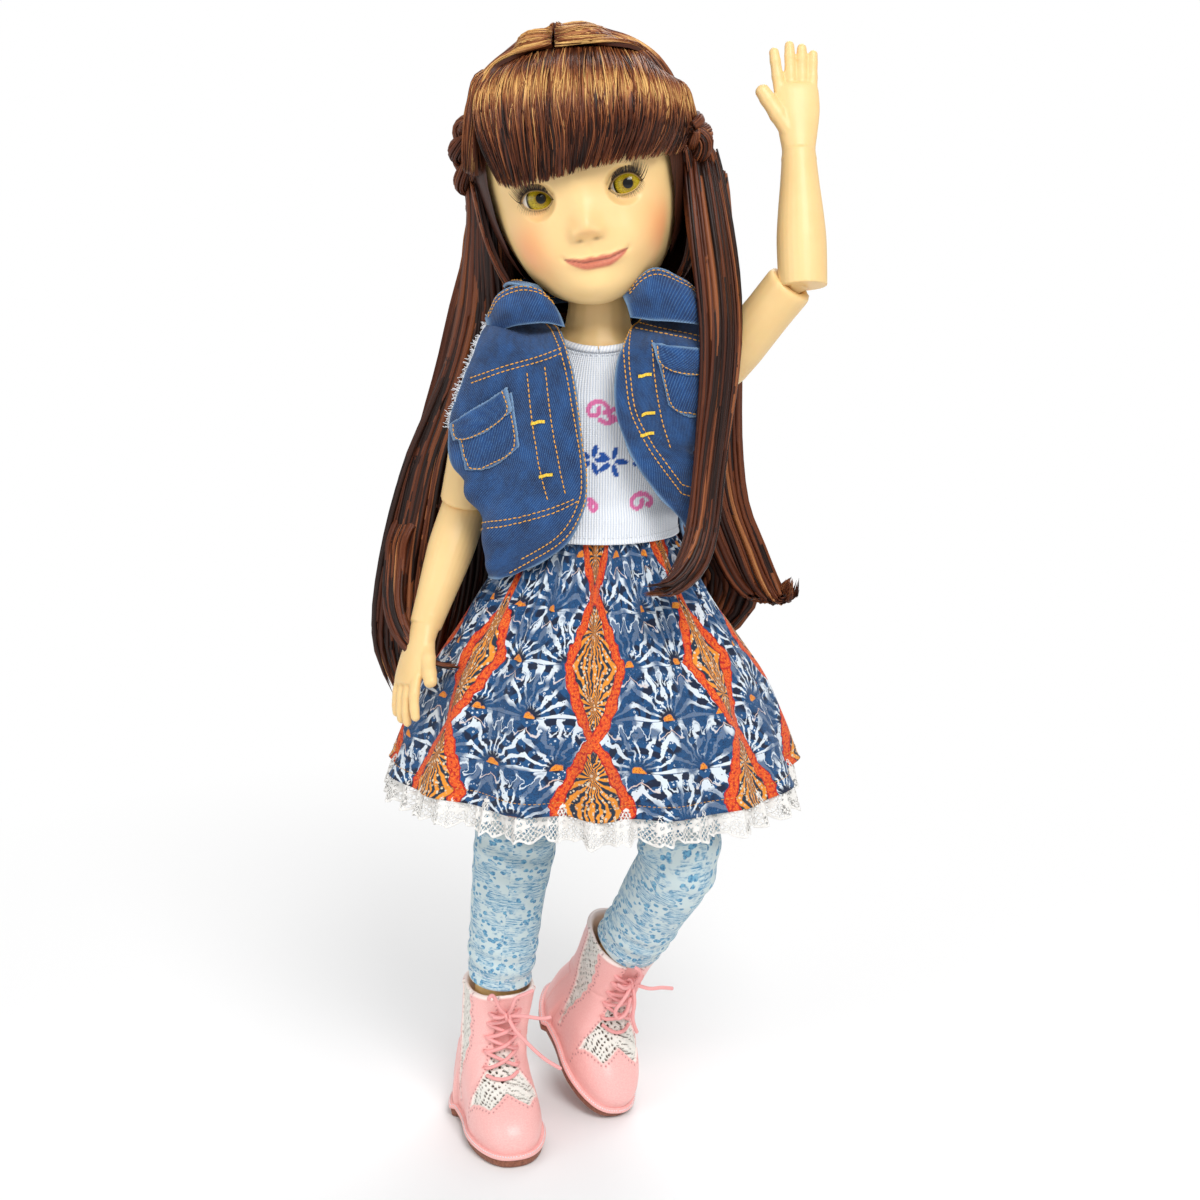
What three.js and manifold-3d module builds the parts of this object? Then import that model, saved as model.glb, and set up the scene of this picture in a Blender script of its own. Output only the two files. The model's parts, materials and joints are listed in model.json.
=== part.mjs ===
// A jointed vinyl fashion doll, 14.5 inches tall, dressed and posed with one arm waving.
// Millimetres, +Z up, the doll faces -Y and her left side is +X.
// Each limb is modelled hanging straight down from its own joint and is then posed by nested groups.
import * as THREE from 'three';
import { mergeVertices } from 'three/addons/utils/BufferGeometryUtils.js';
import Module from 'manifold-3d';

const wasm = await Module();
wasm.setup();

// Running gap between two rigid pieces, and between a garment and what it covers.
const gap = 0.3;
const clothGap = 0.5;
const clothThickness = 0.9;
const pinRadius = 1.5;
const pinSides = 8;

// The smallest detail that is kept when solids are joined and cut.
const detail = 0.16;

// Torso, measured from the hip joints upwards.
const hipSpacing = 38.4;
const pelvisHalfWidth = 30.6;
const pelvisHalfDepth = 19.5;
const waistHeight = 38;
const waistHalfWidth = 23.5;
const chestHeight = 78;
const chestHalfWidth = 25.5;
const shoulderHeight = 84.4;
const shoulderSpacing = 72;
const neckBaseHeight = 103;
const neckRadius = 9.4;
const neckLength = 10;
const torsoWall = 2.6;
const vestNeckTop = neckBaseHeight + 1.6;
const vestArmTop = neckBaseHeight + 3.4;
const vestCollarBase = neckBaseHeight + 4.4;

// Arms.
const upperArmLength = 47.5;
const upperArmRadius = 7.7;
const forearmLength = 37;
const wristRadius = 5.2;
const elbowRadius = 7.5;
const elbowRim = 5.6;
const shoulderBallRadius = 7.6;
const palmLength = 19;
const palmWidth = 14.5;
const fingerLength = 14;
const handTwist = 45;

// Legs.
const thighLength = 76;
const shinLength = 78;
const hipBallRadius = 11;
const thighTopRadius = 15;
const kneeRadius = 10.4;
const calfRadius = 10;
const ankleRadius = 7.6;
const ankleHeight = 24;
const ankleCant = 6.4;
const bodyLean = 0.7;
const leanForward = 3;
const toeIn = 15;

// Boots.
const soleThickness = 4.6;
const soleLength = 57;
const soleHalfWidth = 14.2;
const heelBehindAnkle = 18;
const bootTopHeight = 50;
const bootWall = 1.1;
const laceRadius = 0.9;

// Head, measured from the ball that it turns on.
const neckBallRadius = 8;
const headHalfWidth = 31;
const headHeight = 68.4;
const chinDrop = 11;
const eyeHeight = 22.7;
const eyeSpacing = 27;
const eyeRadius = 6.8;
const headWall = 3;
const hairThickness = 4;
const neckBallAboveNeck = 8.6;

// Clothes.
const topHem = 36;
const skirtWaist = 44;
const skirtHem = -46;
const skirtHalfWidth = 68;
const skirtHalfDepth = 50;
const skirtPleats = 15;
const laceDrop = 8;

// How far each joint goes, in degrees. The raised forearm stops at the head, the lowered one at the thigh, and
// the straight leg where its boot would meet the other boot.
const limits = {
  headTurn: [-80, 80], headNod: [-6, 6], headTilt: [-13, 13], legSpread: [5, 16], anklePitch: [-8, 8],
  left: {
    armSwing: [-45, 180], armSpread: [20, 85], elbowSwivel: [-90, 90],
    legSwing: [-8, 16], legTurn: [-8, 40], kneeBend: [0, 62],
  },
  right: {
    armSwing: [-45, 160], armSpread: [2, 85], elbowSwivel: [-20, 90],
    legSwing: [-4, 13], legTurn: [-8, 10], kneeBend: [0, 15],
  },
};

// The pose of the photograph, in degrees.
const pose = {
  lean: bodyLean, headTurn: -3, headNod: -leanForward, headTilt: 11.5,
  left: {
    armSwing: 160 + leanForward, armSpread: 33.9, elbowSwivel: -39.6, elbowBend: 49.4,
    legSwing: 8.5 + leanForward, legSpread: 8.4, legTurn: 38, kneeBend: 46.9, anklePitch: -6, curl: 4,
  },
  right: {
    armSwing: leanForward - 7.2, armSpread: 10.1, elbowSwivel: 14.8, elbowBend: 32.2,
    legSwing: leanForward - 1.5, legSpread: ankleCant - bodyLean, legTurn: 0, kneeBend: 0, anklePitch: -1.5, curl: 16,
  },
};

const paint = (color, roughness) => new THREE.MeshStandardMaterial({ color, roughness, metalness: 0 });
const materials = {
  skin: paint(0xdcbc7c, 0.5),
  insert: paint(0xd6b678, 0.5),
  steel: new THREE.MeshStandardMaterial({ color: 0xb8b8b8, roughness: 0.3, metalness: 1 }),
  eye: paint(0x8c7f1e, 0.08),
  hair: paint(0x4a2315, 0.4),
  knit: paint(0xe9edf5, 0.85),
  denim: paint(0x1f4a7c, 0.9),
  print: paint(0x24557f, 0.85),
  lace: paint(0xf2f1ea, 0.9),
  leggings: paint(0x7fb4cf, 0.85),
  leather: paint(0xe79a9c, 0.45),
  sole: paint(0x6b3d2a, 0.6),
  cord: paint(0xdf9698, 0.7),
};

// Small tools for points, rings and solids.
const V = (x, y, z) => new THREE.Vector3(x, y, z);
const X = V(1, 0, 0);
const Y = V(0, 1, 0);
const Z = V(0, 0, 1);
const rad = THREE.MathUtils.degToRad;
const lerp = THREE.MathUtils.lerp;
const smooth = (a, b, x) => THREE.MathUtils.smoothstep(x, a, b);
const bump = (x, width) => Math.exp(-((x / width) ** 2));

// A closed triangle mesh with its faces pointing out.
function closedMesh(points, triangles) {
  let volume = 0;
  for (const [a, b, c] of triangles) volume += points[a].dot(V(0, 0, 0).crossVectors(points[b], points[c]));
  const turned = volume < 0 ? triangles.map(([a, b, c]) => [a, c, b]) : triangles;
  const geometry = new THREE.BufferGeometry();
  geometry.setAttribute('position', new THREE.Float32BufferAttribute(points.flatMap((p) => p.toArray()), 3));
  geometry.setIndex(turned.flat());
  return geometry;
}

const quad = (a, b, c, d) => [[a, b, c], [a, c, d]];

// Triangles between neighbouring rings of n points, where ring i starts at point i * n.
function skin(count, n, start = 0) {
  const triangles = [];
  for (let i = 0; i + 1 < count; i++) {
    for (let j = 0; j < n; j++) {
      const k = (j + 1) % n;
      const row = start + i * n;
      triangles.push(...quad(row + j, row + k, row + n + k, row + n + j));
    }
  }
  return triangles;
}

// A solid through a stack of rings, closed at both ends.
function loft(rings) {
  const n = rings[0].length;
  const points = rings.flat();
  const triangles = skin(rings.length, n);
  const cap = (ring, first, turn) => {
    const centre = ring.reduce((sum, p) => sum.add(p), V(0, 0, 0)).divideScalar(n);
    points.push(centre);
    for (let j = 0; j < n; j++) {
      const edge = [first + j, first + ((j + 1) % n)];
      triangles.push(turn ? [points.length - 1, edge[1], edge[0]] : [points.length - 1, edge[0], edge[1]]);
    }
  };
  cap(rings[0], 0, true);
  cap(rings.at(-1), (rings.length - 1) * n, false);
  return closedMesh(points, triangles);
}

// An open tube with a wall between an outer and an inner stack of rings.
function sleeve(outer, inner) {
  const n = outer[0].length;
  const start = outer.length * n;
  const points = [...outer.flat(), ...inner.flat()];
  const triangles = [
    ...skin(outer.length, n),
    ...skin(inner.length, n, start).map(([a, b, c]) => [a, c, b]),
  ];
  const lastOut = (outer.length - 1) * n;
  const lastIn = start + (inner.length - 1) * n;
  for (let j = 0; j < n; j++) {
    const k = (j + 1) % n;
    triangles.push(...quad(k, j, start + j, start + k));
    triangles.push(...quad(lastOut + j, lastOut + k, lastIn + k, lastIn + j));
  }
  return closedMesh(points, triangles);
}

// A sheet of cloth or hair with a thickness, from a grid of points on its outer face.
function sheet(rows, thickness) {
  const m = rows.length;
  const n = rows[0].length;
  const at = (i, j) => rows[Math.min(Math.max(i, 0), m - 1)][Math.min(Math.max(j, 0), n - 1)];
  const inner = rows.map((row, i) => row.map((p, j) => {
    const along = at(i, j + 1).clone().sub(at(i, j - 1));
    const down = at(i + 1, j).clone().sub(at(i - 1, j));
    return p.clone().addScaledVector(along.cross(down).normalize(), thickness);
  }));
  const points = [...rows.flat(), ...inner.flat()];
  const far = m * n;
  const triangles = [];
  for (let i = 0; i + 1 < m; i++) {
    for (let j = 0; j + 1 < n; j++) {
      const a = i * n + j;
      triangles.push(...quad(a, a + 1, a + n + 1, a + n));
      triangles.push(...quad(far + a + n, far + a + n + 1, far + a + 1, far + a));
    }
  }
  const rim = (a, b) => triangles.push(...quad(b, a, far + a, far + b));
  for (let j = 0; j + 1 < n; j++) {
    rim(j, j + 1);
    rim((m - 1) * n + j + 1, (m - 1) * n + j);
  }
  for (let i = 0; i + 1 < m; i++) {
    rim((i + 1) * n, i * n);
    rim(i * n + n - 1, (i + 1) * n + n - 1);
  }
  return closedMesh(points, triangles);
}

const ellipse = (z, rx, ry, n, cx = 0, cy = 0) => Array.from({ length: n }, (_, i) => {
  const t = (2 * Math.PI * i) / n;
  return V(cx + rx * Math.cos(t), cy + ry * Math.sin(t), z);
});

// A value at z from a list of [z, value, value, ...] rows, eased between them.
function between(table, z) {
  if (z <= table[0][0]) return table[0].slice(1);
  const next = table.findIndex((row) => row[0] >= z);
  if (next < 0) return table.at(-1).slice(1);
  const [low, high] = [table[next - 1], table[next]];
  const t = (z - low[0]) / (high[0] - low[0]);
  return low.slice(1).map((value, i) => lerp(value, high[i + 1], t));
}

// Solids that can be joined and cut.
function solid(geometry) {
  const bare = geometry.clone();
  for (const name of Object.keys(bare.attributes)) if (name !== 'position') bare.deleteAttribute(name);
  const merged = mergeVertices(bare, 1e-4);
  return new wasm.Manifold(new wasm.Mesh({
    numProp: 3,
    vertProperties: merged.attributes.position.array,
    triVerts: new Uint32Array(merged.index.array),
  }));
}

function geometryOf(made) {
  const mesh = made.simplify(detail).getMesh();
  const geometry = new THREE.BufferGeometry();
  geometry.setAttribute('position', new THREE.BufferAttribute(mesh.vertProperties, 3));
  geometry.setIndex(new THREE.BufferAttribute(mesh.triVerts, 1));
  return geometry;
}

const moved = (geometry, x, y, z) => geometry.translate(x, y, z);
const ball = (radius, across = 12) => solid(new THREE.SphereGeometry(radius, across, across / 2 + 2));
const ballAt = (radius, x, y, z, across = 12) => solid(
  moved(new THREE.SphereGeometry(radius, across, across / 2 + 2), x, y, z),
);
// The room for a ball to turn in: its flat facets stay clear of the ball.
const socketAt = (radius, x, y, z) => ballAt((radius + gap) * 1.05, x, y, z, 12);
const at = (made, x, y, z) => made.translate(x, y, z);
const block = (low, high) => solid(moved(
  new THREE.BoxGeometry(high[0] - low[0], high[1] - low[1], high[2] - low[2]),
  (low[0] + high[0]) / 2,
  (low[1] + high[1]) / 2,
  (low[2] + high[2]) / 2,
));

// A round bar along one axis, from one coordinate to another.
function bar(axis, radius, from, to, sides = 14, endRadius = radius) {
  const geometry = new THREE.CylinderGeometry(endRadius, radius, to - from, sides);
  geometry.translate(0, (from + to) / 2, 0);
  if (axis === 'x') geometry.rotateZ(-Math.PI / 2);
  if (axis === 'z') geometry.rotateX(Math.PI / 2);
  return solid(geometry);
}

// The doll's tree of groups. A joint carries everything beyond it.
const doll = new THREE.Group();
doll.name = 'doll';
doll.rotation.set(rad(leanForward), rad(pose.lean), 0, 'YXZ');

function joint(parent, name, at, axis, angle, limits) {
  const group = new THREE.Group();
  group.name = name;
  group.position.copy(at);
  group.quaternion.setFromAxisAngle(axis, rad(angle));
  group.userData = { axis: axis.clone(), angle, limits };
  parent.add(group);
  return group;
}

function add(group, name, shape, material) {
  const mesh = new THREE.Mesh(shape.isBufferGeometry ? shape : geometryOf(shape), material);
  mesh.name = name;
  group.add(mesh);
  return mesh;
}

// Torso: two vinyl half shells with spherical hip cups, shoulder discs and a neck stump.
const hipX = hipSpacing / 2;
const shoulderX = shoulderSpacing / 2;
const torsoTable = [
  [-9, pelvisHalfWidth - 17, pelvisHalfDepth - 8],
  [-4, pelvisHalfWidth - 4, pelvisHalfDepth - 2],
  [6, pelvisHalfWidth, pelvisHalfDepth],
  [18, pelvisHalfWidth - 1, pelvisHalfDepth - 0.5],
  [waistHeight - 8, waistHalfWidth + 1.5, pelvisHalfDepth - 2.5],
  [waistHeight, waistHalfWidth, pelvisHalfDepth - 3],
  [(waistHeight + chestHeight) / 2, (waistHalfWidth + chestHalfWidth) / 2, pelvisHalfDepth - 2.5],
  [chestHeight, chestHalfWidth, pelvisHalfDepth - 2.5],
  [shoulderHeight, chestHalfWidth, pelvisHalfDepth - 4],
  [shoulderHeight + 7, chestHalfWidth - 4, pelvisHalfDepth - 6],
  [neckBaseHeight - 4, neckRadius + 5, neckRadius + 2.5],
  [neckBaseHeight, neckRadius + 1, neckRadius + 0.5],
  [neckBaseHeight + neckLength, neckRadius, neckRadius],
];
const torsoHeights = torsoTable.map((row) => row[0]);
const neckTop = neckBaseHeight + neckLength;

const torsoRing = (z, offset, sides = 16) => {
  const [rx, ry] = between(torsoTable, z);
  return ellipse(z, rx + offset, ry + offset, sides);
};

// A point on a garment, at an angle from the front towards her left.
function torsoPoint(angle, z, offset) {
  const [rx, ry] = between(torsoTable, z);
  return V((rx + offset) * Math.sin(angle), -(ry + offset) * Math.cos(angle), z);
}

const shoulderFace = chestHalfWidth;
const shoulderFlange = 7;
const shoulderStem = 4.6;
const shoulderBoss = 9.4;

// A round bar along X at shoulder height, between two distances from the middle of the body.
const shoulderBar = (side, radius, from, to) => at(
  side > 0 ? bar('x', radius, from, to) : bar('x', radius, -to, -from),
  0,
  0,
  shoulderHeight,
);

function torsoHalves() {
  const outer = solid(loft(torsoHeights.map((z) => torsoRing(z, 0))));
  const hollowHeights = torsoHeights.filter((z) => z > 0 && z < neckBaseHeight - 2);
  const hollow = solid(loft(hollowHeights.map((z) => torsoRing(z, -torsoWall - 0.3, 12))));
  const neckBore = bar('z', neckPostRadius + gap, neckBaseHeight - 12, neckTop + 1, 16);
  let body = outer.subtract(hollow).subtract(neckBore);
  for (const side of [-1, 1]) {
    body = body.add(shoulderBar(side, shoulderBoss, shoulderFace - 8, shoulderFace));
    body = body.subtract(shoulderBar(side, shoulderBoss + 2, shoulderFace, shoulderFace + 9));
    body = body.subtract(shoulderBar(side, shoulderStem + gap, 8, shoulderFace + 2));
    body = body.subtract(shoulderBar(side, shoulderFlange + gap, 8, shoulderFace - 3));
    const cup = ballAt(hipBallRadius + 2.8, side * hipX, 0, 0).intersect(outer);
    const opening = ballAt(thighTopRadius + 2.9, side * hipX, 0, 0, 16)
      .intersect(block([-60, -60, -30], [60, 60, 3.6]));
    body = body.add(cup).subtract(socketAt(hipBallRadius, side * hipX, 0, 0)).subtract(opening);
  }
  const front = body.intersect(block([-60, -60, -40], [60, -gap / 2, 140]));
  const back = body.intersect(block([-60, gap / 2, -40], [60, 60, 140]));
  return [front, back];
}

// Neck: a peg that turns in the stump, a ball on top of it, and the head around the ball.
const neckPostRadius = 3.2;
const neckBallHeight = neckTop + neckBallAboveNeck;

function neckPost() {
  const peg = bar('z', neckPostRadius, neckBaseHeight - 11, neckBallHeight - 6);
  const collar = bar('z', neckRadius - 1, neckTop + gap, neckTop + 1.5, 20);
  const blade = block([-1.6, -3, neckBallHeight - 8], [1.6, 3, neckBallHeight])
    .add(at(bar('x', 3, -1.6, 1.6), 0, 0, neckBallHeight));
  return peg.add(collar).add(blade).subtract(at(bar('x', pinRadius + gap, -4, 4, pinSides), 0, 0, neckBallHeight));
}

// The ball has a slot for the peg's eye and carries its own cross pin.
function neckBall() {
  const slot = block([-1.6 - gap, -9, -9], [1.6 + gap, 9, 3.6]);
  const mouth = bar('z', neckPostRadius + 1.4, -9, -4.6, 12);
  const pin = bar('x', pinRadius, -6, 6, pinSides);
  return ball(neckBallRadius).subtract(slot).subtract(mouth).add(pin);
}

// Head: a hollow vinyl shell, open at the neck and at the eyes.
const faceTable = [
  // height, half width, depth of the face, depth of the back
  [-chinDrop, 5, 22, 6],
  [-chinDrop + 1.5, 11, 26.5, 9],
  [-6, 17, 29, 12],
  [-1, 21.3, 30.3, 16],
  [4, 24.2, 31, 21],
  [10, 26.8, 31.2, 26],
  [16, 28.6, 31, 30],
  [eyeHeight, 29.8, 30.6, 33],
  [30, headHalfWidth - 0.3, 31.6, 35],
  [38, headHalfWidth, 31.8, 35.5],
  [46, headHalfWidth - 1.5, 29.8, 34],
  [54, headHalfWidth - 6, 24.5, 29],
  [60, headHalfWidth - 13, 17.5, 21],
  [64.5, headHalfWidth - 21, 10, 12],
  [headHeight, headHalfWidth - 28, 3, 4],
];
const headCentreY = 3;
const eyeX = eyeSpacing / 2;

function headRing(z, grow, sides) {
  const [width, front, back] = between(faceTable, z);
  return Array.from({ length: sides }, (_, i) => {
    const t = (2 * Math.PI * i) / sides;
    const c = Math.cos(t);
    const s = Math.sin(t);
    const depth = c > 0 ? front : back;
    const flatter = c > 0 ? 0.85 : 1;
    return V((width + grow) * Math.sign(s) * Math.abs(s) ** flatter, headCentreY - (depth + grow) * c, z);
  });
}

// Nose, cheeks, eye hollows, lips and chin, as soft swellings of the face.
function faceRelief(p) {
  const front = 1 - smooth(-22, -8, p.y);
  const x = Math.abs(p.x);
  const nose = 5 * bump(p.x, 3.8) * bump(p.z - 12.4, 3.4) + 2.2 * bump(p.x, 3) * bump(p.z - 18, 5);
  const wings = 1.6 * bump(x - 3.6, 2) * bump(p.z - 11.2, 2.2);
  const eyes = -1 * bump(x - eyeX, 7) * bump(p.z - eyeHeight, 4.5);
  const cheeks = 1.4 * bump(x - 15, 8) * bump(p.z - 8, 8);
  const lips = 1.5 * bump(p.x, 8) * (bump(p.z - 5, 1.6) + 1.15 * bump(p.z - 1.8, 1.8));
  const chin = 1.6 * bump(p.x, 6) * bump(p.z + 5, 4);
  return V(p.x, p.y - front * (nose + wings + eyes + cheeks + lips + chin), p.z);
}

const headLevels = [
  -chinDrop, -9.5, -6.5, -3.5, 0, 1.8, 3.5, 5, 7.5, 10, 12, 14, 17, 22.7, 28, 38, 46, 54, 60, 64.5, headHeight,
];
const headSides = 26;

// Rings of the head from a height upwards, grown outwards and, near the crown, upwards.
const skullRings = (grow, from = -chinDrop) => headLevels.filter((z) => z >= from)
  .map((z) => headRing(z, grow, headSides).map((p) => p.setZ(z + grow * smooth(46, headHeight, z))));

function headShell() {
  const outer = solid(loft(skullRings(0).map((ring) => ring.map(faceRelief))));
  const inside = [0, 10, 22, 34, 44, 53, 61];
  const hollow = solid(loft(inside.map((z) => headRing(z, -headWall - 1.2, 16))));
  const seat = ball(neckBallRadius + 3).intersect(block([-20, -20, -7], [20, 20, 20]));
  const neckHole = bar('z', neckRadius + 3.5, -30, -4.3, 20);
  let head = outer.subtract(hollow).add(seat.intersect(outer));
  head = head.subtract(neckHole).subtract(socketAt(neckBallRadius, 0, 0, 0)).subtract(bar('z', 7, -12, -2, 16));
  for (const side of [-1, 1]) {
    const opening = new THREE.SphereGeometry(1, 12, 6).scale(4.9, 9, 3.4).translate(side * eyeX, eyeY - eyeRadius, eyeHeight);
    head = head.subtract(socketAt(eyeRadius, side * eyeX, eyeY, eyeHeight)).subtract(solid(opening)).add(ear(side));
  }
  return head;
}

const eyeY = -16.2;
const ear = (side) => solid(new THREE.SphereGeometry(1, 10, 6).scale(3, 3.6, 6.6)
  .rotateZ(side * 0.35).translate(side * 30, 3.5, 16.5));

// An acrylic eye: a ball with a domed iris.
function eye(side) {
  const globe = ballAt(eyeRadius, side * eyeX, eyeY, eyeHeight);
  return globe.add(ballAt(4.2, side * eyeX, eyeY - eyeRadius + 3.75, eyeHeight, 12));
}

// Rooted hair: a cap over the skull, the fringe, a braid round the back, and the long falls.
function hairCap() {
  const windowRows = [[-30, 27], [10, 29], [27, 26], [44, 16], [50, 4]];
  const faceWindow = solid(loft(windowRows.map(([z, half]) => ellipse(z, half, 30, 20, 0, -34))));
  const earWindows = block([-50, -14, 0], [50, 11, 24]);
  const inside = skullRings(gap);
  return solid(loft(skullRings(hairThickness, 11))).subtract(solid(loft(inside))).subtract(faceWindow).subtract(earWindows);
}

// A curtain of hair from rows of points, each row drawn between its two edges and bowed outwards.
function curtain(rows, columns, bow, thickness) {
  return sheet(rows.map(([left, right]) => Array.from({ length: columns }, (_, j) => {
    const t = j / (columns - 1);
    return left.clone().lerp(right, t).add(V(0, -bow * Math.sin(Math.PI * t), 0));
  })), thickness);
}

function fringe() {
  const columns = 15;
  return sheet([0, 0.25, 0.5, 0.75, 1].map((t) => Array.from({ length: columns }, (_, j) => {
    const u = (j / (columns - 1)) * 2 - 1;
    const z = lerp(61, 28.5 + 1.5 * u * u, t);
    const angle = u * lerp(1.05, 0.97, t);
    const [width, front] = between(faceTable, z);
    const lift = hairThickness + 2.6 + 5 * (1 - t) ** 2 + 1.4 * Math.sin(Math.PI * t);
    return V((width + lift) * Math.sin(angle), headCentreY - (front + lift) * Math.cos(angle), z);
  })), 1.6);
}

// The braid is a rope of round plaits along an arc behind the ears.
function crownBraid() {
  const plaits = 12;
  let rope = null;
  for (let i = 0; i < plaits; i++) {
    const angle = lerp(-1.35, 1.35, i / (plaits - 1));
    const height = 30 - 5 * Math.cos(angle);
    const [width, , back] = between(faceTable, height);
    const reach = hairThickness + 5;
    const slant = i % 2 ? 1 : -1;
    const plait = solid(new THREE.SphereGeometry(1, 7, 4).scale(6.4, 4.5, 5.2)
      .rotateZ(slant * 0.3 - angle)
      .translate((width + reach) * Math.sin(angle), headCentreY + (back + reach) * Math.cos(angle), height + slant));
    rope = rope ? rope.add(plait) : plait;
  }
  return rope;
}

const skirtTable = [
  // height, half width, half depth
  [skirtHem, skirtHalfWidth, skirtHalfDepth],
  [-17, skirtHalfWidth * 0.83, skirtHalfDepth * 0.84],
  [2, skirtHalfWidth * 0.665, skirtHalfDepth * 0.7],
  [23, skirtHalfWidth * 0.47, skirtHalfDepth * 0.53],
  [31, waistHalfWidth + 4.5, pelvisHalfDepth + 1.4],
  [topHem, waistHalfWidth + 1.7, pelvisHalfDepth - 1.3],
  [skirtWaist, waistHalfWidth + clothGap * 1.6 + clothThickness, pelvisHalfDepth - 2.6 + clothGap + clothThickness],
];

// How far back the skirt reaches at a place across and a height.
function skirtBack(x, z) {
  if (z > 31) return 0;
  const [rx, ry] = between(skirtTable, z);
  return ry * Math.sqrt(Math.max(0, 1 - (x / rx) ** 2));
}

// The long hair hangs behind the shoulders and sweeps out to both sides.
function backHair() {
  const rows = [
    // height, right edge, left edge, depth at the middle, depth at the edges
    [127.6, -36, 35, 28, 19.4], [104, -44, 37, 30, 22], [84, -50, 37, 30, 24], [64, -57, 38, 30, 25], [44, -63, 41, 31, 26],
    [26, -67, 47, 33, 27], [10, -69, 58, 36, 27], [-6, -68, 48, 39, 27], [-20, -60, 20, 42, 30],
  ];
  const columns = 13;
  return sheet(rows.map(([z, right, left, middle, edge]) => Array.from({ length: columns }, (_, j) => {
    const t = j / (columns - 1);
    const x = lerp(right, left, t);
    const u = t * 2 - 1;
    const y = lerp(middle, edge, u * u);
    const slope = x * Math.tan(rad(pose.headTilt)) * smooth(80, 124, z);
    return V(x, Math.max(y, skirtBack(x, z) + 4.5), z + slope);
  })), 3.6);
}

// The fall over her right shoulder hangs outside and behind the arm.
function rightFall() {
  return curtain([
    [V(-39.4, 0.4, 131), V(-31.6, -3.6, 131)], [V(-45.2, 5.4, 116), V(-37.2, 0.4, 116)], [V(-51, 10, 100), V(-42, 8, 100)],
    [V(-57, 13, 80), V(-46, 13, 80)], [V(-63, 16, 61), V(-48, 17, 61)], [V(-68, 18, 42), V(-51, 20, 42)],
    [V(-72, 18, 20), V(-54, 20, 20)], [V(-74, 17, 0), V(-56, 18, 0)], [V(-69, 17, -20), V(-60, 17, -20)],
  ], 5, 1, 3.6);
}

// A lock in front of her left shoulder that curls under at the end.
function leftLock() {
  const path = new THREE.CatmullRomCurve3([
    V(34.6, -5, 149), V(36.2, -11, 136), V(38, -15.8, 124), V(38.6, -18.7, 111), V(38.4, -20.3, 96), V(37.6, -22.9, 81),
    V(36.6, -27.3, 66), V(34.8, -30.7, 50), V(31, -34.8, 38), V(24.3, -41, 31), V(15.6, -44, 26.5),
  ]);
  const rows = 14;
  const sides = 8;
  return loft(Array.from({ length: rows }, (_, i) => {
    const t = i / (rows - 1);
    const p = path.getPoint(t);
    const along = path.getTangent(t);
    const side = V(0, 1, 0).cross(along).normalize();
    const out = along.clone().cross(side).normalize();
    const [wide, thick] = between([[0, 5, 2.4], [0.3, 5.4, 2.4], [0.7, 4.8, 2.2], [1, 1.2, 0.8]], t);
    return Array.from({ length: sides }, (_, k) => {
      const a = (2 * Math.PI * k) / sides;
      return p.clone().addScaledVector(side, wide * Math.cos(a)).addScaledVector(out, thick * Math.sin(a));
    });
  }));
}

// Hinged limbs: the upper limb ends in a flat rim with a tongue, and the lower one is slotted for it.
function tongue(half, radius, rise) {
  return bar('x', radius, -half, half)
    .add(block([-half, -radius * 0.72, 0], [half, radius * 0.72, rise]))
    .subtract(bar('x', pinRadius + gap, -30, 30, pinSides));
}

// The slot for a tongue, open upwards, and behind or in front as far as the hinge swings.
function slot(half, radius, front, back) {
  const reach = radius + gap;
  return block([-half - gap, -reach, -reach], [half + gap, reach, 30])
    .add(block([-half - gap, -front, -2.2], [half + gap, back, 30]))
    .add(bar('x', pinRadius + gap, -30, 30, pinSides));
}

// Shoulder: a ball on a stem that turns in the torso, with a slot for the arm's tongue.
function shoulderBall(side) {
  const face = shoulderX - shoulderFace;
  const along = (shape, from, to) => (side > 0 ? bar('x', shape, -to, -from) : bar('x', shape, from, to));
  const half = (low, high) => (side > 0 ? [[-high, low], [9, 9]] : [[-9, low], [high, 9]]);
  const [low, high] = side > 0 ? [-5.2, 9] : [-9, 5.2];
  const trimmed = half(-9, face - gap);
  return ball(shoulderBallRadius).intersect(block([trimmed[0][0], -9, -9], [trimmed[1][0], 9, 9]))
    .add(along(shoulderStem, 4, face + 5.5))
    .add(along(shoulderFlange, face + 3 + gap, face + 5.5))
    .subtract(block([low, -2.5, -9], [high, 2.5, 5.6]))
    .subtract(bar('y', pinRadius + gap, -10, 10, pinSides));
}

const elbowStem = 4.2;
const elbowReach = 70;
const elbowTongueHalf = 4.2;
const elbowTongueRadius = 5.2;

function upperArm() {
  const rim = -(upperArmLength - elbowRim);
  const shape = [
    [-3.4, upperArmRadius - 1], [-8, upperArmRadius], [-16, upperArmRadius + 0.3], [-30, upperArmRadius],
    [rim + 1, upperArmRadius + 0.1], [rim, upperArmRadius - 0.3],
  ];
  const flesh = solid(loft(shape.map(([z, radius]) => ellipse(z, radius, radius, 16))));
  const tab = bar('y', 5, -2.2, 2.2).add(block([-3.6, -2.2, -12], [3.6, 2.2, 0]));
  return flesh.subtract(socketAt(shoulderBallRadius, 0, 0, 0)).add(tab)
    .subtract(bar('y', pinRadius + gap, -12, 12, pinSides))
    .subtract(bar('z', elbowStem + gap, rim - 1, rim + 12));
}

function elbowInsert() {
  return tongue(elbowTongueHalf, elbowTongueRadius, elbowRim - gap).add(bar('z', elbowStem, 2, elbowRim + 11))
    .subtract(bar('x', pinRadius + gap, -30, 30, pinSides));
}

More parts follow.
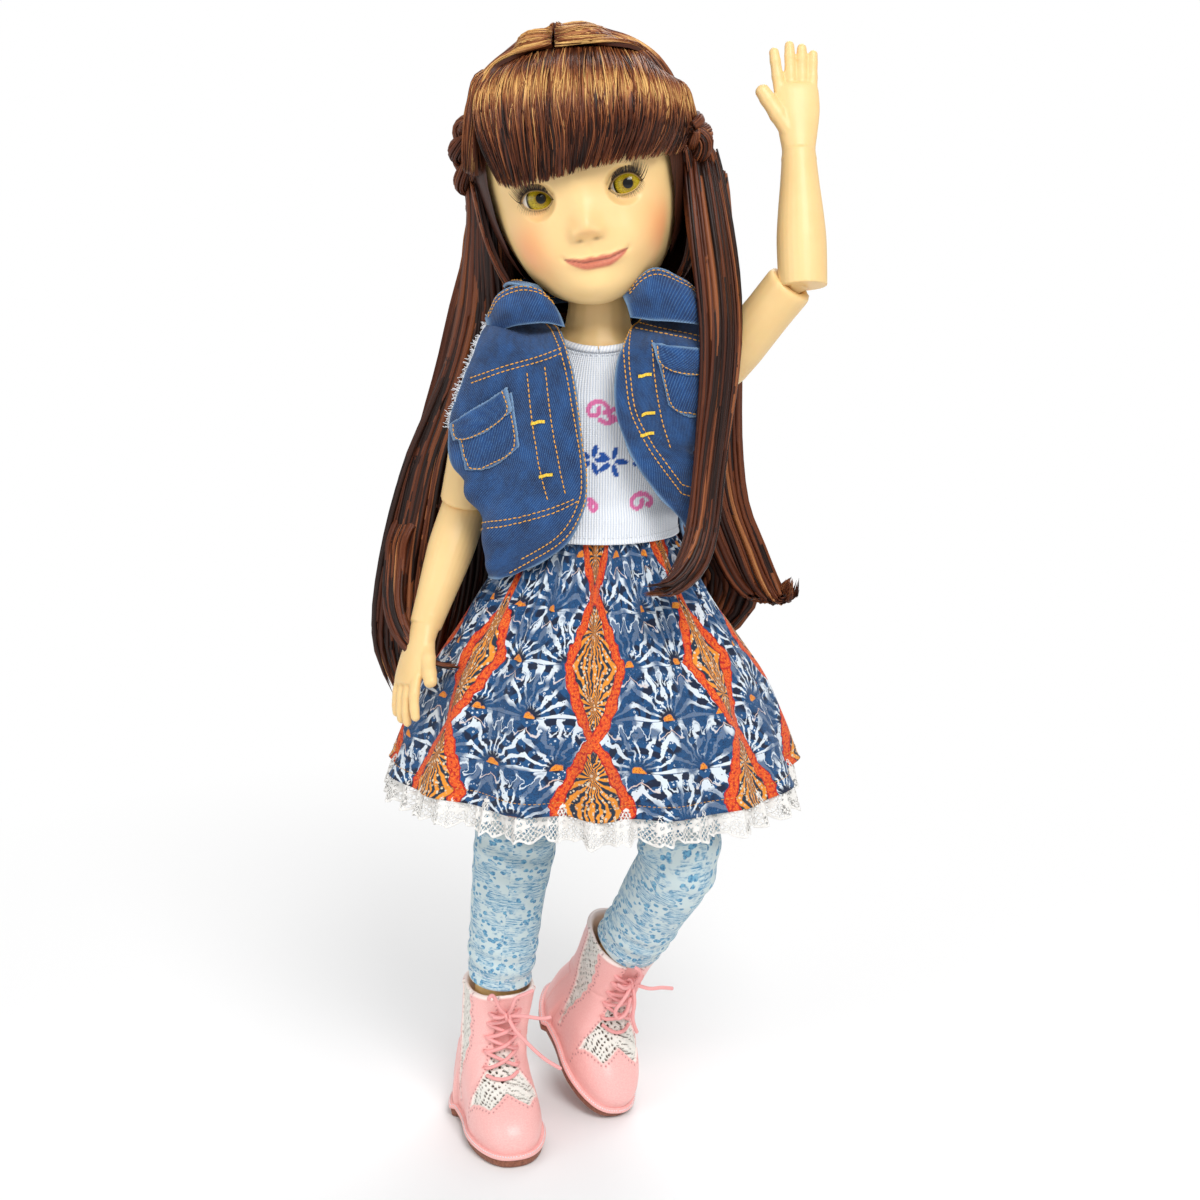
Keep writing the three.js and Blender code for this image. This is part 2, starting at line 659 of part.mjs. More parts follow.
// A finger: a tapering, slightly curled bar with a round tip, hanging from the origin.
function finger(length, radius, curl) {
  const sides = 6;
  let p = V(0, 0, 0);
  let last = 0;
  return loft([0, 0.5, 0.92, 1].map((t) => {
    const bend = rad(curl) * t;
    p = p.clone().add(V(0, Math.sin(bend), -Math.cos(bend)).multiplyScalar((t - last) * length));
    last = t;
    const r = radius * (t === 1 ? 0.45 : 1 - 0.24 * t);
    return Array.from({ length: sides }, (_, k) => {
      const a = (2 * Math.PI * k) / sides;
      return p.clone().add(V(r * Math.cos(a), r * 0.9 * Math.sin(a), 0));
    });
  }));
}

// A hand that hangs from the wrist. Its palm faces +Y, and its thumb is on the side given.
function hand(thumbSide, curl) {
  const half = palmWidth / 2;
  const rows = [
    [3, wristRadius + 0.4, wristRadius], [0, wristRadius, wristRadius - 0.7], [-5, wristRadius + 0.8, wristRadius - 1.2],
    [-palmLength * 0.62, half - 0.3, 3.6], [-palmLength + 1, half - 0.4, 3], [-palmLength - 1.5, half - 1, 2.3],
  ];
  let made = solid(loft(rows.map(([z, rx, ry]) => ellipse(z, rx, ry, 14))));
  const fingers = [[0.7, 0.92, 8, 2], [0.25, 1.06, 1, 1.95], [-0.21, 1, -1, 1.95], [-0.64, 0.86, -3, 1.8]];
  for (const [across, share, splay, radius] of fingers) {
    const shape = finger(fingerLength * share + 2, radius, curl * 2);
    shape.rotateY(rad(-thumbSide * splay)).translate(thumbSide * across * half, 0, 2 - palmLength);
    made = made.add(solid(shape));
  }
  const thumb = finger(fingerLength + 3.5, 2.7, curl * 0.6);
  thumb.rotateY(rad(-thumbSide * 33)).translate(thumbSide * half * 0.35, 0.8, -5);
  return made.add(solid(thumb));
}

function forearm(side, curl) {
  const top = elbowRim - gap;
  const rows = [
    [top, elbowRadius], [-8, elbowRadius + 0.2], [-17, elbowRadius - 0.4], [-27, wristRadius + 0.9], [-forearmLength, wristRadius],
  ];
  const flesh = solid(loft(rows.map(([z, radius]) => ellipse(z, radius, radius, 16))));
  // The front of the elbow is rounded off so that it clears the upper arm's rim as it bends.
  const corner = block([-20, -20, 0], [20, 0, 20]).subtract(bar('x', top, -20, 20))
    .add(block([-20, -20, top], [20, 20, 30]).rotate([elbowReach, 0, 0]));
  // At no twist the palm faces the body and the thumb points forwards.
  const palm = geometryOf(hand(-side, curl));
  palm.rotateZ(side * rad(90 - handTwist)).translate(0, 0, -forearmLength);
  return flesh.subtract(corner).subtract(slot(elbowTongueHalf, elbowTongueRadius, 30, elbowTongueRadius)).add(solid(palm));
}

// Hip: a ball in the torso's cup, an eye bolt that spreads in its slot, and the thigh that turns on the bolt.
const hipBolt = 3.4;
const hipEye = 5;
const hipPinRadius = 1.8;

function hipBall() {
  return ball(hipBallRadius).subtract(block([-14, -3.1, -14], [14, 3.1, hipEye + 0.6]))
    .add(bar('y', hipPinRadius, -9.5, 9.5, pinSides));
}

function hipPeg() {
  return bar('y', hipEye, -2.7, 2.7).add(bar('z', 2.6, -14, -3))
    .add(bar('z', hipBolt, -24, -13)).add(bar('z', hipBolt + 1.6, -26, -23.5))
    .subtract(bar('y', hipPinRadius + gap, -6, 6, pinSides));
}

const kneeTongueHalf = 3.6;
const kneeTongueRadius = 8;

function thigh() {
  const rim = -(thighLength - kneeRadius - gap * 2);
  const rows = [
    [-6.5, thighTopRadius - 0.6], [-14, thighTopRadius], [-34, thighTopRadius - 1.2], [-52, kneeRadius + 1.5], [rim, kneeRadius + 0.2],
  ];
  const flesh = solid(loft(rows.map(([z, radius]) => ellipse(z, radius, radius, 16))));
  const pocket = bar('z', hipBolt + gap, -27, 5).add(bar('z', hipBolt + 1.6 + gap, -26 - gap, -23.5 + gap));
  return flesh.subtract(socketAt(hipBallRadius, 0, 0, 0)).subtract(pocket)
    .add(at(tongue(kneeTongueHalf, kneeTongueRadius, kneeRadius + 2), 0, 0, -thighLength));
}

const ankleTongueHalf = 2.6;
const ankleTongueRadius = 5;

function shin() {
  const rim = -(shinLength - ankleRadius - gap);
  const rows = [
    [0, kneeRadius], [-10, kneeRadius], [-24, calfRadius + 0.4], [-42, calfRadius - 0.9], [-58, ankleRadius + 0.6], [rim, ankleRadius],
  ];
  const flesh = solid(loft(rows.map(([z, radius]) => ellipse(z, radius, radius, 16)))).add(ball(kneeRadius, 16));
  return flesh.subtract(slot(kneeTongueHalf, kneeTongueRadius, kneeTongueRadius, 30))
    .add(at(tongue(ankleTongueHalf, ankleTongueRadius, ankleRadius + 2), 0, 0, -shinLength));
}

// The foot is moulded canted and turned in against the shin. Foot space has the sole level and the toes to -Y.
const footMould = (side) => new THREE.Quaternion().setFromAxisAngle(Y, rad(side * ankleCant))
  .multiply(new THREE.Quaternion().setFromAxisAngle(Z, rad(-side * toeIn)));
const toeReach = soleLength - heelBehindAnkle;
const footBottom = -ankleHeight + soleThickness;
const footSides = 18;

// An outline of the sole, grown by a margin, with a round toe and a narrower heel.
function footprint(z, grow, front, back, half, nip = 1, sides = footSides) {
  return Array.from({ length: sides }, (_, i) => {
    const t = (2 * Math.PI * i) / sides;
    const c = Math.cos(t);
    const s = Math.sin(t);
    const reach = c > 0 ? front + grow : back + grow;
    const y = -reach * Math.sign(c) * Math.abs(c) ** 0.85;
    const waist = half - nip * (c > 0 ? 2.2 * bump(c - 0.15, 0.25) : 2.4 * Math.min(1, -c * 1.4));
    return V((waist + grow) * Math.sign(s) * Math.abs(s) ** 0.8, y, z);
  });
}

function foot(side) {
  const inset = -(bootWall + 2.2);
  const rows = [
    [footBottom + 0.4, toeReach, heelBehindAnkle, soleHalfWidth], [footBottom + 7, toeReach - 1, heelBehindAnkle, soleHalfWidth],
    [footBottom + 11, toeReach - 9, heelBehindAnkle - 1, soleHalfWidth - 1.5],
    [footBottom + 15, toeReach - 19, heelBehindAnkle - 3, soleHalfWidth - 2.8],
    [-0.5, ankleRadius + 2.6, ankleRadius + 2.6, ankleRadius + 2.6],
  ];
  const flesh = loft(rows.map(([z, front, back, half]) => footprint(z, inset, front, back, half, 0.5, 14)));
  flesh.applyQuaternion(footMould(side));
  return solid(flesh).add(ball(ankleRadius))
    .subtract(slot(ankleTongueHalf, ankleTongueRadius, 30, 30));
}

function bootSole(side) {
  const rows = [[-ankleHeight, -0.6], [-ankleHeight + 0.8, 0.6], [-ankleHeight + soleThickness - gap, 0.9]];
  return loft(rows.map(([z, grow]) => footprint(z, grow, toeReach, heelBehindAnkle, soleHalfWidth)))
    .applyQuaternion(footMould(side));
}

// The boot's upper rises from the sole's edge to a shaft that leans with the leg.
const bootTable = [
  // height above the floor, front, back, half width
  [soleThickness, toeReach - 0.4, heelBehindAnkle - 0.6, soleHalfWidth - 0.5],
  [soleThickness + 4, toeReach - 0.2, heelBehindAnkle - 0.3, soleHalfWidth - 0.2],
  [soleThickness + 8, toeReach - 2.6, heelBehindAnkle - 0.8, soleHalfWidth - 0.7],
  [soleThickness + 11.5, toeReach - 7.5, heelBehindAnkle - 1.5, soleHalfWidth - 1.6],
  [soleThickness + 14.5, toeReach - 14.5, heelBehindAnkle - 2.4, soleHalfWidth - 2.4],
  [soleThickness + 19, toeReach - 21, heelBehindAnkle - 3.6, soleHalfWidth - 3],
  [soleThickness + 25, toeReach - 25, heelBehindAnkle - 4.4, soleHalfWidth - 3.3],
  [soleThickness + 34, toeReach - 26.4, heelBehindAnkle - 4.6, soleHalfWidth - 3],
  [bootTopHeight, toeReach - 26, heelBehindAnkle - 3.6, soleHalfWidth - 2.2],
];

// Where the leg's axis passes, in foot space, at a height above the floor.
function shaftLean(side, height) {
  const way = V(0, 0, 1).applyQuaternion(footMould(side).invert());
  return way.multiplyScalar(Math.max(0, height - ankleHeight) / way.z).setZ(0);
}

function bootRing(side, height, grow) {
  const [front, back, half] = between(bootTable, height);
  const lean = shaftLean(side, height);
  const nip = 1 - smooth(soleThickness + 4, soleThickness + 16, height);
  return footprint(height - ankleHeight, grow, front, back, half, nip).map((p) => p.add(lean));
}

function bootUpper(side) {
  const rings = (grow) => bootTable.map(([height]) => bootRing(side, height, grow));
  return sleeve(rings(0), rings(-bootWall)).applyQuaternion(footMould(side));
}

// A round cord between two points.
function cordPiece(a, b, radius) {
  const length = a.distanceTo(b);
  const geometry = new THREE.CylinderGeometry(radius, radius, length, 4).translate(0, length / 2, 0);
  const turn = new THREE.Quaternion().setFromUnitVectors(Y, b.clone().sub(a).normalize());
  return solid(geometry.applyQuaternion(turn).translate(a.x, a.y, a.z));
}

// Laces: crossed bars up the front, a knot, two loops and two loose ends, as one cord.
function bootLaces(side) {
  const front = (height, x) => {
    const [reach] = between(bootTable, height);
    return V(x, -reach - laceRadius - gap - 0.1, height - ankleHeight).add(shaftLean(side, height));
  };
  const levels = [28, 34, 40];
  const knot = front(levels.at(-1) + 3, 0).add(V(0, -0.4, 0));
  const pieces = [[front(levels[0] - 1, 0), knot]];
  for (const height of levels) {
    pieces.push([front(height - 1.8, -5), front(height + 1.8, 5)], [front(height + 1.8, -5), front(height - 1.8, 5)]);
  }
  for (const end of [V(-10, -5, 3), V(9, -5, 2), V(-5, -7, -12), V(7, -7, -10)]) pieces.push([knot, knot.clone().add(end)]);
  let cord = ballAt(1.7, knot.x, knot.y, knot.z, 6);
  for (const [a, b] of pieces) cord = cord.add(cordPiece(a, b, laceRadius));
  return geometryOf(cord).applyQuaternion(footMould(side));
}

// Garments on the torso.
function tankTop() {
  const levels = [topHem, skirtWaist + 0.5, skirtWaist + 3, ...torsoHeights.filter((z) => z > 50 && z < neckBaseHeight - 3)];
  const grow = (z) => (z < skirtWaist + 1 ? clothGap * 3 + clothThickness : clothGap);
  const outer = levels.map((z) => torsoRing(z, grow(z) + clothThickness));
  const inner = levels.map((z) => torsoRing(z, grow(z)));
  return solid(sleeve(outer, inner))
    .subtract(shoulderBar(1, shoulderBoss + 1.2, 8, 60)).subtract(shoulderBar(-1, shoulderBoss + 1.2, 8, 60));
}

function skirtRing(z, inset) {
  const sides = skirtPleats * 3;
  const [rx, ry] = between(skirtTable, z);
  const depth = 2.4 * (1 - smooth(skirtHem, 29, z));
  return Array.from({ length: sides }, (_, i) => {
    const t = (2 * Math.PI * i) / sides;
    const fold = depth * Math.cos(skirtPleats * t) * (0.7 + 0.3 * Math.sin(3 * t + 1));
    const grow = fold - inset;
    return V((rx + grow) * Math.cos(t), (ry + grow) * Math.sin(t), z);
  });
}

function skirt() {
  const levels = [skirtHem, -17, 2, 23, 31, topHem, skirtWaist];
  return sleeve(levels.map((z) => skirtRing(z, 0)), levels.map((z) => skirtRing(z, clothThickness)));
}

function skirtLace() {
  const levels = [skirtHem - laceDrop, skirtHem - 2, skirtHem + 7];
  const ring = (z, inset) => skirtRing(Math.max(z, skirtHem), inset - 0.25 * Math.max(0, skirtHem - z))
    .map((p) => p.setZ(z));
  return sleeve(
    levels.map((z) => ring(z, clothThickness + clothGap)),
    levels.map((z) => ring(z, clothThickness * 2 + clothGap)),
  );
}

// The top of the leggings lies on the pelvis, and each leg is a tube above and one below the knee.
function leggingsTop() {
  const levels = [5, 12, 20, 30];
  const rings = (offset) => levels.map((z) => torsoRing(z, offset));
  return sleeve(rings(clothGap + clothThickness), rings(clothGap));
}

function legging(rows) {
  const rings = (offset) => rows.map(([z, rx, ry]) => ellipse(z, rx + offset, ry + offset, 16));
  return sleeve(rings(clothGap + clothThickness), rings(clothGap));
}

const leggingThigh = () => legging([
  [-17, thighTopRadius - 0.1, thighTopRadius], [-34, thighTopRadius - 1.2, thighTopRadius - 0.8],
  [-52, kneeRadius + 1.8, kneeRadius + 1.6], [-(thighLength - 7.2), kneeRadius + 0.6, kneeRadius + 0.6],
]);
const leggingShin = () => legging([
  [-5.2, kneeRadius + 0.2, kneeRadius + 0.2], [-24, calfRadius + 0.2, calfRadius + 0.8],
  [-42, calfRadius - 0.6, calfRadius], [-(shinLength - 29), calfRadius - 1, calfRadius - 0.6],
]);

// Denim waistcoat. Each front hangs open from the shoulder, and bulges out past the arm.
const vestDrop = clothThickness * 1.3;
const vestReach = 52;
const vestDepth = 25.5;
const vestY = (x, z) => -vestDepth * Math.sqrt(Math.max(0.02, 1 - (x / vestReach) ** 2)) - 1.5 * bump(z - 60, 40);

// The waistcoat's side seam runs down under the arm and flares over the top of the skirt.
const seamOut = chestHalfWidth + clothGap + clothThickness + vestDrop + gap;
const seamX = (z) => (z < 36 ? Math.max(seamOut, between(skirtTable, z)[0] + 1.8) : seamOut);

// A number of points spread evenly along a broken line.
function evenly(points, count) {
  const reached = [0];
  for (let i = 1; i < points.length; i += 1) reached.push(reached[i - 1] + points[i].distanceTo(points[i - 1]));
  return Array.from({ length: count }, (_, j) => {
    const wanted = (reached[reached.length - 1] * j) / (count - 1);
    let i = 1;
    while (i < points.length - 1 && reached[i] < wanted) i += 1;
    return points[i - 1].clone().lerp(points[i], (wanted - reached[i - 1]) / (reached[i] - reached[i - 1]));
  });
}

function vestFront(side, rows) {
  const columns = 13;
  const grid = rows.map(([z, inX, inZ, outX, outZ, wrap]) => Array.from({ length: columns }, (_, j) => {
    const t = Math.min(1, j / (columns - 3));
    const x = lerp(inX, outX, t);
    const height = lerp(inZ, outZ, t);
    const over = smooth(neckBaseHeight - 5, vestArmTop + 1.6, z);
    const front = V(side * x, lerp(vestY(x, height), -0.1, over), height);
    const turn = Math.max(0, j - (columns - 3)) / 2;
    const seam = V(side * seamX(height), 3.5, height);
    const edge = front.clone().add(V(0, 0.8, 0));
    return front.clone().lerp(edge.lerp(seam, wrap), turn);
  }));
  return sheet(grid.map((row) => evenly(row, 9)), side * vestDrop);
}

const vestRightRows = [
  // row height, inner edge x and z, outer edge x and z, how far the side wraps under the arm
  [vestArmTop + 1.6, 15, vestNeckTop, 33, vestArmTop, 0],
  [neckBaseHeight, 12.5, neckBaseHeight + 0.4, 34.5, neckBaseHeight + 0.6, 0],
  [97, 9.5, 99, 37, 99, 0], [88, 7.4, 92, 40, 92, 0],
  [78, 5.6, 80, 44, 81, 0], [70, 4.4, 70, 46.5, 71, 0], [60, 3, 60, 45, 61, 0], [50, 3.2, 51, 41.5, 50, 0.5],
  [38, 8, 39, 36.5, 38, 1], [30, 17, 31.5, 34.5, 30, 1], [24, 26, 26.5, 33, 24, 1],
];
const vestLeftRows = [
  [vestArmTop + 1.6, 15, vestNeckTop, 31, vestArmTop, 0],
  [neckBaseHeight, 11, neckBaseHeight + 1, 32, neckBaseHeight + 0.6, 0],
  [97, 7.4, 100, 33, 99, 0], [88, 5.4, 91, 33, 91, 0],
  [79, 5.6, 80, 33.4, 80, 0], [70, 9, 70, 34, 70, 0.15], [62, 13, 62, 34, 62, 0.9], [54, 19, 54, 33.6, 54, 1],
  [47, 25, 47, 33, 47, 1], [42, 28.6, 42.5, 32.6, 42, 1],
];

// The top of the back runs along one shoulder seam, round the neck and along the other seam.
function vestBackTop(u) {
  const along = Math.max(0, Math.abs(u) * 2 - 1);
  if (along > 0) return V(Math.sign(u) * lerp(15, 31, along), 1.3, lerp(vestNeckTop, vestArmTop, along));
  return V(15 * Math.sin(Math.PI * u), 1.3 + 11.6 * Math.cos(Math.PI * u), vestNeckTop);
}

function vestBack() {
  const columns = 13;
  const levels = [26, 36, 46, 56, 66, 76, 86, 93, 99, neckBaseHeight];
  return sheet(levels.map((z) => Array.from({ length: columns }, (_, j) => {
    const u = (j / (columns - 1)) * 2 - 1;
    const angle = Math.PI + u * lerp(1.4, 0.98, smooth(60, 74, z));
    const depth = Math.max(23, z < 31 ? between(skirtTable, z)[1] + 2.4 : 0);
    const low = V(seamX(z) * Math.sin(angle), -depth * Math.cos(angle), z);
    return low.lerp(vestBackTop(-u), smooth(neckBaseHeight - 17, neckBaseHeight, z));
  })), vestDrop);
}

function vestCollar() {
  const columns = 22;
  const grid = [0, 0.35, 0.7, 1].map((t) => Array.from({ length: columns }, (_, j) => {
    const u = (j / (columns - 1)) * 2 - 1;
    const angle = Math.PI + u * 2.35;
    const reach = lerp(20, 29.5, t);
    const depth = lerp(17, 22, t);
    return V(reach * Math.sin(angle), -depth * Math.cos(angle), vestCollarBase + 8 * Math.sin(t * 1.9) - 1.5 * t * t);
  }));
  return sheet(grid, vestDrop);
}

// Assembly: torso first, then each limb as a chain of joints.
const [torsoFront, torsoBack] = torsoHalves();
add(doll, 'torso_front', torsoFront, materials.skin);
add(doll, 'torso_back', torsoBack, materials.skin);
add(doll, 'tank_top', tankTop(), materials.knit);
add(doll, 'skirt', skirt(), materials.print);
add(doll, 'skirt_lace', skirtLace(), materials.lace);
add(doll, 'leggings_top', leggingsTop(), materials.leggings);
add(doll, 'vest_right_front', vestFront(-1, vestRightRows), materials.denim);
add(doll, 'vest_left_front', vestFront(1, vestLeftRows), materials.denim);
add(doll, 'vest_back', vestBack(), materials.denim);
add(doll, 'vest_collar', vestCollar(), materials.denim);
add(doll, 'hair_back', backHair(), materials.hair);
add(doll, 'hair_right_fall', rightFall(), materials.hair);
add(doll, 'hair_left_lock', leftLock(), materials.hair);

const neckTurn = joint(doll, 'head_turn', V(0, 0, 0), Z, pose.headTurn, limits.headTurn);
add(neckTurn, 'neck_post', neckPost(), materials.insert);
const neckNod = joint(neckTurn, 'head_nod', V(0, 0, neckBallHeight), X, pose.headNod, limits.headNod);
add(neckNod, 'neck_ball', neckBall(), materials.insert);
const head = joint(neckNod, 'head_tilt', V(0, 0, 0), V(0, -1, 0), pose.headTilt, limits.headTilt);
add(head, 'head_shell', headShell(), materials.skin);
add(head, 'hair_cap', hairCap(), materials.hair);
add(head, 'fringe', fringe(), materials.hair);
add(head, 'crown_braid', crownBraid(), materials.hair);
add(head, 'left_eye', eye(1), materials.eye);
add(head, 'right_eye', eye(-1), materials.eye);

for (const [name, side] of [['left', 1], ['right', -1]]) {
  const set = pose[name];
  const reachOf = limits[name];
  const out = V(0, -side, 0);

  const swing = joint(doll, `${name}_arm_swing`, V(side * shoulderX, 0, shoulderHeight), V(-1, 0, 0), set.armSwing, reachOf.armSwing);
  add(swing, `${name}_shoulder_ball`, shoulderBall(side), materials.insert);
  add(swing, `${name}_shoulder_pin`, bar('y', pinRadius, -6.8, 6.8, pinSides), materials.steel);
  const spread = joint(swing, `${name}_arm_spread`, V(0, 0, 0), out, set.armSpread, reachOf.armSpread);
  add(spread, `${name}_upper_arm`, upperArm(), materials.skin);
  const swivel = joint(spread, `${name}_elbow_swivel`, V(0, 0, -upperArmLength), V(0, 0, side), set.elbowSwivel, reachOf.elbowSwivel);
  add(swivel, `${name}_elbow_insert`, elbowInsert(), materials.insert);
  add(swivel, `${name}_elbow_pin`, bar('x', pinRadius, -elbowRadius + 0.8, elbowRadius - 0.8, pinSides), materials.steel);
  const elbow = joint(swivel, `${name}_elbow_bend`, V(0, 0, 0), V(-1, 0, 0), set.elbowBend, [0, elbowReach - 2]);
  add(elbow, `${name}_forearm`, forearm(side, set.curl), materials.skin);

  const hipSwing = joint(doll, `${name}_leg_swing`, V(side * hipX, 0, 0), V(-1, 0, 0), set.legSwing, reachOf.legSwing);
  add(hipSwing, `${name}_hip_ball`, hipBall(), materials.insert);
  const hipSpread = joint(hipSwing, `${name}_leg_spread`, V(0, 0, 0), out, set.legSpread, limits.legSpread);
  add(hipSpread, `${name}_hip_peg`, hipPeg(), materials.insert);
  const thighTurn = joint(hipSpread, `${name}_leg_turn`, V(0, 0, 0), V(0, 0, side), set.legTurn, reachOf.legTurn);
  add(thighTurn, `${name}_thigh`, thigh(), materials.skin);
  add(thighTurn, `${name}_legging_thigh`, leggingThigh(), materials.leggings);
  add(thighTurn, `${name}_knee_pin`, at(bar('x', pinRadius, -kneeRadius + 1.4, kneeRadius - 1.4, pinSides), 0, 0, -thighLength), materials.steel);
  const knee = joint(thighTurn, `${name}_knee_bend`, V(0, 0, -thighLength), X, set.kneeBend, reachOf.kneeBend);
  add(knee, `${name}_shin`, shin(), materials.skin);
  add(knee, `${name}_legging_shin`, leggingShin(), materials.leggings);
  add(knee, `${name}_ankle_pin`, at(bar('x', pinRadius, -ankleRadius + 1.6, ankleRadius - 1.6, pinSides), 0, 0, -shinLength), materials.steel);

  const ankle = joint(knee, `${name}_ankle_bend`, V(0, 0, -shinLength), X, set.anklePitch, limits.anklePitch);
  add(ankle, `${name}_foot`, foot(side), materials.skin);
  add(ankle, `${name}_boot_sole`, bootSole(side), materials.sole);
  add(ankle, `${name}_boot_upper`, bootUpper(side), materials.leather);
  add(ankle, `${name}_boot_laces`, bootLaces(side), materials.cord);
}

// The doll stands on the floor with the middle of her footprint and reach at the origin.
doll.updateMatrixWorld(true);
const reach = new THREE.Box3().setFromObject(doll, true);
const middle = reach.getCenter(V(0, 0, 0));
doll.position.set(-middle.x, -middle.y, -reach.min.z);

const figure = new THREE.Group();
figure.add(doll);

export default figure;
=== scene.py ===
"""The looks of a jointed fashion doll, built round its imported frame.

Shapes are written in millimetres from the middle of the hip joints, with the frame's axes.
"""

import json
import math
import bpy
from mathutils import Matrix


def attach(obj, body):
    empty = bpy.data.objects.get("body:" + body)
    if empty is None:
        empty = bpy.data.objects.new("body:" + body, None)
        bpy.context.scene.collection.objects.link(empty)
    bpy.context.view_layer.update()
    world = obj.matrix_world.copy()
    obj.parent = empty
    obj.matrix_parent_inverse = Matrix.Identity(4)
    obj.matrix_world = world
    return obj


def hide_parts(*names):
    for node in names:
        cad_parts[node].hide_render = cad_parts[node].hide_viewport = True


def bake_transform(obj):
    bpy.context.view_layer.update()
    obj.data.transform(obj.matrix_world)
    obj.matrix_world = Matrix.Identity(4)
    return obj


bl_info = {
    "name": "Dressed fashion doll",
    "version": (1, 0, 0),
    "blender": (4, 5, 0),
    "location": "3D View > Sidebar > Doll",
    "description": "Builds the looks of a jointed fashion doll round its frame",
    "category": "Object",
}

import bmesh
import bpy
import numpy as np
from bpy.props import FloatProperty, FloatVectorProperty, IntProperty, PointerProperty
from mathutils import Matrix, Vector, noise

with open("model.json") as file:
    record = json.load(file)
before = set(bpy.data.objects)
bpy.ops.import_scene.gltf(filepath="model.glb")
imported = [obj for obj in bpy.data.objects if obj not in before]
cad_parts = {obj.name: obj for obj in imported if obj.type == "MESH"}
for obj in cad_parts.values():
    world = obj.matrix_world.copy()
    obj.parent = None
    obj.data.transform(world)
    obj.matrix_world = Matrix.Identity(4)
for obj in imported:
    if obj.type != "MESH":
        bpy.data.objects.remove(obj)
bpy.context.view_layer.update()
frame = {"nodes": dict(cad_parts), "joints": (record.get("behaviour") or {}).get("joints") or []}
MM = 0.001
X_AXIS = (1, 0, 0)
Y_AXIS = (0, 1, 0)
Z_AXIS = (0, 0, 1)

# The rest pose of the frame, in degrees.
LEAN = 0.7
LEAN_FORWARD = 3
HEAD_TURN = -3
HEAD_NOD = -3
HEAD_TILT = 11.5
ARM_POSE = {"left": (163, 33.9, -39.6, 49.4), "right": (-4.2, 10.1, 14.8, 32.2)}
LEG_POSE = {"left": (11.5, 8.4, 38, 46.9, -6), "right": (1.5, 5.7, 0, 0, -1.5)}
SIDES = {"left": 1, "right": -1}
FOOT_CANT = 6.4
TOE_IN = 15


def spin(axis, angle):
    """A turn about an axis by degrees, as a 4 by 4 matrix."""
    return Matrix.Rotation(math.radians(angle), 4, Vector(axis))


JOINT_AT = {j["name"]: Vector(j["pos_m"]) for j in frame["joints"]}
HIPS = (JOINT_AT["left_leg_swing"] + JOINT_AT["right_leg_swing"]) / 2
LEANING = spin(Y_AXIS, LEAN) @ spin(X_AXIS, LEAN_FORWARD)


def joint_frame(joint, turn):
    """The rest place of a joint's body, as a matrix on millimetres from the hips."""
    return Matrix.Translation((JOINT_AT[joint] - HIPS) / MM) @ LEANING @ turn


HEAD_POSE = spin(Z_AXIS, HEAD_TURN) @ spin(X_AXIS, HEAD_NOD) @ spin((0, -1, 0), HEAD_TILT)
HEAD = joint_frame("head_tilt", HEAD_POSE)


def arm_frames(name):
    """The rest places of an upper arm and a forearm."""
    side = SIDES[name]
    swing, spread, swivel, bend = ARM_POSE[name]
    upper = spin((-1, 0, 0), swing) @ spin((0, -side, 0), spread)
    lower = upper @ spin((0, 0, side), swivel)
    fore = lower @ spin((-1, 0, 0), bend)
    return joint_frame(f"{name}_arm_swing", upper), joint_frame(f"{name}_elbow_bend", fore)


def leg_frames(name):
    """The rest places of a thigh, a shin and a foot."""
    side = SIDES[name]
    swing, spread, turned, knee, ankle = LEG_POSE[name]
    thigh = spin((-1, 0, 0), swing) @ spin((0, -side, 0), spread) @ spin((0, 0, side), turned)
    shin = thigh @ spin(X_AXIS, knee)
    foot = shin @ spin(X_AXIS, ankle) @ spin(Y_AXIS, side * FOOT_CANT) @ spin(Z_AXIS, -side * TOE_IN)
    return [
        joint_frame(f"{name}_leg_swing", thigh),
        joint_frame(f"{name}_knee_bend", shin),
        joint_frame(f"{name}_ankle_bend", foot),
    ]


def moved(matrix, points):
    """Points, in any array shape that ends in 3, through a 4 by 4 matrix."""
    m = np.array(matrix)
    return np.asarray(points, float) @ m[:3, :3].T + m[:3, 3]


def smoothstep(low, high, x):
    """A soft step from 0 at low to 1 at high."""
    t = np.clip((np.asarray(x, float) - low) / (high - low), 0, 1)
    return t * t * (3 - 2 * t)


def swell(x, width):
    """A smooth bump of height 1 at 0."""
    return np.exp(-((np.asarray(x, float) / width) ** 2))


def unit(v):
    """Vectors of length 1."""
    return v / np.maximum(np.linalg.norm(v, axis=-1, keepdims=True), 1e-9)


def spline(points, count):
    """count points along a smooth curve through the given ones, spread evenly by index."""
    p = np.asarray(points, float)
    n = len(p)
    t = np.linspace(0, n - 1, count)
    i = np.clip(t.astype(int), 0, n - 2)
    f = (t - i).reshape((-1,) + (1,) * (p.ndim - 1))
    a, b, c, d = p[np.clip(i - 1, 0, n - 1)], p[i], p[i + 1], p[np.clip(i + 2, 0, n - 1)]
    return b + 0.5 * f * (c - a + f * (2 * a - 5 * b + 4 * c - d + f * (3 * (b - c) + d - a)))


def all_round(count):
    """Angles that go once round in even steps."""
    return np.linspace(0, 2 * np.pi, count + 1)[:-1]


def shares(rows, columns):
    """Shares across and down a grid, from 0 to 1."""
    return np.meshgrid(np.linspace(0, 1, columns), np.linspace(0, 1, rows))


def refined(grid, rows, columns):
    """A finer grid of points through a coarse one."""
    grid = spline(grid, rows)
    return spline(grid.transpose(1, 0, 2), columns).transpose(1, 0, 2)


def table_at(table, z):
    """Values at z from rows of [z, value, ...], on smooth curves through them."""
    table = np.asarray(table, float)
    fine = spline(table, 12 * len(table))
    order = np.argsort(fine[:, 0])
    return [np.interp(z, fine[order, 0], fine[order, k]) for k in range(1, table.shape[1])]


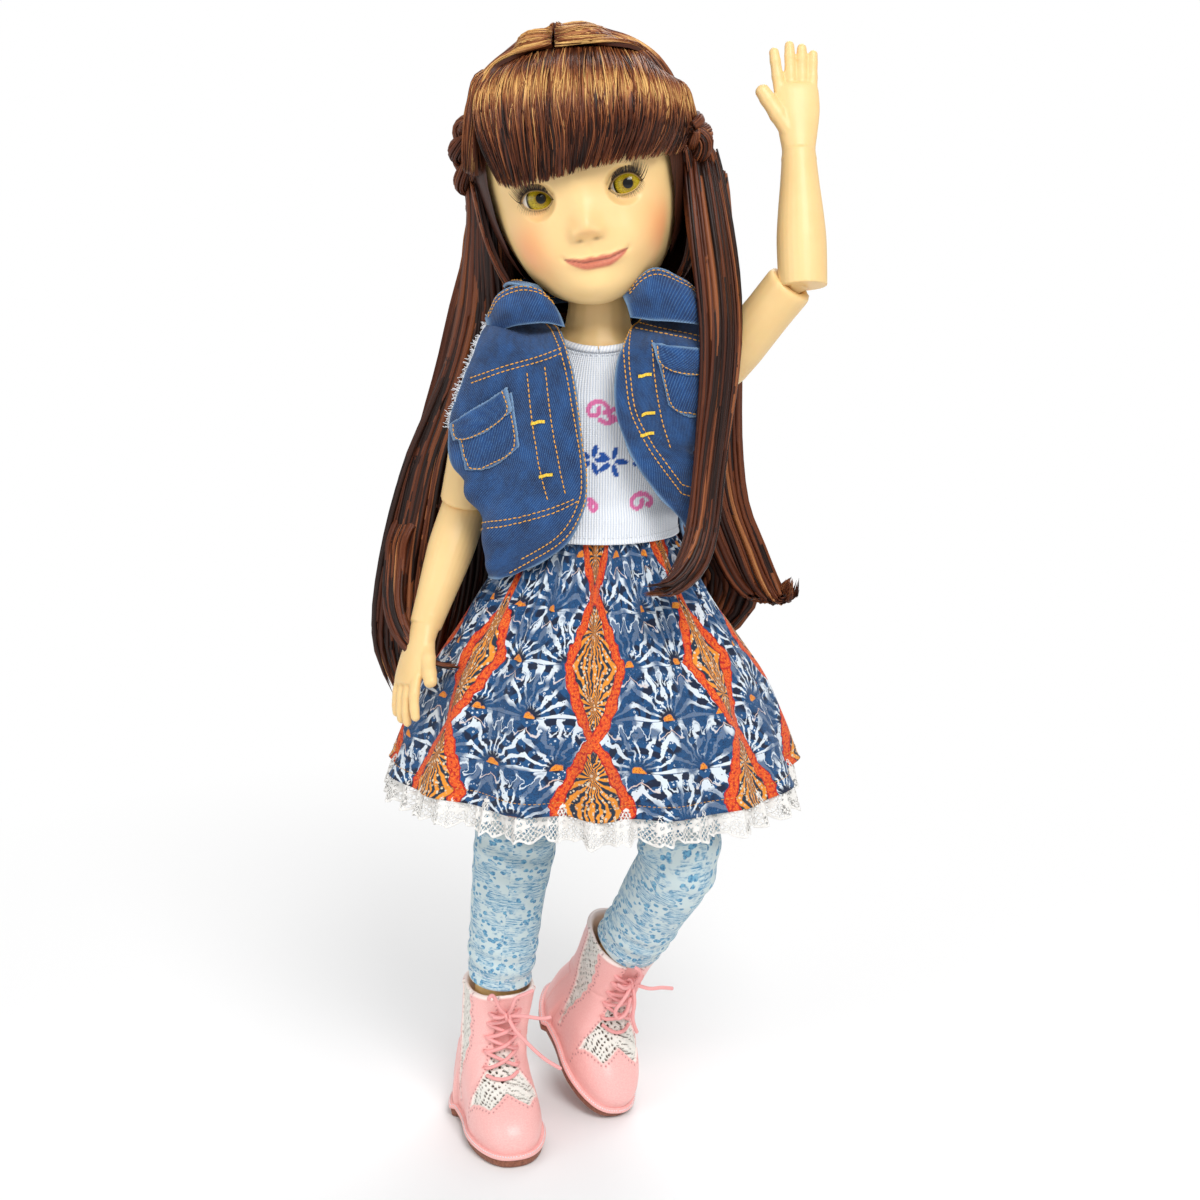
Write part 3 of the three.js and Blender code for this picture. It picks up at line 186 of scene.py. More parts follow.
def grid_normals(grid):
    """Unit normals of a grid of points, along crossed with down."""
    along = np.gradient(grid, axis=1)
    down = np.gradient(grid, axis=0)
    return unit(np.cross(along, down))


def surface(grid, s, t, lift=0.0):
    """Points on a grid at shares s across and t down, raised along the grid's normals."""
    rows, columns = grid.shape[:2]
    normals = grid_normals(grid)
    x = np.clip(np.asarray(s, float), 0, 1) * (columns - 1)
    y = np.clip(np.asarray(t, float), 0, 1) * (rows - 1)
    i, j = np.clip(y.astype(int), 0, rows - 2), np.clip(x.astype(int), 0, columns - 2)
    fy, fx = (y - i)[..., None], (x - j)[..., None]

    def blend(g):
        top = g[i, j] * (1 - fx) + g[i, j + 1] * fx
        return top * (1 - fy) + (g[i + 1, j] * (1 - fx) + g[i + 1, j + 1] * fx) * fy

    return blend(grid) + np.asarray(lift)[..., None] * unit(blend(normals))


def wavy(points, size, scale, seed=0.0):
    """A smooth random number for each point."""
    flat = np.asarray(points, float).reshape(-1, 3) / scale
    values = [noise.noise(Vector(p) + Vector((seed, seed * 1.7, -seed))) for p in flat]
    return size * np.array(values).reshape(np.asarray(points).shape[:-1])


class Shape:
    """Collects points and faces of one piece, with a texture place and a tone for each corner."""

    def __init__(self):
        self.points, self.loops, self.totals, self.places, self.tones = [], [], [], [], []
        self.count = 0

    def add(self, points, faces, places, tones):
        points = np.asarray(points, float).reshape(-1, 3)
        faces = np.asarray(faces)
        self.points.append(points)
        self.loops.append((faces + self.count).reshape(-1))
        self.totals.append(np.full(len(faces), faces.shape[1]))
        self.places.append(np.asarray(places, float).reshape(-1, 2))
        self.tones.append(np.asarray(tones, float).reshape(-1))
        self.count += len(points)

    def grid(self, points, wrap=False, size=None, tone=None, keep=None):
        """A sheet of quads. size is the sheet's width and height in texture units."""
        rows, columns = points.shape[:2]
        across = columns if wrap else columns - 1
        i, j = np.meshgrid(np.arange(rows - 1), np.arange(across), indexing="ij")
        i, j = i.reshape(-1), j.reshape(-1)
        k = (j + 1) % columns
        faces = np.stack([i * columns + j, i * columns + k, (i + 1) * columns + k, (i + 1) * columns + j], 1)
        width, height = size or (1, 1)
        u0, u1 = j / across * width, (j + 1) / across * width
        v0, v1 = -i / (rows - 1) * height, -(i + 1) / (rows - 1) * height
        places = np.stack([np.stack(c, 1) for c in ((u0, v0), (u1, v0), (u1, v1), (u0, v1))], 1)
        values = np.zeros(rows * columns) if tone is None else np.asarray(tone, float).reshape(-1)
        tones = values[faces]
        if keep is not None:
            kept = keep.reshape(-1)
            faces, places, tones = faces[kept], places[kept], tones[kept]
        self.add(points, faces, places, tones)

    def tubes(self, paths, side, wide, thick, sides=6, tone=0.0, start=0.0):
        """Closed flat tubes along many paths at once: paths and side are (tubes, steps, 3)."""
        paths = np.asarray(paths, float)
        tubes, steps = paths.shape[:2]
        along = unit(np.gradient(paths, axis=1))
        out = unit(np.cross(along, side))
        side = unit(np.cross(out, along))
        a = 2 * np.pi * np.arange(sides) / sides
        wide = np.broadcast_to(wide, (tubes, steps))[..., None, None]
        thick = np.broadcast_to(thick, (tubes, steps))[..., None, None]
        ring = side[:, :, None] * wide * np.cos(a)[:, None] + out[:, :, None] * thick * np.sin(a)[:, None]
        points = paths[:, :, None] + ring
        n, i, j = np.meshgrid(np.arange(tubes), np.arange(steps - 1), np.arange(sides), indexing="ij")
        n, i, j = n.reshape(-1), i.reshape(-1), j.reshape(-1)
        k = (j + 1) % sides
        base = (n * steps + i) * sides
        faces = np.stack([base + j, base + k, base + sides + k, base + sides + j], 1)
        length = np.linalg.norm(np.diff(paths, axis=1), axis=2).cumsum(1)
        length = np.concatenate([np.zeros((tubes, 1)), length], 1) / 10
        tone = np.broadcast_to(np.asarray(tone, float), (tubes,)) if np.ndim(tone) < 2 else tone
        first = np.broadcast_to(np.asarray(start, float), (tubes,))[n]

        def fold(m):
            return np.abs((m / sides * 2) % 2 - 1)

        u0, u1 = first + fold(j), first + fold(j + 1)
        v0, v1 = length[n, i], length[n, i + 1]
        places = np.stack([np.stack(c, 1) for c in ((u0, v0), (u1, v0), (u1, v1), (u0, v1))], 1)
        if np.ndim(tone) < 2:
            tones = np.repeat(tone[n][:, None], 4, 1)
        else:
            tones = np.stack([tone[n, i], tone[n, i], tone[n, i + 1], tone[n, i + 1]], 1)
        self.add(points, faces, places, tones)
        # The two ends of every tube are closed.
        for step, way in ((0, -1), (steps - 1, 1)):
            ends = (np.arange(tubes) * steps + step)[:, None] * sides + np.arange(sides)[None, ::way]
            self.loops.append((ends + self.count - tubes * steps * sides).reshape(-1))
            self.totals.append(np.full(tubes, sides))
            self.places.append(np.zeros((tubes * sides, 2)))
            flat = tone if np.ndim(tone) < 2 else tone[:, step]
            self.tones.append(np.repeat(flat, sides))

    def made(self, name, body, material, slot, stands_for=(), ride=True):
        """The piece as an object that rides on a body."""
        mesh = bpy.data.meshes.new(name)
        points = np.concatenate(self.points) * MM + np.array(HIPS)
        loops, totals = np.concatenate(self.loops), np.concatenate(self.totals)
        mesh.vertices.add(len(points))
        mesh.vertices.foreach_set("co", points.astype(np.float32).reshape(-1))
        mesh.loops.add(len(loops))
        mesh.loops.foreach_set("vertex_index", loops.astype(np.int32))
        mesh.polygons.add(len(totals))
        mesh.polygons.foreach_set("loop_start", np.concatenate([[0], totals.cumsum()[:-1]]).astype(np.int32))
        mesh.polygons.foreach_set("use_smooth", np.full(len(totals), True))
        mesh.update(calc_edges=True)
        layer = mesh.uv_layers.new(name="UVMap")
        layer.uv.foreach_set("vector", np.concatenate(self.places).astype(np.float32).reshape(-1))
        tone = mesh.attributes.new("tone", "FLOAT", "CORNER")
        tone.data.foreach_set("value", np.concatenate(self.tones).astype(np.float32))
        mesh.validate()
        mesh.materials.append(material)
        obj = bpy.data.objects.new(name, mesh)
        bpy.context.scene.collection.objects.link(obj)
        if stands_for:
            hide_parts(*stands_for)
        if ride:
            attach(obj, body)
        return obj


def point_value(obj, name, values):
    """A number stored on every point of a mesh, for its material."""
    layer = obj.data.attributes.new(name, "FLOAT", "POINT")
    layer.data.foreach_set("value", np.asarray(values, np.float32).reshape(-1))


def thickened(obj, thickness):
    """Gives a sheet its thickness in millimetres, behind its face."""
    wall = obj.modifiers.new("thickness", "SOLIDIFY")
    wall.thickness = thickness * MM
    wall.offset = -1.0
    wall.use_even_offset = False
    return obj


def remeshed(obj, voxel, rounds):
    """One closed skin over a piece, from voxels of a size in millimetres, then smoothed."""
    fine = obj.modifiers.new("fine", "REMESH")
    fine.mode = "VOXEL"
    fine.voxel_size = voxel * MM
    fine.use_smooth_shade = True
    soft = obj.modifiers.new("soft", "SMOOTH")
    soft.factor = 0.5
    soft.iterations = rounds


class Finish:
    """A node material under construction."""

    def __init__(self, name):
        self.material = bpy.data.materials.new(name)
        self.material.use_nodes = True
        self.tree = self.material.node_tree
        self.shader = self.tree.nodes["Principled BSDF"]

    def node(self, kind, inputs=None, **settings):
        made = self.tree.nodes.new(kind)
        for key, value in settings.items():
            setattr(made, key, value)
        for key, value in (inputs or {}).items():
            self.put(made.inputs[key], value)
        return made

    def put(self, socket, value):
        if isinstance(value, bpy.types.NodeSocket):
            self.tree.links.new(value, socket)
        elif isinstance(value, (tuple, list)) and len(value) == 3 and len(socket.default_value) == 4:
            socket.default_value = (*value, 1)
        else:
            socket.default_value = value

    def set(self, **values):
        for key, value in values.items():
            self.put(self.shader.inputs[key.replace("_", " ")], value)

    def math(self, kind, a, b=0.0):
        made = self.node("ShaderNodeMath", operation=kind)
        self.put(made.inputs[0], a)
        self.put(made.inputs[1], b)
        return made.outputs[0]

    def plus(self, a, b):
        return self.math("ADD", a, b)

    def minus(self, a, b):
        return self.math("SUBTRACT", a, b)

    def times(self, a, b):
        return self.math("MULTIPLY", a, b)

    def sine(self, a):
        return self.math("SINE", a)

    def mix(self, share, a, b):
        made = self.node("ShaderNodeMix", data_type="RGBA")
        self.put(made.inputs[0], share)
        self.put(made.inputs[6], a)
        self.put(made.inputs[7], b)
        return made.outputs[2]

    def ramp(self, value, low, high, bottom=0.0, top=1.0):
        made = self.node("ShaderNodeMapRange", {0: value, 1: low, 2: high, 3: bottom, 4: top}, clamp=True)
        return made.outputs[0]

    def noise(self, place, scale, detail=2.0, roughness=0.5):
        inputs = {"Vector": place, "Scale": scale, "Detail": detail, "Roughness": roughness}
        return self.node("ShaderNodeTexNoise", inputs).outputs[0]

    def stretched(self, place, scale):
        return self.node("ShaderNodeMapping", {0: place, 3: scale}).outputs[0]

    def cells(self, place, scale, spread=1.0):
        inputs = {"Vector": place, "Scale": scale, "Randomness": spread}
        return self.node("ShaderNodeTexVoronoi", inputs)

    def places(self):
        return self.node("ShaderNodeTexCoord").outputs["UV"]

    def solid_places(self):
        return self.node("ShaderNodeTexCoord").outputs["Object"]

    def value(self, name):
        return self.node("ShaderNodeAttribute", attribute_name=name).outputs["Fac"]

    def split(self, place):
        return self.node("ShaderNodeSeparateXYZ", {0: place}).outputs

    def relief(self, height, strength, distance):
        inputs = {"Height": height, "Strength": strength, "Distance": distance * MM}
        made = self.node("ShaderNodeBump", inputs)
        self.put(self.shader.inputs["Normal"], made.outputs[0])


def linear(red, green, blue):
    """A colour written as 0 to 255, as the linear numbers that a shader takes."""
    values = [v / 255 for v in (red, green, blue)]
    return tuple(v / 12.92 if v < 0.04045 else ((v + 0.055) / 1.055) ** 2.4 for v in values)


# The photograph's camera, in millimetres from the hips and in pixels of a 1200 pixel picture.
CAMERA_AT = (1.8, -600.0, 157.9)
CAMERA_DOWN = 13.7
LOOK_DOWN = (math.cos(math.radians(CAMERA_DOWN)), math.sin(math.radians(CAMERA_DOWN)))
FOCAL = 1870.0
PICTURE = 1200


def sight(u, v):
    """The direction of a picture point from the camera."""
    dx = (np.asarray(u, float) - PICTURE / 2) / FOCAL
    dy = (np.asarray(v, float) - PICTURE / 2) / FOCAL
    c, s = LOOK_DOWN
    return np.stack(np.broadcast_arrays(dx, c - dy * s, -s - dy * c), -1)


def picture_point(u, v, y):
    """The point that shows at (u, v) of the picture and lies at depth y."""
    ray = sight(u, v)
    return np.array(CAMERA_AT) + ray * ((np.asarray(y, float) - CAMERA_AT[1]) / ray[..., 1])[..., None]


def picture_grid(rows):
    """Guides for hair from rows of (v, (u, y) for each column)."""
    return np.array([[picture_point(u, v, y) for u, y in columns] for v, *columns in rows])


# The head's shape in its own frame: height, half width, depth in front and depth behind.
FACE_TABLE = [
    [-11, 5, 22, 6], [-9.5, 11, 26.5, 9], [-6, 17, 29, 12], [-1, 21.3, 30.3, 16], [4, 24.2, 31, 21],
    [10, 26.8, 31.2, 26], [16, 28.6, 31, 30], [22.7, 29.8, 30.6, 33], [30, 30.7, 31.6, 35],
    [38, 31, 31.8, 35.5], [46, 29.5, 29.8, 34], [54, 25, 24.5, 29], [60, 18, 17.5, 21],
    [64.5, 10, 10, 12], [68.4, 3, 3, 4],
]
HEAD_TOP = 68.4
HEAD_BOTTOM = -11
HEAD_AXIS_Y = 3
# Above this height the grown head rises over the plain one.
WIDEST_AT = 30
HEAD_CENTRE = np.array([0, 3.5, 28.0])
FACE_FLATNESS = 0.85
EYE_HEIGHT = 22.7
EYE_X = 13.5
EYE_Y = -16.2
EYE_RADIUS = 6.8


def skull(angle, z, grow=0.0):
    """A point of the head at an angle from the front and a height, grown outwards."""
    width, front, back = table_at(FACE_TABLE, z)
    c, s = np.cos(angle), np.sin(angle)
    depth = np.where(c > 0, front, back) + grow
    flat = np.where(c > 0, FACE_FLATNESS, 1.0)
    x = (width + grow) * np.sign(s) * np.abs(s) ** flat
    return np.stack(np.broadcast_arrays(x, HEAD_AXIS_Y - depth * c, z), -1)


def in_skull(p, grow):
    """Where points in the head's frame are inside the head grown outwards."""
    x, y, z = p[..., 0], p[..., 1] - HEAD_AXIS_Y, p[..., 2]
    over = HEAD_TOP - WIDEST_AT
    level = np.where(z > WIDEST_AT, WIDEST_AT + (z - WIDEST_AT) * over / (over + grow), z)
    width, front, back = table_at(FACE_TABLE, np.clip(level, HEAD_BOTTOM, HEAD_TOP))
    flat = np.where(y < 0, FACE_FLATNESS, 1.0)
    across = (np.abs(x) / (width + grow)) ** (1 / flat)
    deep = np.abs(y) / (np.where(y < 0, front, back) + grow)
    return (across**2 + deep**2 < 1) & (level > HEAD_BOTTOM) & (level < HEAD_TOP)


HALVINGS = 18


def on_skull(p, grow):
    """Points moved in or out from the head's middle until they lie on the grown head."""
    p = np.asarray(p, float)
    ray = p - HEAD_CENTRE
    low, high = np.zeros(p.shape[:-1]), np.full(p.shape[:-1], 4.0)
    grow = np.broadcast_to(grow, p.shape[:-1])
    for _ in range(HALVINGS):
        middle = (low + high) / 2
        inside = in_skull(HEAD_CENTRE + ray * middle[..., None], grow)
        low, high = np.where(inside, middle, low), np.where(inside, high, middle)
    return HEAD_CENTRE + ray * low[..., None]


# Depths from the camera between which the head is looked for, and the depth of a ray that misses it.
SIGHT_NEAR = 520
SIGHT_FAR = 660
SIGHT_MISSED = 600


def seen_on_head(u, v, grow=0.0):
    """The point of the grown head that shows at (u, v), in the head's frame."""
    back = HEAD.inverted()
    start = moved(back, np.array(CAMERA_AT))
    ray = moved(back, np.array(CAMERA_AT) + sight(u, v)) - start
    steps = np.linspace(SIGHT_NEAR, SIGHT_FAR, 240)
    path = start + ray[..., None, :] * steps[:, None]
    inside = in_skull(path, np.broadcast_to(grow, path.shape[:-1]))
    first = np.where(inside.any(-1), inside.argmax(-1), np.abs(steps - SIGHT_MISSED).argmin())
    return np.take_along_axis(path, first[..., None, None].repeat(3, -1), -2)[..., 0, :]


SKIN = linear(238, 203, 142)
SKIN_DEEP = linear(214, 165, 96)
LIP = linear(206, 118, 92)
BLUSH = linear(246, 160, 104)
MATERIALS = {}


def material(make):
    """Each material is made once."""
    if make.__name__ not in MATERIALS:
        MATERIALS[make.__name__] = make()
    return MATERIALS[make.__name__]


def skin_base(f, blushed):
    """The vinyl, with the face's paint when it is blushed."""
    place = f.solid_places()
    mottle = f.noise(place, 90, 3)
    body = bpy.context.scene.doll_body
    colour = f.mix(f.ramp(mottle, 0.35, 0.7, 0, 0.16), tuple(body.skin), SKIN_DEEP)
    if blushed:
        colour = f.mix(f.value("blush"), colour, tuple(body.blush))
        lip = f.mix(f.ramp(f.noise(place, 900, 2), 0.3, 0.7), tuple(body.lip), linear(190, 96, 76))
        colour = f.mix(f.value("lip"), colour, lip)
        # The liner colour also paints the shade by the nose's wings and in the nostrils.
        colour = f.mix(f.value("liner_and_shade"), colour, linear(74, 42, 22))
    f.set(Base_Color=colour, Roughness=0.44, Subsurface_Weight=0.12, Subsurface_Scale=0.004)
    f.put(f.shader.inputs["Subsurface Radius"], (1.0, 0.45, 0.2))
    pores = f.noise(place, 2600, 3)
    f.relief(f.plus(pores, f.times(mottle, 2.0)), 0.16, 0.05)
    return f.material


def body_skin():
    return skin_base(Finish("vinyl skin"), False)


def face_skin():
    return skin_base(Finish("painted face"), True)


def eye_paint():
    """A pupil, a rayed iris and the white, by the distance from the middle of the eye."""
    f = Finish("glossy eye")
    r, angle = f.value("ring"), f.value("turn")
    place = f.node("ShaderNodeCombineXYZ", {0: f.times(angle, 5.0), 1: f.times(r, 0.35)})
    rays = f.noise(place.outputs[0], 3.6, 4, 0.75)
    iris = f.mix(f.ramp(rays, 0.36, 0.66), linear(96, 76, 4), tuple(bpy.context.scene.doll_body.iris))
    near = f.ramp(r, 1.5, 2.4, 1, 0)
    iris = f.mix(f.times(near, 0.6), iris, linear(120, 78, 8))
    iris = f.mix(f.ramp(r, 3.6, 4.3), iris, linear(26, 20, 6))
    colour = f.mix(f.ramp(r, 1.45, 1.65, 1, 0), iris, (0.002, 0.002, 0.002))
    # Towards its edge the white turns darker and pinker: painted shade under the lids, with a reddish tint.
    white = f.mix(f.ramp(r, 4.8, 8.0), linear(236, 230, 216), linear(206, 166, 146))
    colour = f.mix(f.ramp(r, 4.55, 4.8), colour, white)
    f.set(Base_Color=colour, Roughness=0.16)
    f.put(f.shader.inputs["Specular IOR Level"], 0.25)
    f.put(f.shader.inputs["Coat Weight"], 0.35)
    f.put(f.shader.inputs["Coat Roughness"], 0.03)
    return f.material


def hair_paint():
    """Strands from dark to gold, by each strand's tone, which also holds painted sheen and painted shade,
    and by fibres along it.
    """
    f = Finish("auburn hair")
    hair = bpy.context.scene.doll_hair
    place = f.places()
    along = f.stretched(place, (23.0, 0.25, 1.0))
    fibre = f.noise(along, 9, 4, 0.65)
    broad = f.noise(f.stretched(place, (1.7, 0.06, 1.0)), 3, 2)
    light = f.plus(f.value("tone"), f.times(f.minus(broad, 0.5), 0.6))
    light = f.plus(light, f.times(f.minus(fibre, 0.5), 0.8))
    dark = f.mix(f.ramp(light, 0.0, 0.42), tuple(hair.dark), linear(96, 46, 24))
    colour = f.mix(f.ramp(light, 0.4, 0.78), dark, tuple(hair.middle))
    colour = f.mix(f.ramp(light, 0.78, 1.2), colour, tuple(hair.gold))
    f.set(Base_Color=colour, Roughness=0.42)
    f.put(f.shader.inputs["Specular IOR Level"], 0.3)
    f.put(f.shader.inputs["Anisotropic"], 0.5)
    f.relief(fibre, 0.4, 0.1)
    return f.material


def lash_paint():
    """Nearly black fibres."""
    f = Finish("lash fibre")
    colour = f.mix(f.noise(f.places(), 8), (0.006, 0.004, 0.003), (0.03, 0.016, 0.01))
    f.set(Base_Color=colour, Roughness=0.5)
    return f.material


def cloth(f, colour, roughness, height, distance, fuzz):
    """The common end of every cloth: its colour, its weave's relief and a soft sheen."""
    f.set(Base_Color=colour, Roughness=roughness)
    f.put(f.shader.inputs["Sheen Weight"], fuzz)
    f.relief(height, 0.7, distance)
    return f.material


def denim():
    """Twill with worn places and pale edges."""
    f = Finish("twill denim")
    place = f.places()
    u, v, _ = f.split(place)
    slope = f.times(f.plus(u, f.times(v, 0.62)), 7.4)
    twill = f.sine(f.plus(slope, f.times(f.noise(place, 2.2, 2), 1.6)))
    weft = f.noise(f.stretched(place, (6.0, 1.2, 1.0)), 1.6, 3, 0.7)
    worn = f.noise(place, 0.14, 4, 0.65)
    clothes = bpy.context.scene.doll_clothes
    base = f.mix(f.ramp(worn, 0.36, 0.66), tuple(clothes.denim_dark), tuple(clothes.denim_light))
    share = f.times(f.ramp(twill, 0.1, 0.95), f.ramp(weft, 0.4, 0.7, 0.04, 0.62))
    colour = f.mix(share, base, linear(104, 156, 204))
    colour = f.mix(f.value("tone"), colour, linear(140, 174, 206))
    height = f.plus(twill, f.times(weft, 1.2))
    return cloth(f, colour, 0.88, height, 0.16, 0.12)


def rib_knit():
    """White knitting with fine ribs, and motifs by named values."""
    f = Finish("white rib knit")
    place = f.places()
    u, v, _ = f.split(place)
    ribs = f.sine(f.times(u, 7.0))
    loops = f.sine(f.times(v, 11.0))
    # The valleys between the ribs are painted grey-blue, as painted shade.
    colour = f.mix(f.ramp(ribs, -1, 0.2), linear(214, 222, 234), linear(247, 249, 252))
    for name, paint in (("pink", linear(236, 120, 176)), ("blue", linear(30, 84, 168))):
        colour = f.mix(f.value(name), colour, paint)
    return cloth(f, colour, 0.85, f.plus(ribs, f.times(loops, 0.35)), 0.12, 0.1)


# The print's cell in texture units, a millimetre each, and the fans' spacing.
PRINT_REPEAT = 54.0
PRINT_HEIGHT = 46.0
FAN_HALF = 11.0
FAN_HEIGHT = 17.0
# Added to heights that are divided into rows, so that none is negative.
PRINT_SHIFT = 200.0


def printed_cotton():
    """A generic print: feathered fans in navy, blue and white between pointed orange bands."""
    f = Finish("printed cotton")
    place = f.places()
    u, v, _ = f.split(place)
    wobble = f.times(f.minus(f.noise(place, 0.22, 3), 0.5), 7.0)
    cell = f.math("PINGPONG", f.plus(u, f.times(wobble, 0.6)), PRINT_REPEAT / 2)
    arch = f.math("PINGPONG", f.plus(v, 24.0), PRINT_HEIGHT / 2)
    arch = f.math("DIVIDE", arch, PRINT_HEIGHT / 2)
    waist = f.times(f.math("POWER", arch, 0.8), 11.0)
    off = f.minus(cell, waist)
    # Fans stand in rows like scales, each turned to its own middle.
    row = f.math("FLOOR", f.math("DIVIDE", f.plus(v, PRINT_SHIFT), FAN_HEIGHT))
    shift = f.times(f.math("MODULO", row, 2.0), FAN_HALF)
    fan_x = f.math("PINGPONG", f.plus(f.plus(u, shift), wobble), FAN_HALF)
    fan_z = f.math("MODULO", f.plus(v, PRINT_SHIFT), FAN_HEIGHT)
    r = f.math("SQRT", f.plus(f.times(fan_x, fan_x), f.times(fan_z, fan_z)))
    angle = f.math("ARCTAN2", fan_z, fan_x)
    rings = f.sine(f.times(r, 1.45))
    feathers = f.sine(f.times(angle, 17.0))
    dots = f.cells(place, 0.8, 0.75).outputs["Distance"]
    fine = f.cells(place, 2.3, 1.0).outputs["Distance"]
    navy, blue, white = linear(6, 26, 56), linear(20, 78, 128), linear(222, 232, 240)
    orange, amber, red = linear(232, 84, 26), linear(238, 150, 44), linear(190, 28, 24)
    colour = f.mix(f.ramp(rings, -0.2, 0.2), navy, blue)
    colour = f.mix(f.times(f.ramp(feathers, 0.35, 0.55), f.ramp(r, 3.0, 4.5)), colour, white)
    colour = f.mix(f.times(f.ramp(dots, 0.3, 0.36, 1, 0), f.ramp(rings, 0.1, 0.4)), colour, white)
    colour = f.mix(f.times(f.ramp(dots, 0.14, 0.2, 1, 0), 0.9), colour, navy)
    patches = f.ramp(f.noise(place, 0.1, 2), 0.47, 0.55, 0, 0.85)
    colour = f.mix(patches, colour, f.mix(f.ramp(fine, 0.2, 0.4), navy, blue))
    point = f.math("ABSOLUTE", f.minus(fan_z, f.plus(13.5, f.times(feathers, 2.2))))
    colour = f.mix(f.ramp(point, 0.3, 0.55, 0.9, 0), colour, f.mix(f.ramp(angle, 0.7, 1.1), amber, white))
    colour = f.mix(f.ramp(r, 1.9, 2.2, 1, 0), colour, f.mix(f.ramp(fine, 0.2, 0.45), red, amber))
    rays = f.sine(f.times(f.math("ARCTAN2", f.minus(arch, 0.5), f.math("DIVIDE", cell, 12.0)), 22.0))
    flower = f.mix(f.ramp(rays, -0.3, 0.3), linear(16, 44, 66), amber)
    petals = f.mix(f.ramp(fine, 0.2, 0.4), red, linear(226, 214, 186))
    flower = f.mix(f.ramp(dots, 0.3, 0.4, 1, 0), flower, petals)
    colour = f.mix(f.math("LESS_THAN", off, -1.4), colour, flower)
    speckle = f.mix(f.ramp(fine, 0.2, 0.42), amber, orange)
    speckle = f.mix(f.ramp(f.noise(place, 1.0, 3), 0.5, 0.62), speckle, red)
    near = f.math("ABSOLUTE", off)
    colour = f.mix(f.math("LESS_THAN", near, 2.0), colour, red)
    colour = f.mix(f.math("LESS_THAN", near, 1.6), colour, speckle)
    weave = f.times(f.sine(f.times(u, 26)), f.sine(f.times(v, 26)))
    return cloth(f, colour, 0.84, weave, 0.04, 0.1)


def lace_thread():
    f = Finish("lace thread")
    fibre = f.noise(f.places(), 14, 4)
    colour = f.mix(fibre, linear(226, 222, 216), linear(252, 251, 248))
    return cloth(f, colour, 0.88, fibre, 0.12, 0.2)


def legging_cloth():
    """A generic print of streaks and blots in blues."""
    f = Finish("leggings jersey")
    place = f.places()
    u, v, _ = f.split(place)
    patch = f.noise(place, 0.13, 3, 0.55)
    streak = f.noise(f.stretched(place, (0.35, 2.4, 1.0)), 0.7, 4, 0.7)
    blobs = f.cells(place, 0.42, 0.95).outputs["Distance"]
    blobs = f.plus(blobs, f.times(f.minus(f.noise(place, 1.6, 2), 0.5), 0.35))
    small = f.cells(place, 1.15, 1.0).outputs["Distance"]
    pale, mid, deep = linear(208, 224, 226), linear(104, 172, 206), linear(24, 110, 164)
    streaked = f.mix(f.ramp(streak, 0.42, 0.62), pale, mid)
    streaked = f.mix(f.ramp(streak, 0.5, 0.66, 0, 0.9), streaked, deep)
    spotted = f.mix(f.ramp(blobs, 0.4, 0.5, 0.95, 0), pale, f.mix(f.ramp(small, 0.2, 0.7), deep, mid))
    colour = f.mix(f.ramp(patch, 0.47, 0.55), spotted, streaked)
    colour = f.mix(f.times(f.ramp(small, 0.16, 0.24, 0.4, 0), f.ramp(patch, 0.5, 0.56)), colour, pale)
    knit = f.times(f.sine(f.times(u, 16)), f.sine(f.times(v, 20)))
    return cloth(f, colour, 0.84, knit, 0.05, 0.15)


def boot_leather():
    """Crinkled leather, with crochet and pale rims, and with painted shade in the crochet's holes, in the
    punched dots and by the tongue's slot, by named values.
    """
    f = Finish("pink boot leather")
    place = f.places()
    boots = bpy.context.scene.doll_boots
    crinkle = f.cells(place, 1.3).outputs["Distance"]
    grain = f.noise(place, 1.8, 4)
    colour = f.mix(f.ramp(grain, 0.3, 0.7), linear(243, 176, 172), tuple(boots.leather))
    yarn = f.noise(place, 5.0, 3)
    colour = f.mix(f.value("crochet"), colour, f.mix(yarn, linear(226, 222, 212), linear(252, 250, 244)))
    colour = f.mix(f.value("rim"), colour, linear(246, 234, 226))
    # Painted shade in the crochet's holes, in the punched dots and by the tongue's slot.
    colour = f.mix(f.value("pit"), colour, linear(84, 62, 48))
    colour = f.mix(f.times(f.value("dark"), 0.8), colour, linear(150, 78, 84))
    f.set(Base_Color=colour, Roughness=f.ramp(f.value("crochet"), 0, 1, 0.36, 0.85))
    f.relief(f.plus(crinkle, grain), 0.14, 0.08)
    return f.material


def brown_sole():
    """Layered brown rubber, pale by the value tone."""
    f = Finish("brown sole")
    v = f.split(f.places())[1]
    boots = bpy.context.scene.doll_boots
    layers = f.sine(f.times(v, 9.0))
    grain = f.noise(f.stretched(f.places(), (1, 6, 1)), 1.2, 4)
    colour = f.mix(f.ramp(grain, 0.3, 0.7), linear(112, 62, 44), tuple(boots.sole))
    colour = f.mix(f.value("tone"), colour, linear(226, 190, 170))
    f.set(Base_Color=colour, Roughness=0.5)
    f.relief(f.plus(f.times(layers, 0.4), grain), 0.5, 0.1)
    return f.material


def thread(name, low, high):
    """A twisted thread, painted darker in the grooves of its twist as painted shade."""
    f = Finish(name)
    u, v, _ = f.split(f.places())
    twist = f.sine(f.plus(f.times(v, 60.0), f.times(u, 6.0)))
    f.set(Base_Color=f.mix(f.ramp(twist, -1, 1), low, high), Roughness=0.6)
    f.relief(twist, 0.6, 0.06)
    return f.material


def gold_thread():
    clothes = bpy.context.scene.doll_clothes
    return thread("gold topstitch", linear(206, 136, 44), tuple(clothes.stitch_colour))


def yellow_thread():
    return thread("yellow bar tack", linear(226, 178, 30), linear(252, 222, 84))


def white_thread():
    return thread("white edge thread", linear(214, 220, 230), linear(250, 250, 250))


def lace_cord():
    f = Finish("pink round lace")
    fibre = f.noise(f.stretched(f.places(), (6, 30, 1)), 1.5, 4)
    f.set(Base_Color=f.mix(fibre, linear(226, 142, 142), linear(248, 186, 182)), Roughness=0.62)
    f.relief(fibre, 0.35, 0.06)
    return f.material


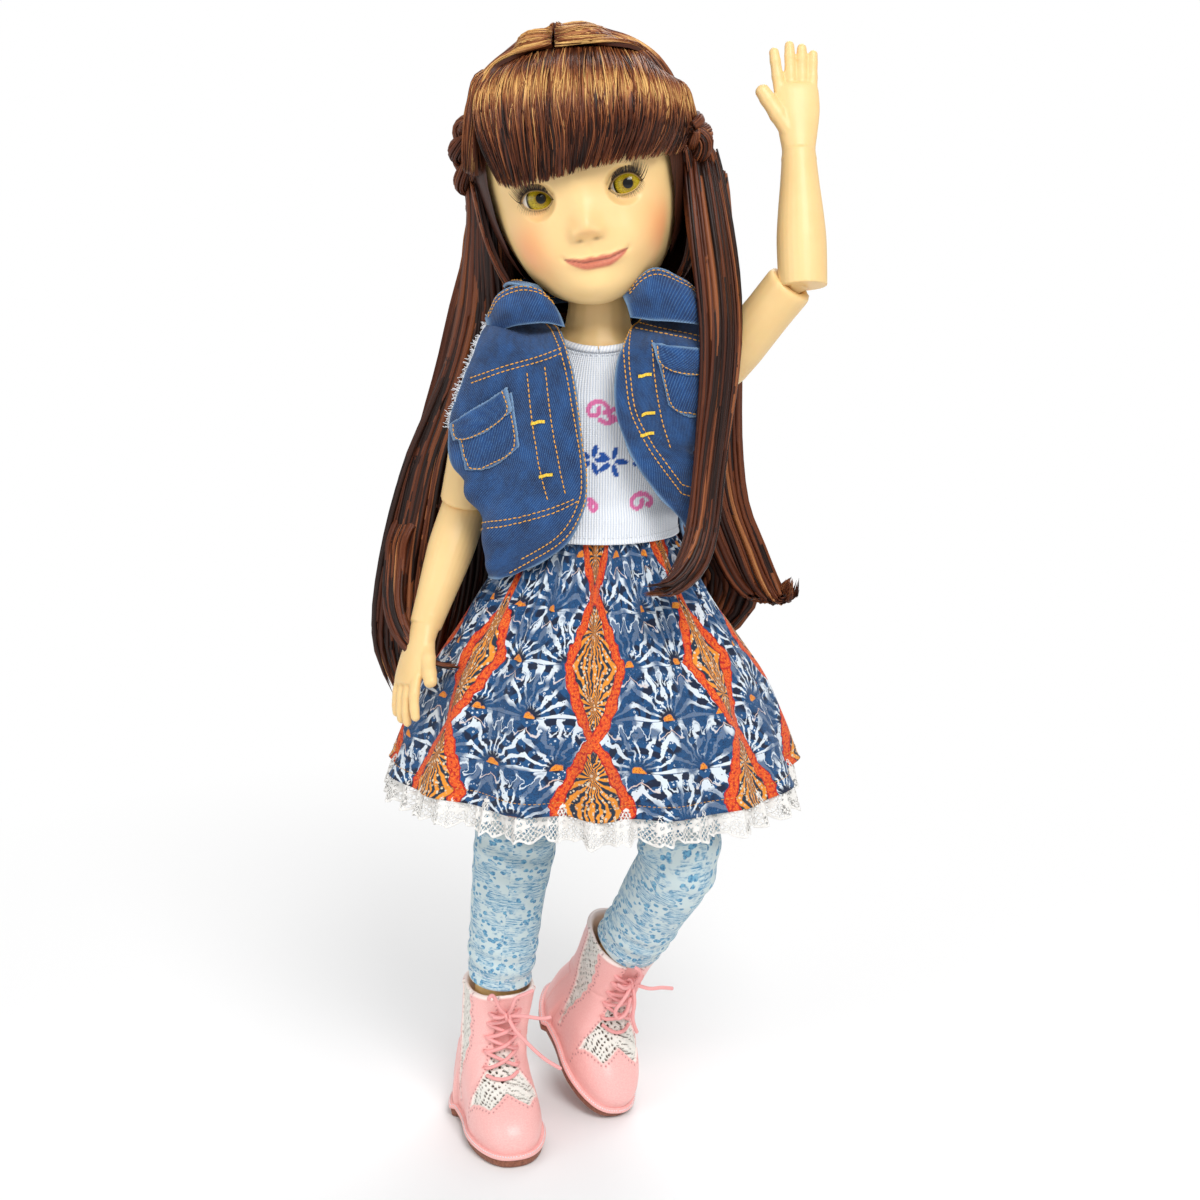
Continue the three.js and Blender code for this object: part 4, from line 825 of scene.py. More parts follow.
# Places on the face, read from the photograph, in the head's frame.
MOUTH_ENDS = [seen_on_head(565, 260), seen_on_head(627.5, 248)]
MOUTH_MIDDLE = seen_on_head(597, 260.6)
MOUTH_X = (MOUTH_ENDS[0][0] + MOUTH_ENDS[1][0]) / 2
MOUTH_HALF = (MOUTH_ENDS[1][0] - MOUTH_ENDS[0][0]) / 2
MOUTH_RISE = (MOUTH_ENDS[0][2] + MOUTH_ENDS[1][2]) / 2 - MOUTH_MIDDLE[2]
CHEEKS = [(533, 250), (660, 226)]
GAZE = {"left": (628, 183), "right": (541.5, 198)}
NOSE_HEIGHT = 12.4
LID_RADIUS = 7.75
LID_HALF = 5.0
LID_TOP = 3.35
LID_BOTTOM = 2.75


def mouth_line(x):
    """The height where the lips meet at x, and how far x is from the mouth's middle."""
    u = (x - MOUTH_X) / MOUTH_HALF
    wave = 0.16 * np.cos(u * 7) * (1 - smoothstep(0.4, 0.9, np.abs(u)))
    return MOUTH_MIDDLE[2] + MOUTH_RISE * u * u + wave, u


def lid_curves(x):
    """How far the upper and the lower lid stand open over and under the eye's middle at x."""
    u = (np.abs(x) - EYE_X) / LID_HALF
    open_by = np.maximum(0, 1 - np.abs(u) ** 2.3) ** 0.72
    tilt = 0.55 * np.clip(u, -1, 1) * swell(u, 1.5)
    return LID_TOP * open_by + tilt, -LID_BOTTOM * open_by + tilt, u


def face_relief(p):
    """How far the face stands out from its plain form at points of the head's frame."""
    x, y, z = p[..., 0], p[..., 1], p[..., 2]
    side = np.abs(x)
    below = z < NOSE_HEIGHT
    tip = 4.3 * swell(x, 4.2) * swell(z - NOSE_HEIGHT, np.where(below, 2.7, 5.4))
    bridge = 1.3 * swell(x, 4.6) * swell(z - 20, 6.5)
    wings = 1.35 * swell(side - 3.9, 1.8) * swell(z - 11, 2.1)
    nostrils = -0.9 * swell(side - 2.4, 1.0) * swell(z - 9.0, 0.6)
    philtrum = -0.25 * swell(x, 0.9) * swell(z - 7, 1.6)
    line, u = mouth_line(x)
    full = np.maximum(0, 1 - u * u)
    lips = full * (0.85 * swell(z - line - 0.75, 0.85) + 1.35 * swell(z - line + 1.2, 1.25))
    groove = -0.6 * np.maximum(0, 1 - u**4) * swell(z - line, 0.36)
    corners = -0.55 * swell(np.abs(u) - 1.03, 0.1) * swell(z - line, 0.9)
    cheeks = 2.0 * swell(side - 14.5, 7.5) * swell(z - 7, 7.5)
    chin = 1.7 * swell(x, 6) * swell(z + 5, 4)
    top, _, v = lid_curves(x)
    crease = -0.42 * swell(z - EYE_HEIGHT - top - 1.5, 0.4) * (np.abs(v) < 1.15) * (side > 5)
    socket = -0.5 * swell(side - EYE_X, 8) * swell(z - EYE_HEIGHT - 2, 5)
    relief = tip + bridge + wings + nostrils + philtrum + lips
    relief = relief + groove + corners + cheeks + chin + crease + socket
    return relief * (1 - smoothstep(-22, -8, y))


def face_grid(angles, heights, upper):
    """Points of the face in rows of a height, with the rows opened round the eyes."""
    angle, z = np.meshgrid(angles, heights)
    x = skull(angle, z)[..., 0]
    top, bottom, _ = lid_curves(x)
    away = np.abs(z - EYE_HEIGHT) / 9
    z = z + (top if upper else bottom) * np.clip(1 - away, 0, 1) * (np.cos(angle) > 0)
    p = skull(angle, z)
    out = unit(np.stack([0.25 * p[..., 0], p[..., 1] - HEAD_AXIS_Y, np.zeros_like(z)], -1))
    p = p + out * face_relief(p)[..., None]
    across, rise = np.abs(p[..., 0]) - EYE_X, p[..., 2] - EYE_HEIGHT
    off = np.sqrt(across**2 + rise**2)
    lid = EYE_Y - np.sqrt(np.maximum(LID_RADIUS**2 - off**2, 1))
    share = 1 - smoothstep(3.7, 6.3, off)
    p[..., 1] = np.where(p[..., 1] < 0, p[..., 1] * (1 - share) + lid * share, p[..., 1])
    return p


def welded(obj, distance):
    """Joins the points of a mesh that are closer than a distance in millimetres."""
    work = bmesh.new()
    work.from_mesh(obj.data)
    bmesh.ops.remove_doubles(work, verts=work.verts, dist=distance * MM)
    work.to_mesh(obj.data)
    work.free()
    return obj


def local_points(obj, place):
    """The object's points in millimetres in the frame given by place."""
    flat = np.empty(len(obj.data.vertices) * 3, np.float32)
    obj.data.vertices.foreach_get("co", flat)
    points = (flat.reshape(-1, 3).astype(float) - np.array(HIPS)) / MM
    return moved(place.inverted(), points)


def closed_end(shape, ring, way, place, hub):
    """Closes a tube of points with rings that shrink to the share hub of the last one."""
    middle = ring.mean(0)
    cap = np.stack([middle + (ring - middle) * s for s in (hub, 0.5, 1.0)][::way])
    shape.grid(moved(place, cap), wrap=True)


def build_head():
    """The head with its face, lids and ears, and its paint as values on its points."""
    front = np.radians(np.linspace(-82, 82, 221))
    back = np.radians(np.linspace(86, 274, 48))
    angles = np.concatenate([front, back])
    low = np.linspace(HEAD_BOTTOM, EYE_HEIGHT, 78)
    high = np.concatenate([np.linspace(EYE_HEIGHT, 40, 42), np.linspace(41.2, HEAD_TOP, 24)])
    shape = Shape()
    for heights, upper in ((low, False), (high, True)):
        shape.grid(moved(HEAD, face_grid(angles, heights, upper)), wrap=True)
    for z, way in ((HEAD_BOTTOM, 1), (HEAD_TOP, -1)):
        closed_end(shape, face_grid(angles, np.array([z]), way < 0)[0], way, HEAD, 0.01)
    # The lids have an edge that turns in towards the eye.
    for side in (-1, 1):
        across = np.linspace(-0.995, 0.995, 60) * LID_HALF + EYE_X
        for upper in (True, False):
            top, bottom, _ = lid_curves(across)
            rise = top if upper else bottom
            off = np.sqrt((across - EYE_X) ** 2 + rise**2)
            edge = np.stack([side * across, EYE_Y - np.sqrt(LID_RADIUS**2 - off**2), EYE_HEIGHT + rise], 1)
            middle = np.array([side * EYE_X, EYE_Y, EYE_HEIGHT])
            inner = middle + (edge - middle) * 0.83
            rows = np.stack([edge, inner])
            shape.grid(moved(HEAD, rows[::-1] if (upper == (side > 0)) else rows))
    # An ear is a rim round a hollow, with a lobe.
    for side in (-1, 1):
        t, r = np.meshgrid(np.linspace(0, 2 * np.pi, 37), np.linspace(0.03, 1, 15))
        swirl = 4.4 * r * np.cos(t) * (1 - 0.25 * np.sin(t))
        tall = 6.8 * r * np.sin(t) - 0.6 * np.cos(t)
        rim = 2.3 * swell(r - 0.8, 0.16) + 1.1 * swell(r - 0.42, 0.14) * (np.sin(t) > -0.6)
        rim = rim + 1.6 * (1 - r**6)
        ear = np.stack([rim - 1.2, swirl, tall], -1)
        ear = moved(spin(Z_AXIS, side * 24) @ Matrix.Diagonal((side, 1, 1, 1)), ear)
        place = np.array([side * 29.6, 3.6, 16.5])
        shape.grid(moved(HEAD, (ear + place)[:, ::-side]))
    head = shape.made("doll_head", "head", material(face_skin), "vinyl", ["head_shell"])
    welded(head, 0.02)
    p = local_points(head, HEAD)
    x, z = p[:, 0], p[:, 2]
    facing = 1 - smoothstep(-16, -10, p[:, 1])
    line, u = mouth_line(x)
    bow = 1.2 - 0.3 * swell(x - MOUTH_X, 1.0) + 0.2 * swell(np.abs(x - MOUTH_X) - 2.0, 1.4)
    full = np.maximum(0, 1 - np.abs(u) ** 2.2) ** 0.6
    over, under = line + bow * full, line - 2.35 * full
    lip = smoothstep(-0.35, 0.3, over - z) * smoothstep(-0.45, 0.4, z - under) * (np.abs(u) < 1)
    mouth = 0.55 * swell(z - line, 0.22) * (np.abs(u) < 1.04)
    point_value(head, "lip", lip * facing * 0.95)
    blush = sum(swell(np.linalg.norm(p - seen_on_head(*at), axis=1), 8.5) for at in CHEEKS)
    nose = 0.25 * swell(x, 4) * swell(z - NOSE_HEIGHT, 3)
    point_value(head, "blush", np.clip(blush * 0.75 + nose, 0, 1) * facing)
    top, bottom, v = lid_curves(x)
    edge = swell(z - EYE_HEIGHT - top, 0.42) * (np.abs(v) < 1.06)
    fold = 0.4 * swell(z - EYE_HEIGHT - top - 1.5, 0.35) * (np.abs(v) < 1.1)
    rim = 0.35 * swell(z - EYE_HEIGHT - bottom, 0.3) * (np.abs(v) < 1.0)
    # Painted shade in the creases by the nose's wings and in the nostrils, put on with the liner.
    nostril_shade = 0.3 * swell(np.abs(x) - 3.0, 1.5) * swell(z - 8.9, 0.5)
    nostril_shade = nostril_shade + 0.25 * swell(np.abs(x) - 2.4, 0.7) * swell(z - 9.1, 0.5)
    point_value(head, "liner_and_shade", np.clip(edge + fold + rim + nostril_shade + mouth, 0, 1) * facing)


def build_eyes():
    """Each eye is a ball with a slight cornea, turned to look where the photograph's do."""
    for name, side in SIDES.items():
        middle = np.array([side * EYE_X, EYE_Y, EYE_HEIGHT])
        aim = unit(seen_on_head(*GAZE[name], -1.0) - middle)
        up = unit(np.cross(np.cross(aim, Z_AXIS), aim))
        right = np.cross(aim, up)
        rings = np.linspace(0.002, 1, 56) ** 1.3 * 3.1
        ring, turn = np.meshgrid(rings, all_round(64), indexing="ij")
        bulge = 1 + 0.035 * swell(ring * EYE_RADIUS, 3.4)
        ball = np.sin(ring)[..., None] * (np.cos(turn)[..., None] * right + np.sin(turn)[..., None] * up)
        ball = ball + np.cos(ring)[..., None] * aim
        shape = Shape()
        shape.grid(moved(HEAD, middle + ball * (EYE_RADIUS * bulge)[..., None])[:, ::-1], wrap=True)
        eye = shape.made(f"{name}_glass_eye", "head", material(eye_paint), "eye", [f"{name}_eye"])
        point_value(eye, "ring", (ring * EYE_RADIUS)[:, ::-1])
        point_value(eye, "turn", np.minimum(turn, 2 * np.pi - turn)[:, ::-1])


LASH_SEED = 5
# Lashes on an upper and a lower lid: how many, and how long.
LASHES = ((True, 74, 3.5), (False, 38, 1.6))


def build_lashes():
    """Curled hairs along the edges of the lids."""
    shape = Shape()
    rng = np.random.default_rng(LASH_SEED)
    for side in (-1, 1):
        for upper, count, long in LASHES:
            across = np.linspace(-0.96, 1.02, count) + rng.normal(0, 0.012, count)
            x = EYE_X + across * LID_HALF
            top, bottom, _ = lid_curves(x)
            rise = top if upper else bottom
            off2 = (x - EYE_X) ** 2 + rise**2
            root = np.stack([side * x, EYE_Y - np.sqrt(LID_RADIUS**2 - off2) - 0.05, EYE_HEIGHT + rise], 1)
            reach = long * (0.55 + 0.45 * np.clip(across + 0.6, 0, 1)) * rng.uniform(0.8, 1.1, count)
            fan = across * 0.75 + rng.normal(0, 0.07, count)
            way = 1 if upper else -1
            t = np.linspace(0, 1, 7)[:, None]
            paths = []
            for p, r, a in zip(root, reach, fan):
                out = np.array([side * math.sin(a) * 0.9, -0.75, way * 0.25])
                curl = np.array([side * math.sin(a) * 0.5, 0.1, way * 0.85])
                paths.append(p + r * (out * t * (1 - 0.35 * t) + curl * t * t))
            taper = np.linspace(1, 0.15, 7) * (0.13 if upper else 0.075)
            shape.tubes(moved(HEAD, np.array(paths)), np.array([1.0, 0.02, 0.01]), taper, taper, 5)
    shape.made("lashes", "head", material(lash_paint), "hair")


def strands(shape, guides, count, rng, wide, thick, depth=1.0, lift=0.0, stop=(0.94, 1.0), steps=28,
            tone=0.35, spread=0.25, drift=0.03, band=None, sides=5):
    """Flat locks or fine hairs that run down a grid of guides from its first row."""
    count = max(1, round(count * bpy.context.scene.doll_hair.amount))
    s0 = rng.uniform(0, 1, count)
    t0, t1 = rng.uniform(0, 0.04, count), rng.uniform(*stop, count)
    ease = np.linspace(0, 1, steps)
    t = t0[:, None] + (t1 - t0)[:, None] * ease

    def ripple(slow, fast):
        return np.sin(ease * rng.uniform(slow, fast, (count, 1)) + rng.uniform(0, 6, (count, 1)))

    sway = rng.normal(0, drift, (count, 1)) * ripple(2, 6)
    s = np.clip(s0[:, None] + sway * np.sin(ease * np.pi), 0.001, 0.999)
    raised = lift + rng.uniform(0, depth, (count, 1)) * np.ones(steps)
    raised = raised + 0.25 * ripple(4, 11)
    paths = surface(guides, s, t, raised)
    across = surface(guides, s + 0.01, t) - surface(guides, s - 0.01, t)
    taper = np.minimum(1, (1 - ease) * 7) ** 0.7 * np.minimum(1, 0.5 + ease * 12)
    size = rng.uniform(0.7, 1.25, (count, 1)) * taper
    tones = tone + rng.normal(0, spread, (count, 1)) + np.zeros(steps)
    if band is not None:
        tones = tones + band(s, t)
    fibres = rng.uniform(0, 90, count)
    shape.tubes(paths, across, wide * size + 0.02, thick * size + 0.02, sides, tones, fibres)


def hair_sheet(shape, guides, thickness, rows=40, columns=24, tone=0.1):
    """A closed pad under the locks, so that nothing shows between them, in a dark tone that is painted
    shade.
    """
    top = refined(guides, rows, columns)
    below = top - grid_normals(top) * thickness
    shape.grid(top, tone=np.full(top.shape[:2], tone), size=(14, 2))
    shape.grid(below[:, ::-1], tone=np.full(top.shape[:2], tone), size=(14, 2))
    for edge in (0, -1):
        rim = np.stack([top[:, edge], below[:, edge]], 1)
        shape.grid(rim if edge else rim[:, ::-1], tone=np.full(rim.shape[:2], tone))
    for edge in (0, -1):
        rim = np.stack([top[edge], below[edge]], 0)
        shape.grid(rim[::-1] if edge == 0 else rim, tone=np.full(rim.shape[:2], tone))


# How far over the head the hair lies that shows at a picture point.
HAIR_OVER_HEAD = 4.0


def seen_guides(rows, grow):
    """Guides over the head from rows of picture points, each row read from its end."""
    points = [[seen_on_head(u, v, HAIR_OVER_HEAD) for u, v in reversed(row)] for row in rows]
    return moved(HEAD, on_skull(np.array(points), grow))


# Hair as the photograph shows it. A row is the picture's height, and its points are (u, depth).
RIGHT_FALL_ROWS = [
    (176, (470, -2), (480, -5), (493, -8), (503, -10)), (215, (474, -1), (483, -5), (494, -8), (505, -8)),
    (260, (470, 2), (482, -2), (495, -4), (508, -2)), (310, (463, 6), (480, 2), (497, 1), (512, 4)),
    (360, (452, 10), (470, 5), (492, 6), (508, 10)), (410, (432, 13), (455, 8), (480, 10), (500, 14)),
    (460, (410, 14), (438, 10), (470, 13), (498, 17)), (510, (395, 15), (428, 12), (466, 15), (500, 20)),
    (560, (384, 15), (420, 12), (466, 16), (502, 22)), (610, (377, 14), (416, 11), (458, 16), (490, 23)),
    (650, (378, 14), (412, 12), (446, 17), (470, 24)), (695, (396, 14), (420, 13), (434, 18), (448, 24)),
]
LEFT_LOCK_ROWS = [
    (150, (682, -10), (697, -9), (712, -5)), (190, (686, -16), (703, -15), (720, -8)),
    (230, (690, -21), (709, -20), (728, -12)), (280, (697, -24), (716, -24), (735, -15)),
    (330, (703, -26), (720, -27), (737, -18)), (380, (703, -28), (718, -29), (733, -22)),
    (430, (701, -29), (713, -31), (725, -25)), (480, (697, -31), (707, -33), (718, -28)),
    (530, (690, -34), (701, -36), (712, -31)), (565, (680, -38), (690, -41), (702, -37)),
    (588, (664, -42), (670, -45), (682, -43)), (592, (642, -44), (645, -46), (652, -46)),
]
LEFT_BEHIND_ROWS = [
    (170, (690, 6), (706, 4), (722, 8)), (230, (694, 8), (710, 6), (727, 10)),
    (300, (698, 12), (715, 10), (735, 14)), (370, (696, 17), (715, 16), (737, 18)),
    (440, (694, 20), (714, 20), (738, 21)), (500, (700, 22), (722, 22), (745, 22)),
    (545, (712, 23), (738, 23), (762, 22)), (580, (730, 23), (752, 23), (776, 21)),
    (598, (752, 23), (768, 22), (786, 18)), (596, (772, 21), (782, 20), (793, 15)),
    (578, (788, 18), (791, 17), (794, 14)),
]
WISP_ROWS = [
    (512, (399, 15), (411, 13.5), (422, 12.5)), (538, (389, 9), (399, 8), (408, 8)),
    (560, (386, 2), (396, 0), (404, 0)), (600, (384, -6), (394, -9), (402, -9)),
    (630, (392, -14), (402, -16), (410, -15)), (652, (408, -19), (418, -20), (424, -18)),
    (664, (430, -21), (438, -22), (444, -20)), (667, (458, -20), (460, -21), (462, -20)),
]
# The back hair in the torso's frame: height, right edge, left edge, depth in the middle and at the edges.
BACK_ROWS = [
    [150, -33, 33, 29, 14], [143, -37, 37, 33, 19], [135, -40, 39, 37, 24], [126, -42, 40, 39.5, 26.5],
    [118, -43, 40, 37.5, 27], [104, -47, 40, 36, 27],
    [84, -52, 39, 36, 28], [64, -58, 40, 37, 29], [44, -63, 43, 37, 30], [26, -67, 48, 39, 31],
    [10, -68, 56, 41, 31], [-6, -66, 50, 43, 31], [-22, -58, 30, 44, 33],
]


# The falls in front: name, rows, the node each stands for, numbers of locks and of fine hairs, and a
# lock's width and thickness and how deep the locks lie.
FALLS = [
    ("right_fall", RIGHT_FALL_ROWS, ["hair_right_fall"], 330, 900, 1.25, 0.28, 1.2),
    ("left_lock", LEFT_LOCK_ROWS, ["hair_left_lock"], 150, 400, 0.75, 0.22, 0.8),
    ("left_behind", LEFT_BEHIND_ROWS, [], 170, 360, 1.1, 0.28, 1.0),
]


def long_sheen_and_shade(s, t):
    """Painted sheen and shade in soft waves down the long hair."""
    return 0.3 * np.sin(t * 9 + s * 3) * swell(t - 0.4, 0.5)


def build_long_hair():
    """The falls over the shoulders, the back hair and a loose wisp by the wrist."""
    rng = np.random.default_rng(bpy.context.scene.doll_hair.seed)
    paint = material(hair_paint)
    made = []
    for name, rows, stands_for, locks, fine, wide, thick, depth in FALLS:
        guides = refined(picture_grid(rows), 60, 18)
        shape = Shape()
        # The pad and the deep locks are dark as painted shade inside the hair, and the fine hairs on top are
        # lighter as painted light.
        hair_sheet(shape, guides[:-7, 1:-1], 1.4)
        strands(shape, guides, locks, rng, wide, thick, depth, 0.1, tone=0.46, spread=0.16, band=long_sheen_and_shade,
                steps=30, sides=4, stop=(0.82, 1.0))
        strands(shape, guides, fine, rng, 0.2, 0.15, depth, 0.5, tone=0.58, band=long_sheen_and_shade, steps=30,
                sides=3, stop=(0.78, 1.0), drift=0.06)
        strands(shape, guides, locks // 3, rng, wide, 0.35, 0.4, -2.0, tone=0.15, steps=24, sides=4,
                stop=(0.85, 1.0))
        made.append(shape.made(name, "", paint, "hair", stands_for, ride=False))
    t = np.linspace(-1, 1, 9)
    rows = np.array([
        [[(r + l) / 2 + (l - r) / 2 * s, edge + (mid - edge) * (1 - abs(s) ** 2.2), z] for s in t]
        for z, r, l, mid, edge in BACK_ROWS
    ])
    guides = refined(moved(LEANING, rows), 60, 40)
    shape = Shape()
    # The back hair is shaded the same way: a dark pad and deep locks as painted shade, lighter fine hairs on
    # top as painted light.
    hair_sheet(shape, guides, 3.5, 50, 40)
    strands(shape, guides, 620, rng, 1.5, 0.45, 1.8, 0.1, tone=0.32, band=long_sheen_and_shade, sides=4,
            stop=(0.86, 1.03))
    strands(shape, guides, 640, rng, 0.26, 0.2, 1.2, 0.9, tone=0.5, band=long_sheen_and_shade, sides=3,
            stop=(0.8, 1.03))
    strands(shape, guides, 160, rng, 1.8, 0.5, 0.2, -4.2, tone=0.15, steps=20, sides=4)
    made.append(shape.made("back_fall", "", paint, "hair", ["hair_back"], ride=False))
    for obj in made:
        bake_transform(obj)
    wisp = Shape()
    guides = refined(picture_grid(WISP_ROWS), 50, 10)
    strands(wisp, guides, 34, rng, 0.8, 0.35, 0.8, tone=0.3, steps=30, stop=(0.8, 1.0))
    strands(wisp, guides, 60, rng, 0.25, 0.2, 1.2, 0.2, tone=0.4, steps=30, stop=(0.75, 1.0))
    wisp.made("wrist_wisp", "torso", paint, "hair")


CROWN = (553, 37)
FRINGE_ROWS = [
    [(492, 72), (517, 58), (547, 49), (577, 46), (610, 45), (640, 50), (664, 63)],
    [(485, 96), (510, 84), (545, 78), (577, 76), (615, 75), (648, 80), (676, 90)],
    [(484, 122), (509, 113), (543, 109), (577, 106), (618, 104), (652, 106), (684, 114)],
    [(489, 152), (512, 149), (545, 146), (578, 139), (618, 132), (652, 130), (690, 134)],
    [(499, 185), (516, 189), (545, 182), (574, 173), (608, 165), (645, 159), (688, 152)],
]
# Hair swept from the parting over the fringe's roots to each side of the head.
SWEPT_ROWS = {
    "right": [
        [(556, 31), (554, 40), (553, 51)], [(530, 33), (527, 44), (525, 58)],
        [(505, 44), (503, 56), (500, 70)], [(484, 66), (486, 78), (488, 91)],
        [(470, 96), (476, 106), (482, 117)], [(463, 132), (471, 138), (480, 146)],
        [(461, 168), (470, 172), (480, 176)],
    ],
    "left": [
        [(556, 52), (556, 40), (556, 31)], [(598, 48), (598, 36), (598, 24)],
        [(640, 55), (642, 42), (645, 30)], [(667, 69), (674, 57), (681, 47)],
        [(684, 95), (695, 84), (705, 75)], [(691, 128), (703, 120), (714, 114)],
        [(693, 162), (705, 158), (717, 155)],
    ],
}


def sheen(*bands):
    """Light across the hair in bands of a strength, a place down the strands and a width."""

    def light(_, t):
        return sum(strength * swell(t - place, width) for strength, place, width in bands)

    return light


# Painted sheen down the combed hair and down the swept hair of each side.
COMBED_SHINE = sheen((0.75, 0.45, 0.16), (0.35, 0.05, 0.1))
SWEPT_SHEEN = {"right": sheen((0.6, 0.25, 0.3)), "left": sheen((0.5, 0.1, 0.12), (0.4, 0.62, 0.12))}


def fringe_light(s, t):
    """A sheen over the fringe's bend, shade below it and light on its tips."""
    bend = 0.58 * swell(t - 0.44 + 0.1 * s, 0.13)
    return bend - 0.22 * smoothstep(0.6, 0.74, t) + 0.3 * smoothstep(0.86, 1, t)


def combed_guides(side):
    """Guides from the parting down one side and round the back to the plait."""
    crown = seen_on_head(*CROWN, HAIR_OVER_HEAD)
    reach = np.radians(np.linspace(56, 180, 12)) * side
    rows = []
    for t in np.linspace(0, 1, 9):
        ends = skull(reach, 30 + 6 * np.cos(reach), 4.5)
        part = crown + np.stack([0 * reach, np.abs(reach) * 9.0 - 8, 0 * reach], 1)
        row = part * (1 - t) + ends * t
        row[:, 2] += 16 * math.sin(math.pi * t)
        row[:, 0] += side * 12 * math.sin(math.pi * t) * np.sin(np.abs(reach))
        rows.append(on_skull(row, 3.2 + 1.6 * math.sin(math.pi * min(1, t * 1.2))))
    guides = np.array(rows) if side < 0 else np.array(rows)[:, ::-1]
    return refined(moved(HEAD, guides), 40, 40)


def nape_guides(side):
    """Guides from below the plait down to the nape."""
    reach = np.radians(np.linspace(74, 180, 14)) * side
    rows = []
    for t in np.linspace(0, 1, 7):
        z = 31 + 5 * np.cos(reach) - t * 40
        bulge = 3.0 + 4.0 * t + 3.0 * t * t * (np.cos(reach) < 0) * -np.cos(reach)
        row = skull(reach, np.clip(z, -10.9, 60), bulge)
        row[:, 2] = 31 + 5 * np.cos(reach) - t * 44
        rows.append(row)
    guides = np.array(rows) if side < 0 else np.array(rows)[:, ::-1]
    return refined(moved(HEAD, guides), 30, 40)


def build_head_hair():
    """The cap, the combed hair, the fringe, the swept hair and the plait."""
    rng = np.random.default_rng(bpy.context.scene.doll_hair.seed + 1)
    paint = material(hair_paint)
    # A close cap under everything, from the top of the head down to the nape and behind the ears, dark as
    # painted shade.
    shape = Shape()
    angles = np.radians(np.linspace(-180, 180, 97)[:-1])
    rows = []
    for t in np.linspace(0, 1, 44):
        open_face = smoothstep(math.radians(72), math.radians(50), np.abs(angles))
        bottom = -9 + 46 * open_face + 16 * swell(np.abs(angles) - 1.45, 0.3)
        z = HEAD_TOP - 0.4 + (bottom - HEAD_TOP) * t
        inner = skull(angles, np.clip(z, HEAD_BOTTOM, HEAD_TOP - 0.2))
        rows.append(on_skull(inner, 2.0 + 1.6 * t * (1 - t)))
    cap = np.array(rows)
    shape.grid(moved(HEAD, cap), wrap=True, tone=np.full(cap.shape[:2], 0.12), size=(60, 8))
    shape.made("scalp_hair", "head", paint, "hair", ["hair_cap"])
    shape = Shape()
    for side in (-1, 1):
        # On each side the locks and pads under the fine hairs are darker, as painted shade inside the hair.
        guides = combed_guides(side)
        strands(shape, guides, 260, rng, 1.5, 0.4, 0.8, -0.6, tone=0.14, band=COMBED_SHINE, steps=26,
                stop=(0.97, 1.0))
        strands(shape, guides, 420, rng, 0.28, 0.2, 0.6, 0.2, tone=0.3, band=COMBED_SHINE, steps=26,
                stop=(0.95, 1.0))
        guides = nape_guides(side)
        hair_sheet(shape, guides, 1.2)
        strands(shape, guides, 200, rng, 1.7, 0.45, 0.8, tone=0.22, steps=18, stop=(0.97, 1.0))
        strands(shape, guides, 260, rng, 0.3, 0.2, 0.6, 0.5, tone=0.35, steps=18, stop=(0.92, 1.0))
    shape.made("combed_hair", "head", paint, "hair")
    # The fringe falls over the forehead from under the swept hair.
    shape = Shape()
    grow = np.array([3.4, 6.2, 7.0, 5.6, 3.2])[:, None]
    guides = refined(seen_guides(FRINGE_ROWS, grow), 48, 70)
    # The fringe's pad and locks are darker than its fine hairs on top: painted shade under painted light.
    hair_sheet(shape, guides[:-7], 1.2, 36, 40, tone=0.1)
    strands(shape, guides, 420, rng, 0.85, 0.26, 0.5, tone=0.2, band=fringe_light, steps=26, sides=4,
            stop=(0.86, 1.01), drift=0.012)
    strands(shape, guides, 700, rng, 0.17, 0.13, 0.5, 0.45, tone=0.42, band=fringe_light, steps=26, sides=3,
            stop=(0.86, 1.03), drift=0.02)
    shape.made("fringe_hair", "head", paint, "hair", ["fringe"])
    shape = Shape()
    # gold is each side's painted sheen; the pad and locks under the lighter fine hairs are darker as painted
    # shade.
    for name, gold in SWEPT_SHEEN.items():
        guides = refined(seen_guides(SWEPT_ROWS[name], 5.6), 40, 20)
        hair_sheet(shape, guides, 1.2, 30, 14, tone=0.2)
        strands(shape, guides, 130, rng, 0.75, 0.26, 0.5, tone=0.34, band=gold, steps=26, sides=4,
                stop=(0.95, 1.0))
        strands(shape, guides, 240, rng, 0.17, 0.13, 0.5, 0.4, tone=0.5, band=gold, steps=26, sides=3,
                stop=(0.9, 1.0))
    shape.made("swept_hair", "head", paint, "hair")
    build_braid(paint, rng)


PLAIT_LOCKS = 3
PLAIT_FIBRES = 44
PLAIT_STEPS = 220
# How far the plait reaches to each side from the middle of the back, in radians.
PLAIT_REACH = 1.86
# Crossings of the locks, in radians of their wave for each radian round the head.
PLAIT_CROSSINGS = 13.5


